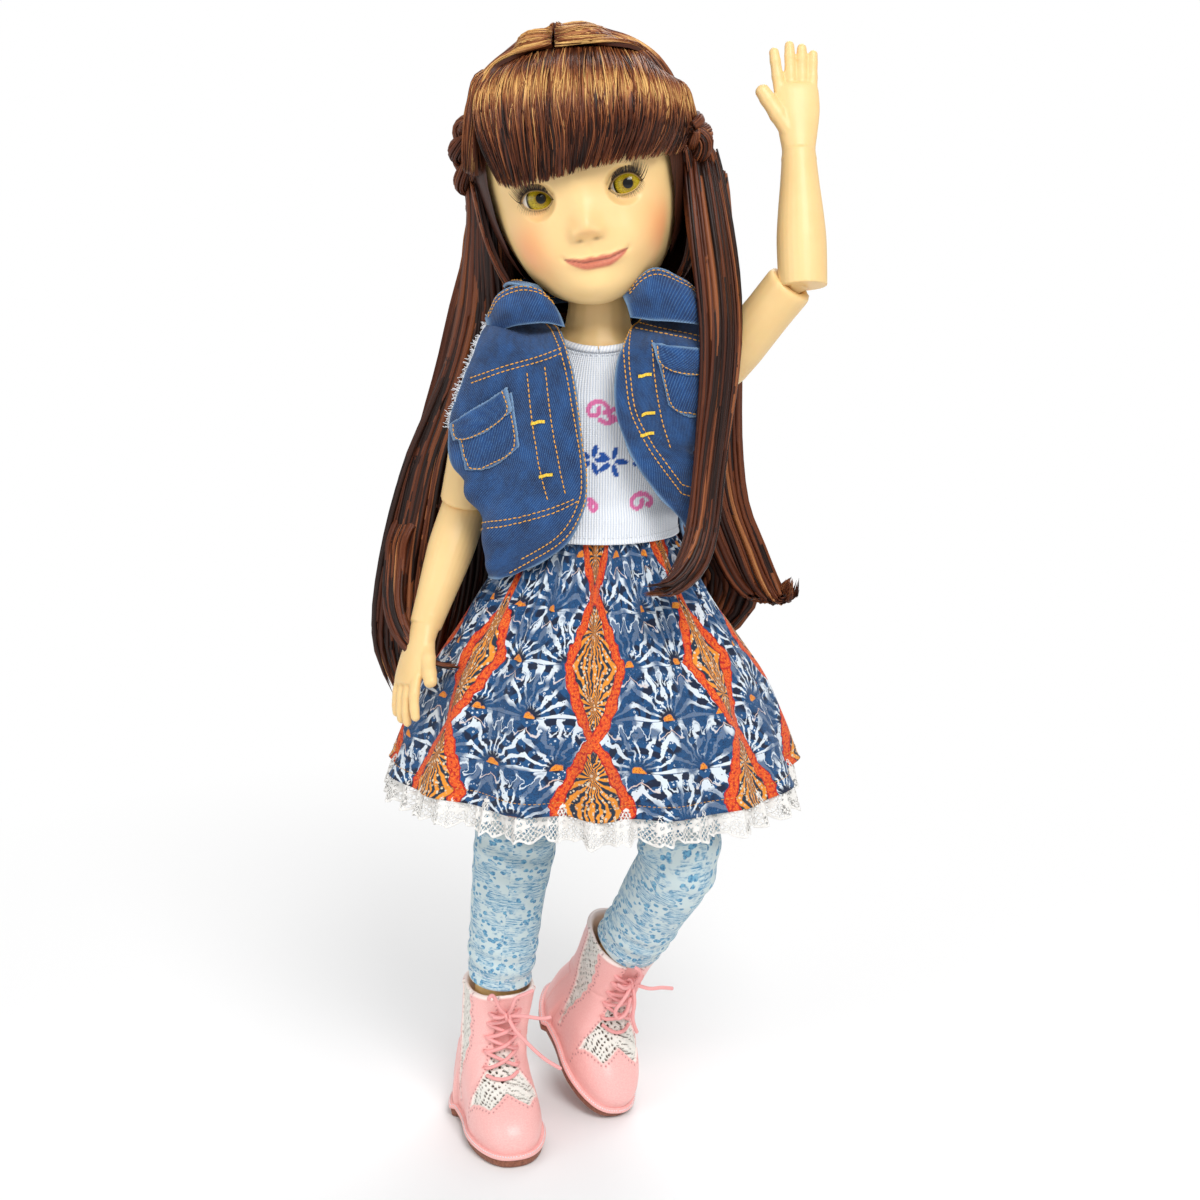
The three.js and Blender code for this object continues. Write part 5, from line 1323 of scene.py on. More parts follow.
def build_braid(paint, rng):
    """A plait of three locks that runs round the back of the head from ear to ear."""
    turn = np.linspace(-PLAIT_REACH, PLAIT_REACH, PLAIT_STEPS)
    lean = smoothstep(0.3, -0.3, turn)
    rise = (25 - 11 * lean) * smoothstep(1.25, 1.9, np.abs(turn))
    height = 24 - 3 * np.cos(turn) - 3 * lean + rise
    centre = moved(HEAD, skull(np.pi + turn, height, 4.2 + 2.2 * lean))
    along = unit(np.gradient(centre, axis=0))
    out = unit(centre - moved(HEAD, [0, HEAD_AXIS_Y, 30]))
    up = unit(np.cross(out, along))
    out = np.cross(along, up)
    shape = Shape()
    ends = np.minimum(1, (PLAIT_REACH - np.abs(turn)) * 5 + 0.35)
    for lock in range(PLAIT_LOCKS):
        phase = turn * PLAIT_CROSSINGS + lock * 2 * np.pi / PLAIT_LOCKS
        high, deep = 4.6 * np.sin(phase) * ends, 2.2 * np.sin(2 * phase) * ends
        core = centre + up * high[:, None] + out * deep[:, None]
        way = unit(np.gradient(core, axis=0))
        side = unit(np.cross(way, out))
        normal = np.cross(side, way)
        paths, tones = [], []
        for k in range(PLAIT_FIBRES):
            a = 2 * np.pi * k / PLAIT_FIBRES + rng.normal(0, 0.1)
            r = 1.0 if k % 3 else 0.82
            twist = a + turn * 0.8
            across = side * (3.1 * r * np.cos(twist) * ends)[:, None]
            through = normal * (2.3 * r * np.sin(twist) * ends)[:, None]
            paths.append(core + (across + through))
            tone = np.full(PLAIT_STEPS, 0.22 + rng.normal(0, 0.16))
            # Fibres on the outer face of each lock are lighter, as a painted highlight.
            tones.append(tone + 0.28 * np.sin(twist) * (np.sin(twist) > 0))
        fibres = rng.uniform(0, 60, PLAIT_FIBRES)
        shape.tubes(np.array(paths), side, 0.5, 0.34, 5, np.array(tones), fibres)
        # A dark core inside each lock, as painted shade between its fibres.
        shape.tubes(core[None], side[None], 2.6 * ends, 1.9 * ends, 10, np.full((1, PLAIT_STEPS), 0.05))
    shape.made("crown_plait", "head", paint, "hair", ["crown_braid"])


BODY_VOXEL = 0.7
HAND_VOXEL = 0.32
TRUNK_PARTS = ["torso_front", "torso_back", "neck_post", "neck_ball"]
LIMB_PARTS = [
    "upper_arm", "thigh", "shin", "foot", "elbow_insert", "shoulder_ball", "hip_ball", "hip_peg",
]


def build_skin():
    """The vinyl limbs and torso are the frame's own pieces, smoothed."""
    names = TRUNK_PARTS + [f"{side}_{part}" for side in SIDES for part in LIMB_PARTS]
    for name in names:
        node = frame["nodes"][name]
        remeshed(node, BODY_VOXEL, 10)
        node.data.materials.clear()
        node.data.materials.append(material(body_skin))


# A hand hangs from its wrist with the palm to +Y: height, half width and half thickness.
PALM_ROWS = [
    [3, 5.6, 5.2], [0, 5.2, 4.5], [-5, 6.0, 4.0], [-11.8, 6.95, 3.6], [-18, 6.85, 3.0], [-20.5, 6.25, 2.3],
]
# Fingers, and the thumb: place across the palm, share of the length, splay in degrees and radius.
FINGERS = [(0.7, 0.92, 8, 2.0), (0.25, 1.06, 1, 1.95), (-0.21, 1.0, -1, 1.95), (-0.64, 0.86, -3, 1.8)]
THUMB = (0.35, 1.25, 33, 2.6)
PALM_HALF = 7.25
PALM_LENGTH = 19
FINGER_LENGTH = 14
FINGER_STEPS = 30
WRIST_AT = -37
HAND_TWIST = 45
CURL = {"left": 4, "right": 16}
FOREARM_ROWS = [[5.3, 7.5, 7.5], [-8, 7.7, 7.7], [-17, 7.1, 7.1], [-27, 6.1, 6.0], [-37, 5.2, 5.1]]


def oval_tube(shape, table, place):
    """A closed limb from rows of height, half width and half depth."""
    table = spline(table, 30)
    t = all_round(28)
    x = table[:, 1, None] * np.sin(t)
    y = -table[:, 2, None] * np.cos(t)
    grid = np.stack([x, y, np.broadcast_to(table[:, 0, None], x.shape)], -1)
    shape.grid(moved(place, grid), wrap=True)
    closed_end(shape, grid[0], 1, place, 0.02)
    closed_end(shape, grid[-1], -1, place, 0.02)


def build_forearms():
    """A forearm and its hand, moulded in one, with knuckles and webs."""
    for name, side in SIDES.items():
        place = arm_frames(name)[1]
        thumb_way = -side
        shape = Shape()
        oval_tube(shape, FOREARM_ROWS, place)
        hand = place @ Matrix.Translation((0, 0, WRIST_AT)) @ spin(Z_AXIS, side * (90 - HAND_TWIST))
        oval_tube(shape, PALM_ROWS, hand)
        for digit in (*FINGERS, THUMB):
            across, share, splay, radius = digit
            is_thumb = digit is THUMB
            forward, height = (0.8, -5) if is_thumb else (0, 2 - PALM_LENGTH)
            root = Vector((thumb_way * across * PALM_HALF, forward, height))
            knuckle = hand @ Matrix.Translation(root) @ spin(Y_AXIS, -thumb_way * splay)
            length = FINGER_LENGTH * share + (0 if is_thumb else 2)
            curl = math.radians(CURL[name] * (0.6 if is_thumb else 2))
            t = np.linspace(0, 1, FINGER_STEPS)
            bend = curl * t
            step = np.stack([0 * t, np.sin(bend), -np.cos(bend)], 1) * length / (FINGER_STEPS - 1)
            path = np.vstack([np.zeros(3), step[:-1].cumsum(0)])
            joints = 0.09 * swell(t - 0.4, 0.07) + 0.07 * swell(t - 0.72, 0.06)
            tip = np.sqrt(np.clip(1 - ((t - 0.9) / 0.1).clip(0, 1) ** 2, 0.02, 1))
            size = radius * (1 - 0.22 * t + joints) * tip
            size = size * (1.12 if is_thumb else 1.0)
            sideways = moved(knuckle, [1, 0, 0]) - moved(knuckle, [0, 0, 0])
            shape.tubes(moved(knuckle, path)[None], sideways, size, size * 0.92, 14)
        arm = shape.made(f"{name}_arm_and_hand", f"{name}_forearm", material(body_skin), "vinyl",
                         [f"{name}_forearm"])
        remeshed(arm, HAND_VOXEL, 9)


# Clothes. Tables give height, half width and half depth in the torso's frame.
TORSO_TABLE = [
    [-9, 13.6, 11.5], [-4, 26.6, 17.5], [6, 30.6, 19.5], [18, 29.6, 19], [30, 25, 17], [38, 23.5, 16.5],
    [58, 24.5, 17], [78, 25.5, 17], [84.4, 25.5, 15.5], [91.4, 21.5, 13.5], [99, 14.4, 11.9],
    [103, 10.4, 9.9],
]
SKIRT_TABLE = [
    [-46, 68, 50], [-17, 56.4, 42], [2, 45.2, 35], [23, 32, 26.5], [31, 28, 20.9], [36, 25.2, 18.2],
    [44, 25.2, 18.3],
]
SKIRT_TOP = 44
SKIRT_HEM = -46
ARMHOLE_HEIGHT = 84.4
# The vest's side seam, and its fronts in rows of a height: the opening's x and z, the arm side's x and z,
# a height at the seam's side and the share of the way back to the seam.
SEAM_X = 28.4
SEAM_Y = 3.5
VEST_RIGHT_ROWS = [
    [108, 15, 104.6, 33, 106.4, 0], [103, 12.5, 103.4, 34.5, 103.6, 0], [97, 9.5, 99, 37, 99, 0],
    [88, 7.4, 92, 40, 92, 0], [78, 5.6, 80, 44, 81, 0], [70, 4.4, 70, 46.5, 71, 0],
    [60, 3, 60, 45, 61, 0], [50, 3.2, 51, 41.5, 50, 0.5], [38, 8, 39, 36.5, 38, 1],
    [30, 17, 31.5, 34.5, 30, 1], [24, 26, 26.5, 33, 24, 1],
]
VEST_LEFT_ROWS = [
    [108, 15, 104.6, 31, 106.4, 0], [103, 11, 104, 32, 103.6, 0], [97, 7.4, 100, 33, 99, 0],
    [88, 5.4, 91, 33, 91, 0], [79, 5.6, 80, 33.4, 80, 0], [70, 9, 70, 34, 70, 0.15],
    [62, 13, 62, 34, 62, 0.9], [54, 19, 54, 33.6, 54, 1], [47, 25, 47, 33, 47, 1],
    [42, 28.6, 42.5, 32.6, 42, 1],
]


def torso_ring(table, z, angle, grow=0.0):
    """Points round the torso at a height and an angle from the front."""
    rx, ry = table_at(table, z)
    return np.stack(np.broadcast_arrays(-(rx + grow) * np.sin(angle), -(ry + grow) * np.cos(angle), z), -1)


def pixels(points):
    """Where points show in the picture."""
    d = np.asarray(points, float) - np.array(CAMERA_AT)
    c, s = LOOK_DOWN
    deep = d[..., 1] * c - d[..., 2] * s
    high = d[..., 1] * s + d[..., 2] * c
    return PICTURE / 2 + FOCAL * d[..., 0] / deep, PICTURE / 2 - FOCAL * high / deep


def seen_on(grid, u, v):
    """Shares across and down a grid of the places that show at picture points."""
    gu, gv = pixels(grid)
    rows, columns = gu.shape
    u, v = np.atleast_1d(u).astype(float), np.atleast_1d(v).astype(float)
    off = (gu.reshape(1, -1) - u.reshape(-1, 1)) ** 2 + (gv.reshape(1, -1) - v.reshape(-1, 1)) ** 2
    near = np.argpartition(off, 5, axis=1)[:, :5]
    weight = 1 / (np.take_along_axis(off, near, 1) + 0.05) ** 2
    weight /= weight.sum(1, keepdims=True)
    s = ((near % columns) * weight).sum(1) / (columns - 1)
    t = ((near // columns) * weight).sum(1) / (rows - 1)
    return s.reshape(np.shape(u)), t.reshape(np.shape(u))


def line_on(grid, points, lift=0.3, count=120):
    """A line along a grid that follows a line of picture points."""
    uv = spline(np.array(points, float), count)
    s, t = seen_on(grid, uv[:, 0], uv[:, 1])
    soft = np.ones(7) / 7
    s = np.convolve(np.pad(s, 3, mode="edge"), soft, "valid")
    t = np.convolve(np.pad(t, 3, mode="edge"), soft, "valid")
    return surface(grid, s, t, np.full(count, lift))


# Stitches in millimetres: their length, the gap between them and the thread's radius.
TOPSTITCH = (1.2, 0.42, 0.18)
SEAM_STITCH = (1.2, 0.42, 0.2)
POCKET_STITCH = (1.1, 0.4, 0.19)
KNIT_STITCH = (1.0, 0.5, 0.12)
SKIRT_STITCH = (1.0, 0.6, 0.11)
LEGGING_STITCH = (1.1, 0.5, 0.13)
WELT_STITCH = (0.62, 0.3, 0.16)


def stitches(shape, path, long, gap, radius):
    """A row of stitches along a line."""
    path = np.asarray(path, float)
    reached = np.concatenate([[0], np.linalg.norm(np.diff(path, axis=0), axis=1).cumsum()])
    count = int(reached[-1] / (long + gap))
    if count < 1:
        return
    starts = np.arange(count) * (long + gap)
    at = starts[:, None] + np.linspace(0, long, 5)
    lines = np.stack([np.interp(at, reached, path[:, k]) for k in range(3)], -1)
    taper = np.array([0.45, 1, 1.1, 1, 0.45]) * radius
    side = np.cross(lines[:, -1] - lines[:, 0], [0.3, -1, 0.2])[:, None]
    shape.tubes(lines, np.broadcast_to(unit(side), lines.shape), taper, taper, 5)


def seam_across(shape, grid, ends, level, count, lift, stitch):
    """Stitches across a grid at one level, between two shares of its width."""
    path = surface(grid, np.linspace(*ends, count), np.full(count, level), lift)
    stitches(shape, path, *stitch)


def creased(grid, size, scale, seed, share=1.0):
    """Random creases, level and outwards from the middle of the body."""
    out = unit(grid * [1, 1, 0])
    return grid + out * wavy(grid, size, scale, seed)[..., None] * np.asarray(share)[..., None]


def cloth_size(grid, wrap=False):
    """The flat width, length and area of a cloth from its grid of points."""
    closed = np.concatenate([grid, grid[:, :1]], 1) if wrap else grid
    across = np.linalg.norm(np.diff(closed, axis=1), axis=2)
    down = np.linalg.norm(np.diff(closed, axis=0), axis=2)
    area = (0.5 * (across[1:] + across[:-1]) * 0.5 * (down[:, 1:] + down[:, :-1])).sum()
    return across.sum(1).max(), down.sum(0).max(), area


def declared(obj, grid, wrap=False, share=1.0):
    """Works out a cloth's flat width, length and area, and gives the cloth back unchanged."""
    width, length, area = cloth_size(grid, wrap)
    area = min(area * share, width * length) * MM * MM
    return obj


# Motifs on the tank top, at picture points: curls with a size, a hand and a number of turns, and flowers.
CURLS = [
    (598, 408, 9, 1, 1.3), (618, 414, 8, -1, 1.4), (641, 500, 9, 1, 1.3), (676, 492, 8, -1, 1.2),
    (589, 504, 7, -1, 1.1),
]
FLOWERS = [(612, 462), (646, 456), (592, 460)]
TANK_TOP = 97.0
TANK_HEM = 36
TANK_THICKNESS = 0.8


def tank_motifs(world, front):
    """Where the pink curls and the blue flowers are printed on the front of a grid."""
    u, v = pixels(world)
    pink, blue = np.zeros(u.shape), np.zeros(u.shape)
    a = np.linspace(0, 1, 60)
    lines = []
    for cu, cv, size, hand, rounds in CURLS:
        reach = size * (1 - 0.5 * a)
        turn = a * rounds * 2 * np.pi
        lines.append((cu + hand * (16 * a - 8 + reach * np.cos(turn)), cv + reach * np.sin(turn)))
    lines.append((600 + 44 * a, 420 + 3 * np.sin(a * 9)))
    for cu, cv in lines:
        off = np.min(np.hypot(u[..., None] - cu, v[..., None] - cv), axis=-1)
        pink = np.maximum(pink, (off < 2.3) * front)
    for cu, cv in FLOWERS:
        around, off = np.arctan2(v - cv, u - cu), np.hypot(u - cu, v - cv)
        petals = 9 + 7 * np.cos(around * 5)
        blue = np.maximum(blue, ((off < petals) & (off > 3)) * front)
    return {"pink": pink, "blue": blue}


def build_tank():
    """The ribbed tank top with its armholes, motifs and trims."""
    angle, t = np.meshgrid(all_round(360), np.linspace(0, 1, 130))
    top = TANK_TOP + 3.5 * np.sin(angle) ** 2
    z = top + (TANK_HEM - top) * t
    grow = 1.5 + 1.7 * smoothstep(50, 43, z) + 0.5 * swell(z - TANK_HEM, 1.2)
    grid = torso_ring(TORSO_TABLE, z, angle, grow)
    grid = creased(grid, 0.5, 13, 3, smoothstep(98, 85, z))
    armhole = (np.hypot(grid[..., 1], z - ARMHOLE_HEIGHT) < 11) & (np.abs(grid[..., 0]) > 16)
    world = moved(LEANING, grid)
    shape = Shape()
    shape.grid(world, wrap=True, size=(165, 62), keep=~armhole[:-1])
    tank = shape.made("tank", "torso", material(rib_knit), "knit", ["tank_top"])
    for name, values in tank_motifs(world, np.cos(angle) > 0.2).items():
        point_value(tank, name, values)
    thickened(tank, TANK_THICKNESS)
    declared(tank, world, wrap=True, share=0.97)
    trims = Shape()
    for ends in ((0.0, 0.2), (0.8, 0.9999)):
        path = surface(world, np.linspace(*ends, 50), np.zeros(50), 0.35)
        trims.tubes(path[None], [0.0, 0.3, 1.0], 1.1, 0.6, 10)
    for level in (0.965, 0.03):
        for ends in ((0.0, 0.24), (0.76, 0.999)):
            seam_across(trims, world, ends, level, 90, 0.25, KNIT_STITCH)
    trims.made("tank_trim", "torso", material(white_thread), "knit")


SKIRT_FOLDS = 15
SKIRT_THICKNESS = 0.55


def skirt_folds(angle):
    """The skirt's uneven folds round the body, from -1 to 1, and the share of their depth."""
    uneven = angle + 0.05 * np.sin(3 * angle + 1) + 0.03 * np.sin(7 * angle)
    return np.cos(SKIRT_FOLDS * uneven), 0.7 + 0.3 * np.sin(3 * angle + 1)


def hem_sway(angle):
    """How the skirt's hem rises and falls round the body."""
    return 1.3 * np.sin(2 * angle + 0.6)


def build_skirt():
    """The gathered skirt, with its folds, its hem stitch and its lace."""
    clothes = bpy.context.scene.doll_clothes
    fold_depth = clothes.fold_depth / MM
    angle, t = np.meshgrid(all_round(720), np.linspace(0, 1, 110))
    z = SKIRT_TOP + (SKIRT_HEM - SKIRT_TOP) * t
    folds, share = skirt_folds(angle)
    gathers = 0.8 * np.cos(52 * angle + 2 * np.sin(9 * angle))
    gathers = gathers * smoothstep(-25, 20, z) * smoothstep(44, 34, z)
    fine = 0.6 * np.cos(31 * angle + 3 * np.sin(4 * angle))
    gathers = gathers + fine * smoothstep(-40, 10, z) * smoothstep(40, 28, z)
    grow = fold_depth * smoothstep(29, SKIRT_HEM, z) * folds * share
    grow = grow + gathers + 0.35 * swell(z - SKIRT_HEM, 0.8)
    grid = torso_ring(SKIRT_TABLE, z, angle, grow)
    grid[..., 2] += hem_sway(angle) * t + 0.5 * folds * t
    world = moved(LEANING, creased(grid, 0.7, 17, 9, smoothstep(36, 10, z)))
    shape = Shape()
    shape.grid(world, wrap=True, size=(378, 96))
    skirt = shape.made("gathered_skirt", "torso", material(printed_cotton), "printed_cotton", ["skirt"])
    thickened(skirt, SKIRT_THICKNESS)
    declared(skirt, world, wrap=True)
    trims = Shape()
    seam_across(trims, world, (0, 0.9999), 0.955, 2600, 0.2, SKIRT_STITCH)
    trims.made("skirt_hem_stitch", "torso", material(gold_thread), "printed_cotton")
    build_lace(fold_depth, clothes.lace_depth / MM)


LACE_TOP = -39
LACE_THICKNESS = 0.35
LACE_SCALLOPS = 34


def build_lace(fold_depth, drop):
    """The lace is a strip with real holes, gathered under the hem."""
    angle, t = np.meshgrid(all_round(1680), np.linspace(0, 1, 58))
    scallop = np.abs(np.cos(angle * LACE_SCALLOPS))
    z = LACE_TOP - (drop + 1.6 * scallop) * t
    rx, ry = table_at(SKIRT_TABLE, np.maximum(z, SKIRT_HEM))
    ruffles = np.cos(LACE_SCALLOPS * angle + 1.5 * np.sin(5 * angle))
    flare = -1.6 + 2.6 * t + (0.5 + 2.3 * t) * ruffles * 0.8 + 0.8 * np.sin(97 * angle) * t
    folds, share = skirt_folds(angle)
    out = flare + fold_depth * folds * share * (1 - 0.3 * t) - 0.6
    x, y = -(rx + out) * np.sin(angle), -(ry + out) * np.cos(angle)
    world = moved(LEANING, np.stack([x, y, z + hem_sway(angle)], -1))
    a, b = angle * 170, t * 24
    net = (np.abs(np.sin(a + b)) < 0.36) | (np.abs(np.sin(a - b)) < 0.36)
    flower_x, flower_y = (angle * LACE_SCALLOPS / np.pi) % 1 - 0.5, t - 0.62
    r = np.hypot(flower_x * 5.4, flower_y * 15)
    petal = 2.0 + 0.55 * np.cos(6 * np.arctan2(flower_y * 15, flower_x * 5.4))
    solid = (t < 0.12) | (t > 0.93) | ((r < petal) & (r > 0.7)) | (np.abs(t - 0.3) < 0.03)
    keep = (net | solid)[:-1]
    shape = Shape()
    shape.grid(world, wrap=True, size=(400, 15), keep=keep)
    ruffle = shape.made("lace_ruffle", "torso", material(lace_thread), "lace", ["skirt_lace"])
    thickened(ruffle, LACE_THICKNESS)
    declared(ruffle, world, wrap=True, share=float(keep.mean()))


def vest_front_grid(name):
    """A vest front in the torso's frame.

    Rows run from the shoulder down, and columns from the opening to the side seam.
    """
    side = SIDES[name]
    rows = VEST_RIGHT_ROWS if side < 0 else VEST_LEFT_ROWS
    coarse = []
    for z, in_x, in_z, out_x, out_z, wrap in rows:
        over = float(smoothstep(98, 108, z))
        line = []
        for j in range(13):
            t = min(1, j / 10)
            x, height = in_x + (out_x - in_x) * t, in_z + (out_z - in_z) * t
            y = -25.5 * math.sqrt(max(0.02, 1 - (x / 52) ** 2))
            y = y - 1.5 * math.exp(-(((height - 60) / 40) ** 2))
            p = np.array([side * x, y * (1 - over) - 0.1 * over, height])
            turn = max(0, j - 10) / 2
            low = table_at(SKIRT_TABLE, height)[0]
            seam = np.array([side * (max(SEAM_X, low + 1.8) if height < 36 else SEAM_X), SEAM_Y, height])
            edge = p + [0, 0.8, 0]
            line.append(p * (1 - turn) + (edge * (1 - wrap) + seam * wrap) * turn)
        line = np.array(line)
        reached = np.concatenate([[0], np.linalg.norm(np.diff(line, axis=0), axis=1).cumsum()])
        even = np.linspace(0, reached[-1], 11)
        coarse.append(np.stack([np.interp(even, reached, line[:, k]) for k in range(3)], -1))
    grid = refined(np.array(coarse), 150, 90)
    return grid if side < 0 else grid[:, ::-1]


# Stitched lines on the fronts and corners of the pockets and their flaps, at picture points.
VEST_SEAMS = {
    "right": [
        [(470, 378), (505, 366), (540, 356), (566, 346)],
        [(471, 383), (505, 371), (541, 361), (567, 351)],
        [(484, 524), (520, 517), (552, 508), (577, 498)],
        [(485, 530), (522, 522), (556, 512), (580, 500)],
        [(542, 305), (560, 335), (570, 365), (578, 410), (585, 455), (586, 495), (575, 525), (556, 546),
         (520, 567), (503, 576)],
        [(537, 308), (555, 338), (565, 368), (573, 412), (580, 456), (581, 492), (570, 521), (552, 541),
         (518, 561)],
        [(527, 372), (532, 420), (540, 470), (549, 505)],
        [(545, 366), (551, 420), (560, 470), (567, 500)],
    ],
    "left": [
        [(636, 322), (660, 328), (690, 334), (713, 340)],
        [(635, 328), (660, 333), (690, 339), (713, 345)],
        [(650, 277), (630, 315), (624, 345), (626, 380), (631, 412), (645, 442), (660, 465), (682, 494),
         (698, 520)],
        [(655, 280), (635, 318), (629, 347), (631, 382), (636, 412), (650, 440), (665, 462), (686, 490),
         (700, 512)],
        [(652, 340), (655, 380), (662, 420), (672, 452)],
    ],
}
POCKET_THICKNESS = 0.8
POCKETS = {
    "right": (
        [(456, 424), (512, 392), (520, 446), (466, 470)],
        [(452, 424), (508, 386), (514, 410), (456, 440)],
    ),
    "left": (
        [(656, 352), (712, 360), (708, 412), (668, 404)],
        [(652, 345), (714, 352), (710, 372), (658, 362)],
    ),
}
BAR_TACKS = {"right": [(538, 422), (546, 475)], "left": [(645, 375), (648, 413), (647, 434)]}


def denim_patch(grid, corners, lift, point):
    """A patch laid on a grid between four picture corners, with a pointed lower edge."""
    s, t = shares(26, 34)
    a, b, c, d = (np.array(p, float) for p in corners)
    top = a + (b - a) * s[..., None]
    low = d + (c - d) * s[..., None]
    uv = top * (1 - t[..., None]) + low * t[..., None]
    uv[..., 1] += point * t * (1 - np.abs(2 * s - 1) ** 1.6)
    fs, ft = seen_on(grid, uv[..., 0].reshape(-1), uv[..., 1].reshape(-1))
    puff = lift + 0.5 * np.sin(np.pi * s) * np.sin(np.pi * t)
    return surface(grid, fs.reshape(s.shape), ft.reshape(s.shape), puff)[:, ::-1]


def edge_wear(rows, columns, width):
    """The tone of a denim panel, which is worn pale along its edges."""
    s, t = shares(rows, columns)
    off = np.minimum(np.minimum(s, 1 - s), np.minimum(t, 1 - t))
    return 0.75 * swell(off, width)


def build_pocket(name, world, paint, gold):
    """A patch and its pointed flap, each with a row of stitches inside its edge."""
    inset = 0.08
    ring = [(inset, 0.02), (inset, 0.9), (0.5, 0.93), (1 - inset, 0.9), (1 - inset, 0.02)]
    s, t = spline(ring, 90).T
    body, flap = POCKETS[name]
    layers = ((body, 0.5, 9, 0.03), (flap, 1.35, 8, 0.05))
    for number, (corners, lift, point, wear) in enumerate(layers):
        grid = denim_patch(world, corners, lift, point)
        shape = Shape()
        shape.grid(grid, size=(16, 14), tone=edge_wear(*grid.shape[:2], wear))
        thickened(shape.made(f"vest_{name}_pocket_{number}", "torso", paint, "denim"), POCKET_THICKNESS)
        stitches(gold, surface(grid, s, t, 0.14), *POCKET_STITCH)


VEST_SEED = 21
FRAYS = 260


def build_vest():
    """The fronts of the vest with seams, pockets, tacks and frayed armholes, then its back and collar."""
    rng = np.random.default_rng(VEST_SEED)
    paint = material(denim)
    thickness = bpy.context.scene.doll_clothes.denim_thickness / MM
    gold, yellow, frayed = Shape(), Shape(), Shape()
    for name, side in SIDES.items():
        plain = vest_front_grid(name)
        s, t = shares(*plain.shape[:2])
        ridge = 0.5 * np.sin(t * 23 + 5 * s) * swell(s - 0.6, 0.5) * (1 if side < 0 else 0.6)
        crease = 0.5 * np.sin(t * 31 + 9 * s + 2 * np.sin(s * 5))
        crease = crease * swell(t - 0.75, 0.3) * (1 - swell(s - 0.5, 0.2))
        relief = 0.35 + wavy(plain, 1.9, 13, 4 + side) + ridge * 0.6 + crease
        world = moved(LEANING, plain + grid_normals(plain) * relief[..., None])
        shape = Shape()
        shape.grid(world, size=(58, 84), tone=edge_wear(*plain.shape[:2], 0.018))
        front = shape.made(f"vest_{name}_panel", "torso", paint, "denim", [f"vest_{name}_front"])
        thickened(front, thickness)
        declared(front, world)
        for line in VEST_SEAMS[name]:
            stitches(gold, line_on(world, line, 0.14), *SEAM_STITCH)
        build_pocket(name, world, paint, gold)
        for u, v in BAR_TACKS[name]:
            base = line_on(world, [(u - 7, v + 2), (u, v), (u + 7, v - 1)], 0.3, 30)
            for k in range(4):
                path = base + [0, -0.05 * (k % 2), 0.22 * (k - 1.5)]
                yellow.tubes(path[None], Z_AXIS, 0.17, 0.17, 6)
        # The cut edges round the arms are frayed.
        outer = 0.999 if side < 0 else 0.001
        t0 = rng.uniform(0.0, 0.5, FRAYS)
        root = surface(world, np.full(FRAYS, outer), t0)
        inner = surface(world, np.full(FRAYS, abs(outer - 0.04)), t0)
        way = unit(unit(root - inner) + rng.normal(0, 0.45, (FRAYS, 3)))[:, None]
        long = rng.uniform(0.8, 2.6, FRAYS)[:, None, None]
        ease = np.linspace(0, 1, 5)[:, None]
        stray = rng.normal(0, 0.16, (FRAYS, 5, 3)) * ease
        frayed.tubes(root[:, None] - 0.3 * way + long * ease * way + stray, [0.1, 0.2, 1.0], 0.1, 0.1, 4)
    build_vest_back(paint, thickness)
    gold.made("vest_topstitch", "torso", material(gold_thread), "denim")
    yellow.made("vest_bar_tacks", "torso", material(yellow_thread), "denim")
    frayed.made("vest_frayed_edges", "torso", material(white_thread), "denim")


# The collar's front ends, as picture points with a depth, from the top edge down.
COLLAR_WINGS = {
    "left": [
        [(622, 296, -26), (640, 276, -27), (657, 268, -26), (688, 281, -22), (707, 300, -17)],
        [(626, 306, -28), (643, 296, -31), (664, 292, -31), (692, 300, -26), (712, 314, -19)],
        [(630, 318, -27), (648, 320, -28), (668, 322, -28), (694, 324, -25), (716, 330, -18)],
    ],
    "right": [
        [(484, 318, -14), (497, 297, -18), (520, 284, -22), (541, 289, -25), (554, 303, -25)],
        [(488, 327, -17), (503, 312, -23), (523, 303, -27), (546, 305, -28), (560, 313, -26)],
        [(492, 336, -16), (508, 328, -21), (527, 324, -25), (549, 324, -27), (565, 327, -25)],
    ],
}


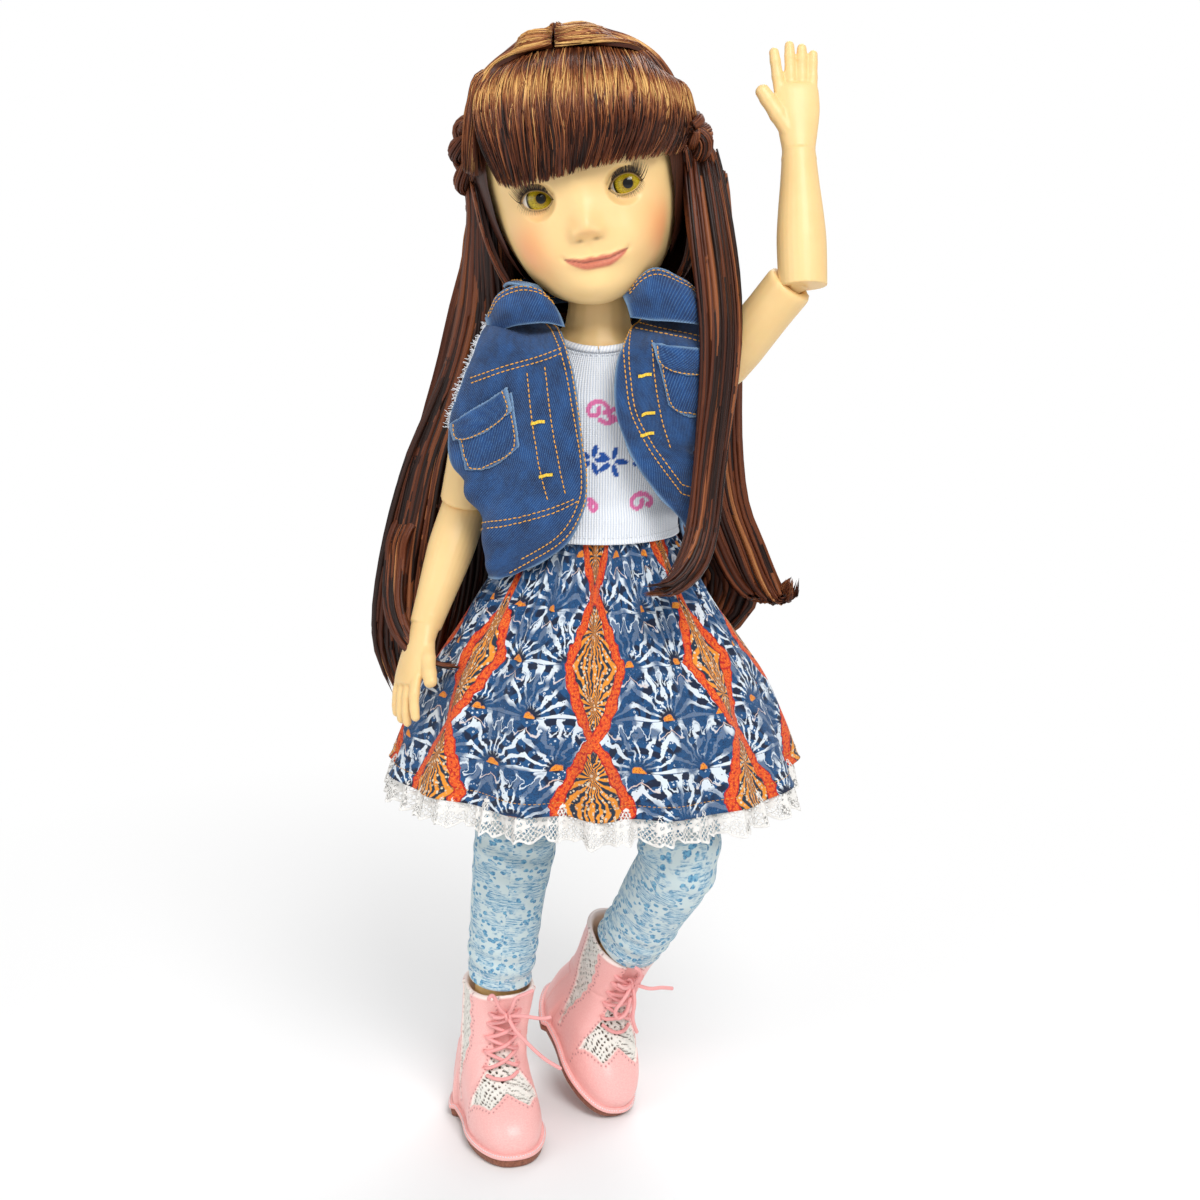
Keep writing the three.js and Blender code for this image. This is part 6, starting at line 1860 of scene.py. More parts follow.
def build_vest_back(paint, thickness):
    """The back panel, the standing collar and the collar's front ends."""
    coarse = []
    for z in (26, 36, 46, 56, 66, 76, 86, 93, 99, 103):
        line = []
        for j in range(13):
            u = 1 - j / 6
            angle = math.pi + u * (1.4 + (0.98 - 1.4) * float(smoothstep(60, 74, z)))
            rx, ry = table_at(SKIRT_TABLE, min(z, 44))
            depth = max(23, ry + 2.4 if z < 31 else 0)
            wide = max(SEAM_X, rx + 1.8) if z < 36 else SEAM_X
            low = np.array([wide * math.sin(angle), -depth * math.cos(angle), z])
            along = max(0, abs(u) * 2 - 1)
            if along > 0:
                top = np.array([-math.copysign(15 + 16 * along, u), 1.3, 104.6 + 1.8 * along])
            else:
                top = np.array([-15 * math.sin(math.pi * u), 1.3 + 11.6 * math.cos(math.pi * u), 104.6])
            share = float(smoothstep(86, 103, z))
            line.append(low * (1 - share) + top * share)
        coarse.append(line)
    back = refined(np.array(coarse), 110, 120)
    back = back + unit(back * [1, 1, 0]) * (0.2 + wavy(back, 0.9, 16, 12))[..., None]
    world = moved(LEANING, back)
    shape = Shape()
    shape.grid(world, size=(74, 80), tone=edge_wear(110, 120, 0.015))
    panel = thickened(shape.made("vest_back_panel", "torso", paint, "denim", ["vest_back"]), thickness)
    declared(panel, world)
    trims = Shape()
    for level in (0.3, 0.33, 0.93):
        seam_across(trims, world, (0.03, 0.97), level, 160, 0.2, TOPSTITCH)
    for across in (0.36, 0.64):
        down = surface(world, np.full(140, across), np.linspace(0.33, 0.93, 140), 0.2)
        stitches(trims, down, *TOPSTITCH)
    trims.made("vest_back_topstitch", "torso", material(gold_thread), "denim")
    u, t = np.meshgrid(np.linspace(-1, 1, 150), np.linspace(0, 1, 34))
    angle = np.pi + u * 2.4
    reach, deep = 20 + 9.5 * t, 17 + 5 * t
    z = 107.4 + 8 * np.sin(1.9 * t) - 1.5 * t * t
    flare = 2.5 * swell(np.abs(u) - 0.92, 0.16) * t
    x, y = (reach + flare) * np.sin(angle), -(deep + flare) * np.cos(angle)
    collar = np.stack([x, y, z + 1.2 * flare], -1)
    world = moved(LEANING, creased(collar, 0.8, 9, 30))
    shape = Shape()
    shape.grid(world, size=(120, 14), tone=edge_wear(34, 150, 0.03))
    piece = shape.made("vest_standing_collar", "torso", paint, "denim", ["vest_collar"])
    thickened(piece, thickness)
    declared(piece, world)
    trims = Shape()
    for level in (0.82, 0.12):
        for lift in (0.2, -1.1):
            seam_across(trims, world, (0.02, 0.98), level, 300, lift, TOPSTITCH)
    trims.made("collar_topstitch", "torso", material(gold_thread), "denim")
    trims = Shape()
    for name, rows in COLLAR_WINGS.items():
        points = np.array([[picture_point(u, v, y) for u, v, y in reversed(row)] for row in rows])
        grid = refined(points, 46, 60)
        grid = grid + grid_normals(grid) * wavy(grid, 0.8, 8, 50)[..., None]
        shape = Shape()
        shape.grid(grid, size=(31, 14), tone=edge_wear(46, 60, 0.05))
        wing = thickened(shape.made(f"vest_{name}_collar_wing", "torso", paint, "denim"), thickness)
        declared(wing, grid)
        for level in (0.1, 0.2):
            seam_across(trims, grid, (0.05, 0.95), level, 80, 0.15, TOPSTITCH)
    trims.made("collar_wing_topstitch", "torso", material(gold_thread), "denim")


# The ankle's height over the floor.
LEG_SINK = 24
# The boot: height over the floor, reach of the toe, reach of the heel and half width.
BOOT_TABLE = [
    [4.6, 38.6, 17.4, 13.7], [8.6, 38.8, 17.7, 14], [12.6, 36.4, 17.2, 13.5], [16.1, 31.5, 16.5, 12.6],
    [19.1, 24.5, 15.6, 11.8], [23.6, 18, 14.4, 11.2], [29.6, 14, 13.6, 10.9], [38.6, 12.6, 13.4, 11.2],
    [50, 13, 14.4, 12],
]
TOE_REACH = 39
HEEL_REACH = 18
SOLE_HALF = 14.2


def footprint(turn, grow, front, back, half, nip=1.0):
    """The outline of a boot at a height, at turns from the toe."""
    c, s = np.cos(turn), np.sin(turn)
    reach = np.where(c > 0, front, back) + grow
    y = -reach * np.sign(c) * np.abs(c) ** 0.85
    pinch = np.where(c > 0, 2.2 * swell(c - 0.15, 0.25), 2.4 * np.minimum(1, -c * 1.4))
    return (half - nip * pinch + grow) * np.sign(s) * np.abs(s) ** 0.8, y


def measured_rings(node, place):
    """Centre and half widths of a piece at each level of its own frame."""
    p = local_points(node, place)
    rows = []
    for level in np.unique(np.round(p[:, 2])):
        q = p[np.abs(p[:, 2] - level) < 0.51]
        if len(q) > 7:
            low, high = q.min(0), q.max(0)
            rows.append([level, *((low + high) / 2)[:2], *((high - low) / 2)[:2]])
    return rows[::-1]


LEGGINGS_TOP = 31
LEGGINGS_DEPTH = 27
LEGGINGS_THICKNESS = 0.7
LEG_STEPS = 190


def build_leggings():
    """The waist and the two legs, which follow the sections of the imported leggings."""
    angle, t = np.meshgrid(all_round(180), np.linspace(0, 1, 40))
    z = LEGGINGS_TOP - LEGGINGS_DEPTH * t
    world = moved(LEANING, torso_ring(TORSO_TABLE, z, angle, 1.5 + 0.3 * np.cos(30 * angle) * (1 - t)))
    shape = Shape()
    shape.grid(world, wrap=True, size=(170, LEGGINGS_DEPTH))
    waist = shape.made("leggings_waist", "torso", material(legging_cloth), "legging", ["leggings_top"])
    thickened(waist, LEGGINGS_THICKNESS)
    declared(waist, world, wrap=True)
    for name, side in SIDES.items():
        places = leg_frames(name)[:2]
        parts = [frame["nodes"][f"{name}_legging_{part}"] for part in ("thigh", "shin")]
        sections = []
        for node, place in zip(parts, places):
            turn = np.array(place.to_3x3())
            for level, cx, cy, hx, hy in measured_rings(node, place):
                sections.append([*moved(place, [cx, cy, level]), *turn[:, 0], *turn[:, 1], hx, hy])
        sections = np.array(sections)
        reach = np.concatenate([[0], np.linalg.norm(np.diff(sections[:, :3], axis=0), axis=1).cumsum()])
        even = np.linspace(0, reach[-1], LEG_STEPS)
        rows = np.stack([np.interp(even, reach, column) for column in sections.T], 1)
        soft = np.hanning(19) / np.hanning(19).sum()
        ends = np.pad(rows, ((9, 9), (0, 0)), mode="edge")
        smooth = np.stack([np.convolve(ends[:, k], soft, "valid") for k in range(11)], 1)
        count = np.arange(LEG_STEPS)
        edge = np.minimum(1, np.minimum(count, count[::-1]) / 12)[:, None]
        rows = smooth * edge + rows * (1 - edge)
        a = all_round(149)[None]
        x_way, y_way = unit(rows[:, 3:6])[:, None], unit(rows[:, 6:9])[:, None]
        t = even[:, None] / reach[-1]
        knee = swell(t - 0.53, 0.12)
        folds = 0.45 * np.sin(even[:, None] * 0.9 + 2 * np.sin(a + side)) * swell(t - 0.93, 0.1)
        bends = np.sin(even[:, None] * 0.75 + 1.6 * np.sin(a * 2))
        folds = folds + 0.5 * knee * bends * (0.4 + 0.6 * np.cos(a))
        grow = 0.6 + folds + 0.3 * swell(t - 1, 0.012) + 1.3 * knee
        around = -(rows[:, 9, None] + grow)[..., None] * np.sin(a)[..., None] * x_way
        deep = -(rows[:, 10, None] + grow)[..., None] * np.cos(a)[..., None] * y_way
        grid = rows[:, None, :3] + around + deep
        grid = grid + unit(around + deep) * wavy(grid, 0.8, 12, 40 + side)[..., None]
        shape = Shape()
        shape.grid(grid, wrap=True, size=(84, 150))
        leg = shape.made(f"{name}_legging", "", material(legging_cloth), "legging",
                         [f"{name}_legging_thigh", f"{name}_legging_shin"], ride=False)
        thickened(leg, LEGGINGS_THICKNESS)
        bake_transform(leg)
        declared(leg, grid, wrap=True)
        hem = Shape()
        seam_across(hem, grid, (0, 0.999), 0.965, 400, 0.2, LEGGING_STITCH)
        hem.made(f"{name}_legging_hem_stitch", f"{name}_shin", material(white_thread), "legging")


# Half the width of the toe piece's bow, beyond which its wings run back.
BOW_HALF = 6.6


def boot_panels(x, a, h, c):
    """Signed distances, in millimetres, into the leather, and whether a place is the tongue's slot.

    x is across the foot, a towards the toe, h above the floor and c the cosine of the turn from the toe.
    """
    wide = np.abs(x)
    bow = 23.8 + 4.2 * np.sin(np.pi * np.minimum(wide, BOW_HALF) / (2 * BOW_HALF)) ** 1.2
    wing = np.where(wide < BOW_HALF, bow, 28.0 - 1.9 * (wide - BOW_HALF))
    wing = wing + 0.12 * np.cos(wide * 5.2)
    quarter = 3.6 + 8.4 * smoothstep(13.5, 21, a) + 0.25 * np.cos(a * 3.1)
    vamp = -np.minimum(np.minimum((wing - a) * 0.8, quarter - wide), a - 13.4)
    wing_back = np.where(c > 0.05, vamp, 9)
    leaf = 4.9 * smoothstep(9, 40, h)
    middle = 3.2 - 0.1 * (h - 20)
    front = middle + leaf + 0.35 * np.cos(h * 1.25)
    side = -np.minimum(np.minimum(front - a, a - middle + leaf * 0.85), h - 9.5)
    side = np.where(np.abs(c) < 0.75, side, 9)
    slot = np.where(c > 0, np.maximum(wide - 2.7, np.minimum(a - 15.5, 4)), 9)
    return wing_back, side, slot


# Rings of the sole and of the welt: height from the ankle, and growth beyond the sole's outline.
SOLE_RINGS = [
    (-24, -1.2), (-24, -0.5), (-23.7, 0.1), (-23, 0.6), (-21.2, 0.9), (-20.7, 0.8), (-20.7, -2),
]
WELT_RINGS = [
    (-20.7, -1), (-20.7, 1.2), (-20.4, 1.5), (-19.9, 1.6), (-19.5, 1.4), (-19.35, 1.0), (-19.35, -1.5),
]
WELT_SEAM = (-19.3, 1.15)


def sole_ring(turn, z, grow):
    """The sole's outline at a height from the ankle."""
    x, y = footprint(turn, grow, TOE_REACH, HEEL_REACH, SOLE_HALF)
    return np.stack([x, y, np.full(turn.shape, z)], -1)


def build_boots():
    """The soles, welts, uppers and laces."""
    leather, cord, thread_paint = material(boot_leather), material(lace_cord), material(white_thread)
    for name, side in SIDES.items():
        place = leg_frames(name)[2]
        body = f"{name}_foot"
        turn = -all_round(400)
        # The sole has a tread underneath, and a pale welt stands out over it.
        grid = np.array([sole_ring(turn, *ring) for ring in SOLE_RINGS])[::-1]
        shrink = np.linspace(0.97, 0.02, 60)
        tread = np.array([grid[-1] * [s, s, 1] for s in shrink])
        bars = 0.35 * (np.sin(tread[..., 1] * 2.1) > 0.1)
        tread[..., 2] += bars * smoothstep(1.0, 0.9, shrink)[:, None]
        shape = Shape()
        shape.grid(moved(place, np.concatenate([grid, tread])), wrap=True, size=(120, 12))
        shape.made(f"{name}_walking_sole", body, material(brown_sole), "sole", [f"{name}_boot_sole"])
        grid = np.array([sole_ring(turn, *ring) for ring in WELT_RINGS])[::-1]
        shape = Shape()
        shape.grid(moved(place, grid), wrap=True, size=(120, 8))
        shape.made(f"{name}_welt", body, leather, "boot_leather")
        seam = Shape()
        line = sole_ring(-np.linspace(0, 2 * np.pi, 1500), *WELT_SEAM)
        stitches(seam, moved(place, line), *WELT_STITCH)
        seam.made(f"{name}_welt_stitch", body, thread_paint, "boot_leather")
        build_boot_upper(name, side, place, body, leather)
        build_boot_laces(name, side, place, body, cord)


def boot_lean(side, h):
    """How far the shaft leans over from the sole's middle at a height."""
    rise = np.maximum(0, h - LEG_SINK)
    return -side * 0.1084 * rise, -0.029 * rise


def boot_shell(side, turn, h, grow):
    """The boot's surface at a height over the floor, in the foot's frame."""
    front, back, half = (table_at(BOOT_TABLE, h)[k] for k in range(3))
    nip = 1 - smoothstep(8.6, 20.6, h)
    x, y = footprint(turn, grow, front, back, half, nip)
    lean_x, lean_y = boot_lean(side, h)
    return np.stack([x + lean_x, y + lean_y, h - LEG_SINK], -1)


LINING_RINGS = ((24, -2.4), (34, -2.2), (44, -2.0), (49.2, -1.9), (50.2, -1.4), (50.5, -0.7))


def build_boot_upper(name, side, place, body, leather):
    """The upper: leather panels with punched edges over crochet, made as one deep relief."""
    h_fine = np.linspace(4.6, 50, 400)
    front = np.array([table_at(BOOT_TABLE, h)[0] for h in h_fine])
    reach = np.concatenate([[0], np.hypot(np.diff(h_fine), 0.75 * np.diff(front)).cumsum()])
    levels = np.interp(np.linspace(0, reach[-1], 205), reach, h_fine)
    turn = -all_round(420)
    t, h = np.meshgrid(turn, levels[::-1])
    base = boot_shell(side, t, h, -0.5)
    lean_x, lean_y = boot_lean(side, h)
    x, a = base[..., 0] - lean_x, -(base[..., 1] - lean_y)
    vamp, leaf, slot = boot_panels(x, a, h, np.cos(t))
    inside = np.minimum(vamp, leaf)
    solid = smoothstep(-0.15, 0.3, inside)
    cut = smoothstep(-0.2, 0.3, slot)
    # Crochet: rounds of yarn with open holes of several sizes.
    u = np.cumsum(np.linalg.norm(np.diff(base, axis=1, prepend=base[:, :1]), axis=2), axis=1)
    v = np.cumsum(np.linalg.norm(np.diff(base, axis=0, prepend=base[:1]), axis=2), axis=0)
    wu, wv = u + wavy(base, 1.2, 3.2, 7), v + wavy(base, 1.2, 3.2, 19)
    holes = np.sin(wu * 2.5) * np.sin(wv * 2.5) + 0.45 * np.sin(wu * 1.0 + 1) * np.sin(wv * 1.1)
    pit = smoothstep(0.42, 0.6, holes)
    yarn = 0.2 * np.sin(wu * 7.5 + np.sin(wv * 6)) * np.sin(wv * 6.5)
    crochet = 1 - solid
    lift = 0.8 * solid * cut + crochet * (0.1 + yarn - 0.9 * pit)
    # The punched holes run along every panel's edge.
    near = (np.abs(inside - 1.25) < 0.16) & (cut > 0.9) & (h > 6)
    spots = []
    flat = base.reshape(-1, 3)
    for p in flat[near.reshape(-1)]:
        if all(((p - q) ** 2).sum() > 1.9 for q in spots):
            spots.append(p)
    dark = np.zeros(len(flat))
    for p in spots:
        off = ((flat - p) ** 2).sum(1)
        dark = np.maximum(dark, np.exp(-off / 0.09))
    dark = dark.reshape(h.shape)
    lift = lift - 0.4 * dark
    counter = smoothstep(-0.15, 0.15, -a - 7 + 0.25 * np.maximum(0, h - 18))
    counter = counter * smoothstep(26, 25.6, h) * (np.cos(t) < 0)
    lift = lift + 0.3 * counter + 0.25 * swell(h - 49.4, 0.7)
    lift = lift + wavy(base, 0.3, 9, 60 + side) * smoothstep(14, 24, h)
    creases = -0.3 * swell(a - 15.5, 1.1) * swell(h - 21, 3) - 0.2 * swell(h - 30 - 0.2 * a, 0.8) * solid
    out = grid_normals(base)
    outer = base + out * (lift + creases)[..., None]
    # The lining turns over the top edge and goes down inside.
    lining = np.array([boot_shell(side, turn, np.full(turn.shape, z), grow) for z, grow in LINING_RINGS])
    shape = Shape()
    shape.grid(moved(place, np.concatenate([lining, outer])), wrap=True, size=(90, 70))
    upper = shape.made(f"{name}_leather_upper", body, leather, "boot_leather", [f"{name}_boot_upper"])

    def painted(label, values, on_lining):
        plain = np.full((len(lining), values.shape[1]), on_lining)
        point_value(upper, label, np.concatenate([plain, np.clip(values, 0, 1)]))

    painted("crochet", crochet, 0.0)
    # The crochet's holes are painted dark brown, as painted shade inside them.
    painted("pit", pit * crochet, 0.0)
    # The punched dots and the edge by the tongue's slot are painted darker, as painted shade.
    painted("dark", dark + (1 - cut) * 0.25 * swell(slot, 0.5), 0.0)
    painted("rim", swell(inside - 0.1, 0.22) * 0.9 + swell(h - 50, 0.5) * 0.8, 0.8)


# Loose ends and loops of the laces, as offsets from the knot in the foot's frame.
LACE_ENDS = {
    "right": [
        [(0, 0, 0), (-2.5, -1.5, 3), (-5, -2, 8.5), (-6.5, -2.6, 9), (-6.9, -2.2, 7.6)],
        [(0, 0, 0), (1.0, -2.5, 3.5), (2.4, -3.2, 7.5), (6, -3.4, 9.0), (8.6, -3.2, 9.8)],
        [(0, 0, 0), (5, -3.2, 0.6), (11, -4, -0.6), (14.5, -4.2, -0.4)],
        [(0, 0, 0), (2, -3.6, -4), (6.5, -7, -9), (11, -10, -13), (16, -12.5, -16)],
        [(0, 0, 0), (-3, -2.0, 0.5), (-5.5, -1.6, 0.8)],
    ],
    "left": [
        [(0, 0, 0), (-1, -2.5, 4), (-1.5, -3.0, 8), (-4, -3.2, 11), (-5.5, -2.6, 11.4)],
        [(0, 0, 0), (5, -3.0, 0.8), (10, -3.4, 1.6), (15, -3.2, 0.8)],
        [(0, 0, 0), (1.5, -4, -5), (2.5, -6.5, -11), (6, -8.5, -16.5)],
        [(0, 0, 0), (-3, -3.5, -3), (-5.5, -5.4, -8), (-3.6, -6.4, -11), (-0.8, -5.6, -9), (-0.2, -3, -4)],
        [(0, 0, 0), (-4, -2.2, 0), (-7.5, -1.6, 1.6)],
    ],
}


# The laces cross between eyelets at these heights, and the first one starts under the lowest pair.
LACE_LEVELS = [25.5, 30.5, 35.5, 40.5, 44.5]
FIRST_LACE = [(-2, -5.6, 0.2), (-2.4, -3, 1.3), (-2.6, 0, 1.5), (-2.4, 3, 1.3), (-2, 5.6, 0.2)]
EYELET_X = 5.8


def build_boot_laces(name, side, place, body, cord):
    """The laces in front of the tongue, their knot and their loose ends, and the eyelets."""

    def front(h, x, lift):
        reach = float(table_at(BOOT_TABLE, h)[0])
        lean_x, lean_y = boot_lean(side, h)
        curve = 0.045 * x * x
        return np.array([x + float(lean_x), -reach + curve - lift + float(lean_y), h - LEG_SINK])

    paths = [[front(LACE_LEVELS[0] + rise, x, lift) for rise, x, lift in FIRST_LACE]]
    for low, high in zip(LACE_LEVELS, LACE_LEVELS[1:]):
        for way in (-1, 1):
            over = 2.6 if way > 0 else 1.5
            paths.append([
                front(low, -EYELET_X * way, -0.2),
                front(low + 0.4, -4.6 * way, 1.5),
                front((low + high) / 2, 0, over),
                front(high - 0.4, 4.6 * way, 1.5),
                front(high, EYELET_X * way, -0.2),
            ])
    knot = front(LACE_LEVELS[-1], 0, 2.9)
    for end in LACE_ENDS[name]:
        paths.append([knot + np.array(p) for p in end])
    radius = bpy.context.scene.doll_boots.lace_diameter / MM / 2
    size = np.full(40, radius)
    size[[0, -1]] *= 0.6
    shape = Shape()
    for path in paths:
        shape.tubes(moved(place, spline(path, 40))[None], [0.2, -0.3, 1.0], size, size, 12)
    # The knot is a short coil round the crossing.
    a = np.linspace(0, 4 * np.pi, 60)
    coil = knot + np.stack([1.5 * (a / a[-1] - 0.5) * 1.7, 1.35 * np.cos(a), 1.35 * np.sin(a)], 1)
    shape.tubes(moved(place, coil)[None], [1.0, 0.1, 0], radius * 0.8, radius * 0.8, 10)
    shape.made(f"{name}_tied_laces", body, cord, "cord", [f"{name}_boot_laces"])
    # Eyelets are small rings sunk in the leather.
    rings = Shape()
    b = np.linspace(0, 2 * np.pi, 20)
    for h in LACE_LEVELS:
        for x in (-EYELET_X, EYELET_X):
            centre = front(h, x, 0.35)
            ring = centre + np.stack([0.95 * np.cos(b), 0.05 * x * np.cos(b), 0.95 * np.sin(b)], 1)
            rings.tubes(moved(place, ring)[None], [0.0, 1, 0.05], 0.2, 0.2, 8)
    rings.made(f"{name}_eyelet_rings", body, material(boot_leather), "boot_leather")


FLOOR_SIZE = 6.0
# Lamps: name, place from over the hips in metres, size and power.
LAMPS = [
    ("key", (0.35, -0.95, 0.95), 0.6, 13),
    ("fill", (-0.9, -0.8, 0.5), 0.9, 4),
    ("back", (0.3, 0.9, 1.0), 0.8, 7),
]
SENSOR_WIDTH = 36


def build_stage():
    """A plain pale floor, soft studio lights and the photograph's camera."""
    scene = bpy.context.scene
    bpy.ops.mesh.primitive_plane_add(size=FLOOR_SIZE, location=(0, 0, 0))
    floor = bpy.context.object
    floor.name = "floor"
    f = Finish("pale floor")
    f.set(Base_Color=(0.9, 0.9, 0.9), Roughness=0.9)
    # Away from the doll the floor turns into the white of the backdrop.
    x, y, _ = f.split(f.node("ShaderNodeNewGeometry").outputs["Position"])
    away = f.math("SQRT", f.plus(f.times(x, x), f.times(y, y)))
    white = f.node("ShaderNodeEmission", {"Color": (1, 1, 1, 1), "Strength": 1.0})
    blend = f.node("ShaderNodeMixShader", {0: f.ramp(away, 0.06, 0.42)})
    links = f.material.node_tree.links
    links.new(f.shader.outputs[0], blend.inputs[1])
    links.new(white.outputs[0], blend.inputs[2])
    links.new(blend.outputs[0], f.material.node_tree.nodes["Material Output"].inputs["Surface"])
    floor.data.materials.append(f.material)
    world = bpy.data.worlds.new("studio")
    scene.world = world
    world.use_nodes = True
    tree = world.node_tree
    light = tree.nodes["Background"]
    seen = tree.nodes.new("ShaderNodeLightPath")
    backdrop = tree.nodes.new("ShaderNodeBackground")
    mix = tree.nodes.new("ShaderNodeMixShader")
    light.inputs[0].default_value = (1, 1, 1, 1)
    light.inputs[1].default_value = 0.5
    backdrop.inputs[0].default_value = (1, 1, 1, 1)
    tree.links.new(seen.outputs["Is Camera Ray"], mix.inputs[0])
    tree.links.new(light.outputs[0], mix.inputs[1])
    tree.links.new(backdrop.outputs[0], mix.inputs[2])
    tree.links.new(mix.outputs[0], tree.nodes["World Output"].inputs["Surface"])
    target = Vector(HIPS) + Vector((0, 0, 0.03))
    for name, at, size, power in LAMPS:
        lamp = bpy.data.lights.new(name, "AREA")
        lamp.size = size
        lamp.energy = power
        obj = bpy.data.objects.new(name, lamp)
        obj.location = target + Vector(at)
        obj.rotation_euler = (target - obj.location).to_track_quat("-Z", "Y").to_euler()
        scene.collection.objects.link(obj)
    camera = bpy.data.cameras.new("photo_camera")
    camera.lens = SENSOR_WIDTH * FOCAL / PICTURE
    camera.sensor_width = SENSOR_WIDTH
    obj = bpy.data.objects.new("photo_camera", camera)
    obj.location = Vector(HIPS) + Vector(CAMERA_AT) * MM
    obj.rotation_euler = (math.radians(90 - CAMERA_DOWN), 0, 0)
    scene.collection.objects.link(obj)
    scene.camera = obj
    scene.view_settings.view_transform = "Standard"


class DollBodySettings(bpy.types.PropertyGroup):
    skin: FloatVectorProperty(
        name="Skin", description="Colour of the vinyl", subtype="COLOR", size=3, min=0, max=1, default=SKIN)
    blush: FloatVectorProperty(
        name="Blush", description="Colour of the cheeks", subtype="COLOR", size=3, min=0, max=1,
        default=BLUSH)
    lip: FloatVectorProperty(
        name="Lips", description="Colour of the lips", subtype="COLOR", size=3, min=0, max=1, default=LIP)
    iris: FloatVectorProperty(
        name="Iris", description="Light colour of the eyes", subtype="COLOR", size=3, min=0, max=1,
        default=linear(222, 196, 40))


class DollHairSettings(bpy.types.PropertyGroup):
    dark: FloatVectorProperty(
        name="Dark", description="Hair in the shade", subtype="COLOR", size=3, min=0, max=1,
        default=linear(30, 11, 5))
    middle: FloatVectorProperty(
        name="Middle", description="Hair in the light", subtype="COLOR", size=3, min=0, max=1,
        default=linear(158, 94, 54))
    gold: FloatVectorProperty(
        name="Gold", description="Brightest strands", subtype="COLOR", size=3, min=0, max=1,
        default=linear(232, 184, 112))
    amount: FloatProperty(
        name="Amount", description="Share of the strands to make", min=0.1, max=2, default=1.0)
    seed: IntProperty(name="Seed", description="Seed of the strands' places", min=0, default=11)


class DollClothesSettings(bpy.types.PropertyGroup):
    denim_dark: FloatVectorProperty(
        name="Dark denim", description="Unworn denim", subtype="COLOR", size=3, min=0, max=1,
        default=linear(8, 40, 86))
    denim_light: FloatVectorProperty(
        name="Light denim", description="Worn denim", subtype="COLOR", size=3, min=0, max=1,
        default=linear(20, 72, 132))
    stitch_colour: FloatVectorProperty(
        name="Topstitch", description="Colour of the vest's thread", subtype="COLOR", size=3, min=0, max=1,
        default=linear(248, 190, 92))
    denim_thickness: FloatProperty(
        name="Denim thickness", description="Thickness of the vest", unit="LENGTH", precision=5,
        default=0.95 * MM)
    fold_depth: FloatProperty(
        name="Fold depth", description="Depth of the skirt's folds", unit="LENGTH", precision=5,
        default=3.6 * MM)
    lace_depth: FloatProperty(
        name="Lace depth", description="Height of the lace ruffle", unit="LENGTH", precision=5,
        default=14.2 * MM)


class DollBootSettings(bpy.types.PropertyGroup):
    leather: FloatVectorProperty(
        name="Leather", description="Light colour of the leather", subtype="COLOR", size=3, min=0, max=1,
        default=linear(251, 196, 190))
    sole: FloatVectorProperty(
        name="Sole", description="Light colour of the sole", subtype="COLOR", size=3, min=0, max=1,
        default=linear(160, 100, 74))
    lace_diameter: FloatProperty(
        name="Lace diameter", description="Thickness of the laces", unit="LENGTH", precision=5,
        default=1.32 * MM)


class DOLL_OT_skin(bpy.types.Operator):
    """Smooths the frame's vinyl limbs and torso and paints them"""
    bl_idname = "doll.skin"
    bl_label = "Vinyl body"

    def execute(self, context):
        build_skin()
        return {"FINISHED"}


class DOLL_OT_head(bpy.types.Operator):
    """Models the head with its nose, lips, lids and ears"""
    bl_idname = "doll.head"
    bl_label = "Head and face"

    def execute(self, context):
        build_head()
        return {"FINISHED"}


class DOLL_OT_eyes(bpy.types.Operator):
    """Adds the eyes with their irises and pupils"""
    bl_idname = "doll.eyes"
    bl_label = "Glass eyes"

    def execute(self, context):
        build_eyes()
        return {"FINISHED"}


class DOLL_OT_lashes(bpy.types.Operator):
    """Adds the upper and lower lashes"""
    bl_idname = "doll.lashes"
    bl_label = "Lashes"

    def execute(self, context):
        build_lashes()
        return {"FINISHED"}


class DOLL_OT_forearms(bpy.types.Operator):
    """Models the forearms with their hands and fingers"""
    bl_idname = "doll.forearms"
    bl_label = "Forearms and hands"

    def execute(self, context):
        build_forearms()
        return {"FINISHED"}


class DOLL_OT_long_hair(bpy.types.Operator):
    """Hangs the long hair from the neck down"""
    bl_idname = "doll.long_hair"
    bl_label = "Long hair"

    def execute(self, context):
        build_long_hair()
        return {"FINISHED"}


class DOLL_OT_head_hair(bpy.types.Operator):
    """Combs the hair of the head, the fringe and the plait"""
    bl_idname = "doll.head_hair"
    bl_label = "Fringe and plait"

    def execute(self, context):
        build_head_hair()
        return {"FINISHED"}


class DOLL_OT_tank(bpy.types.Operator):
    """Makes the ribbed tank top with its motifs"""
    bl_idname = "doll.tank"
    bl_label = "Tank top"

    def execute(self, context):
        build_tank()
        return {"FINISHED"}


class DOLL_OT_skirt(bpy.types.Operator):
    """Makes the gathered skirt and its lace ruffle"""
    bl_idname = "doll.skirt"
    bl_label = "Skirt and lace"

    def execute(self, context):
        build_skirt()
        return {"FINISHED"}


class DOLL_OT_vest(bpy.types.Operator):
    """Makes the vest's panels, pockets, collar and stitching"""
    bl_idname = "doll.vest"
    bl_label = "Denim vest"

    def execute(self, context):
        build_vest()
        return {"FINISHED"}


class DOLL_OT_leggings(bpy.types.Operator):
    """Pulls the printed leggings over the legs"""
    bl_idname = "doll.leggings"
    bl_label = "Leggings"

    def execute(self, context):
        build_leggings()
        return {"FINISHED"}


class DOLL_OT_boots(bpy.types.Operator):
    """Makes the boots with their soles, crochet insets and laces"""
    bl_idname = "doll.boots"
    bl_label = "Laced boots"

    def execute(self, context):
        build_boots()
        return {"FINISHED"}


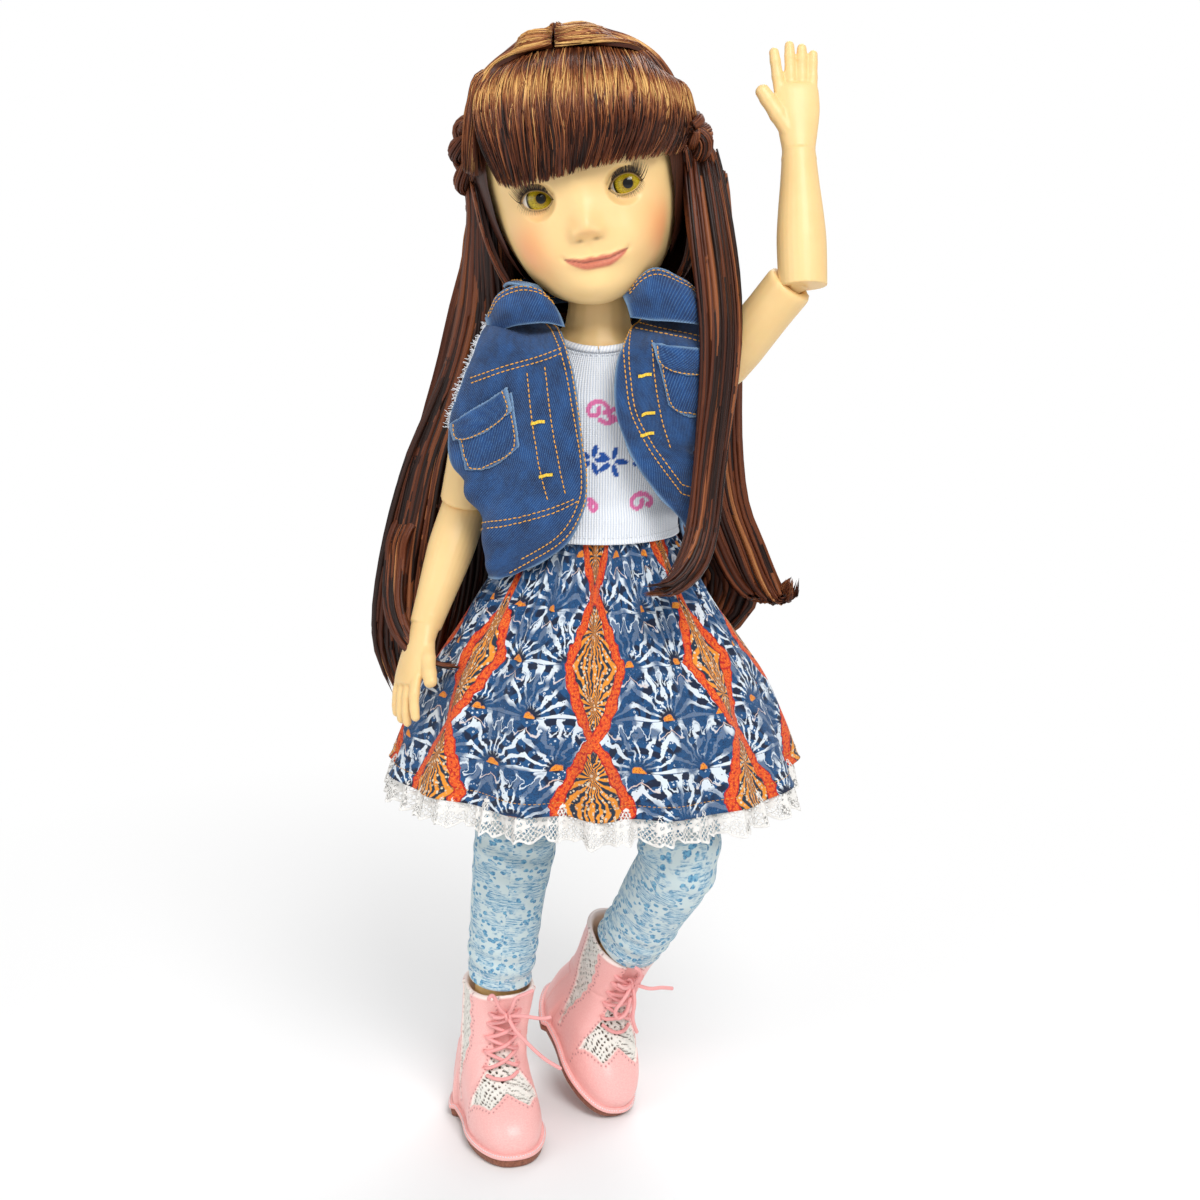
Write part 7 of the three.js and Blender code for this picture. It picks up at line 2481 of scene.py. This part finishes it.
class DOLL_OT_stage(bpy.types.Operator):
    """Sets up the floor, the lights and the photograph's camera"""
    bl_idname = "doll.stage"
    bl_label = "Photo studio"

    def execute(self, context):
        build_stage()
        return {"FINISHED"}


OPERATORS = (
    DOLL_OT_skin,
    DOLL_OT_head,
    DOLL_OT_eyes,
    DOLL_OT_lashes,
    DOLL_OT_forearms,
    DOLL_OT_long_hair,
    DOLL_OT_head_hair,
    DOLL_OT_tank,
    DOLL_OT_skirt,
    DOLL_OT_vest,
    DOLL_OT_leggings,
    DOLL_OT_boots,
    DOLL_OT_stage,
)
SETTINGS = {
    "doll_body": DollBodySettings,
    "doll_hair": DollHairSettings,
    "doll_clothes": DollClothesSettings,
    "doll_boots": DollBootSettings,
}


class DOLL_PT_builder(bpy.types.Panel):
    """Lists the doll's settings and its builders"""
    bl_idname = "DOLL_PT_builder"
    bl_label = "Dressed doll"
    bl_space_type = "VIEW_3D"
    bl_region_type = "UI"
    bl_category = "Doll"

    def draw(self, context):
        for group in SETTINGS:
            settings = getattr(context.scene, group)
            box = self.layout.box()
            for prop in settings.__annotations__:
                box.prop(settings, prop)
        column = self.layout.column(align=True)
        for operator in OPERATORS:
            column.operator(operator.bl_idname)


def register():
    for name, settings in SETTINGS.items():
        bpy.utils.register_class(settings)
        setattr(bpy.types.Scene, name, PointerProperty(type=settings))
    for kind in (*OPERATORS, DOLL_PT_builder):
        bpy.utils.register_class(kind)


def unregister():
    for kind in reversed((*OPERATORS, DOLL_PT_builder)):
        bpy.utils.unregister_class(kind)
    for name, settings in SETTINGS.items():
        delattr(bpy.types.Scene, name)
        bpy.utils.unregister_class(settings)


def main():
    register()
    bpy.ops.doll.skin()
    bpy.ops.doll.head()
    bpy.ops.doll.eyes()
    bpy.ops.doll.lashes()
    bpy.ops.doll.forearms()
    bpy.ops.doll.long_hair()
    bpy.ops.doll.head_hair()
    bpy.ops.doll.tank()
    bpy.ops.doll.skirt()
    bpy.ops.doll.vest()
    bpy.ops.doll.leggings()
    bpy.ops.doll.boots()
    bpy.ops.doll.stage()


if __name__ == "__main__":
    main()
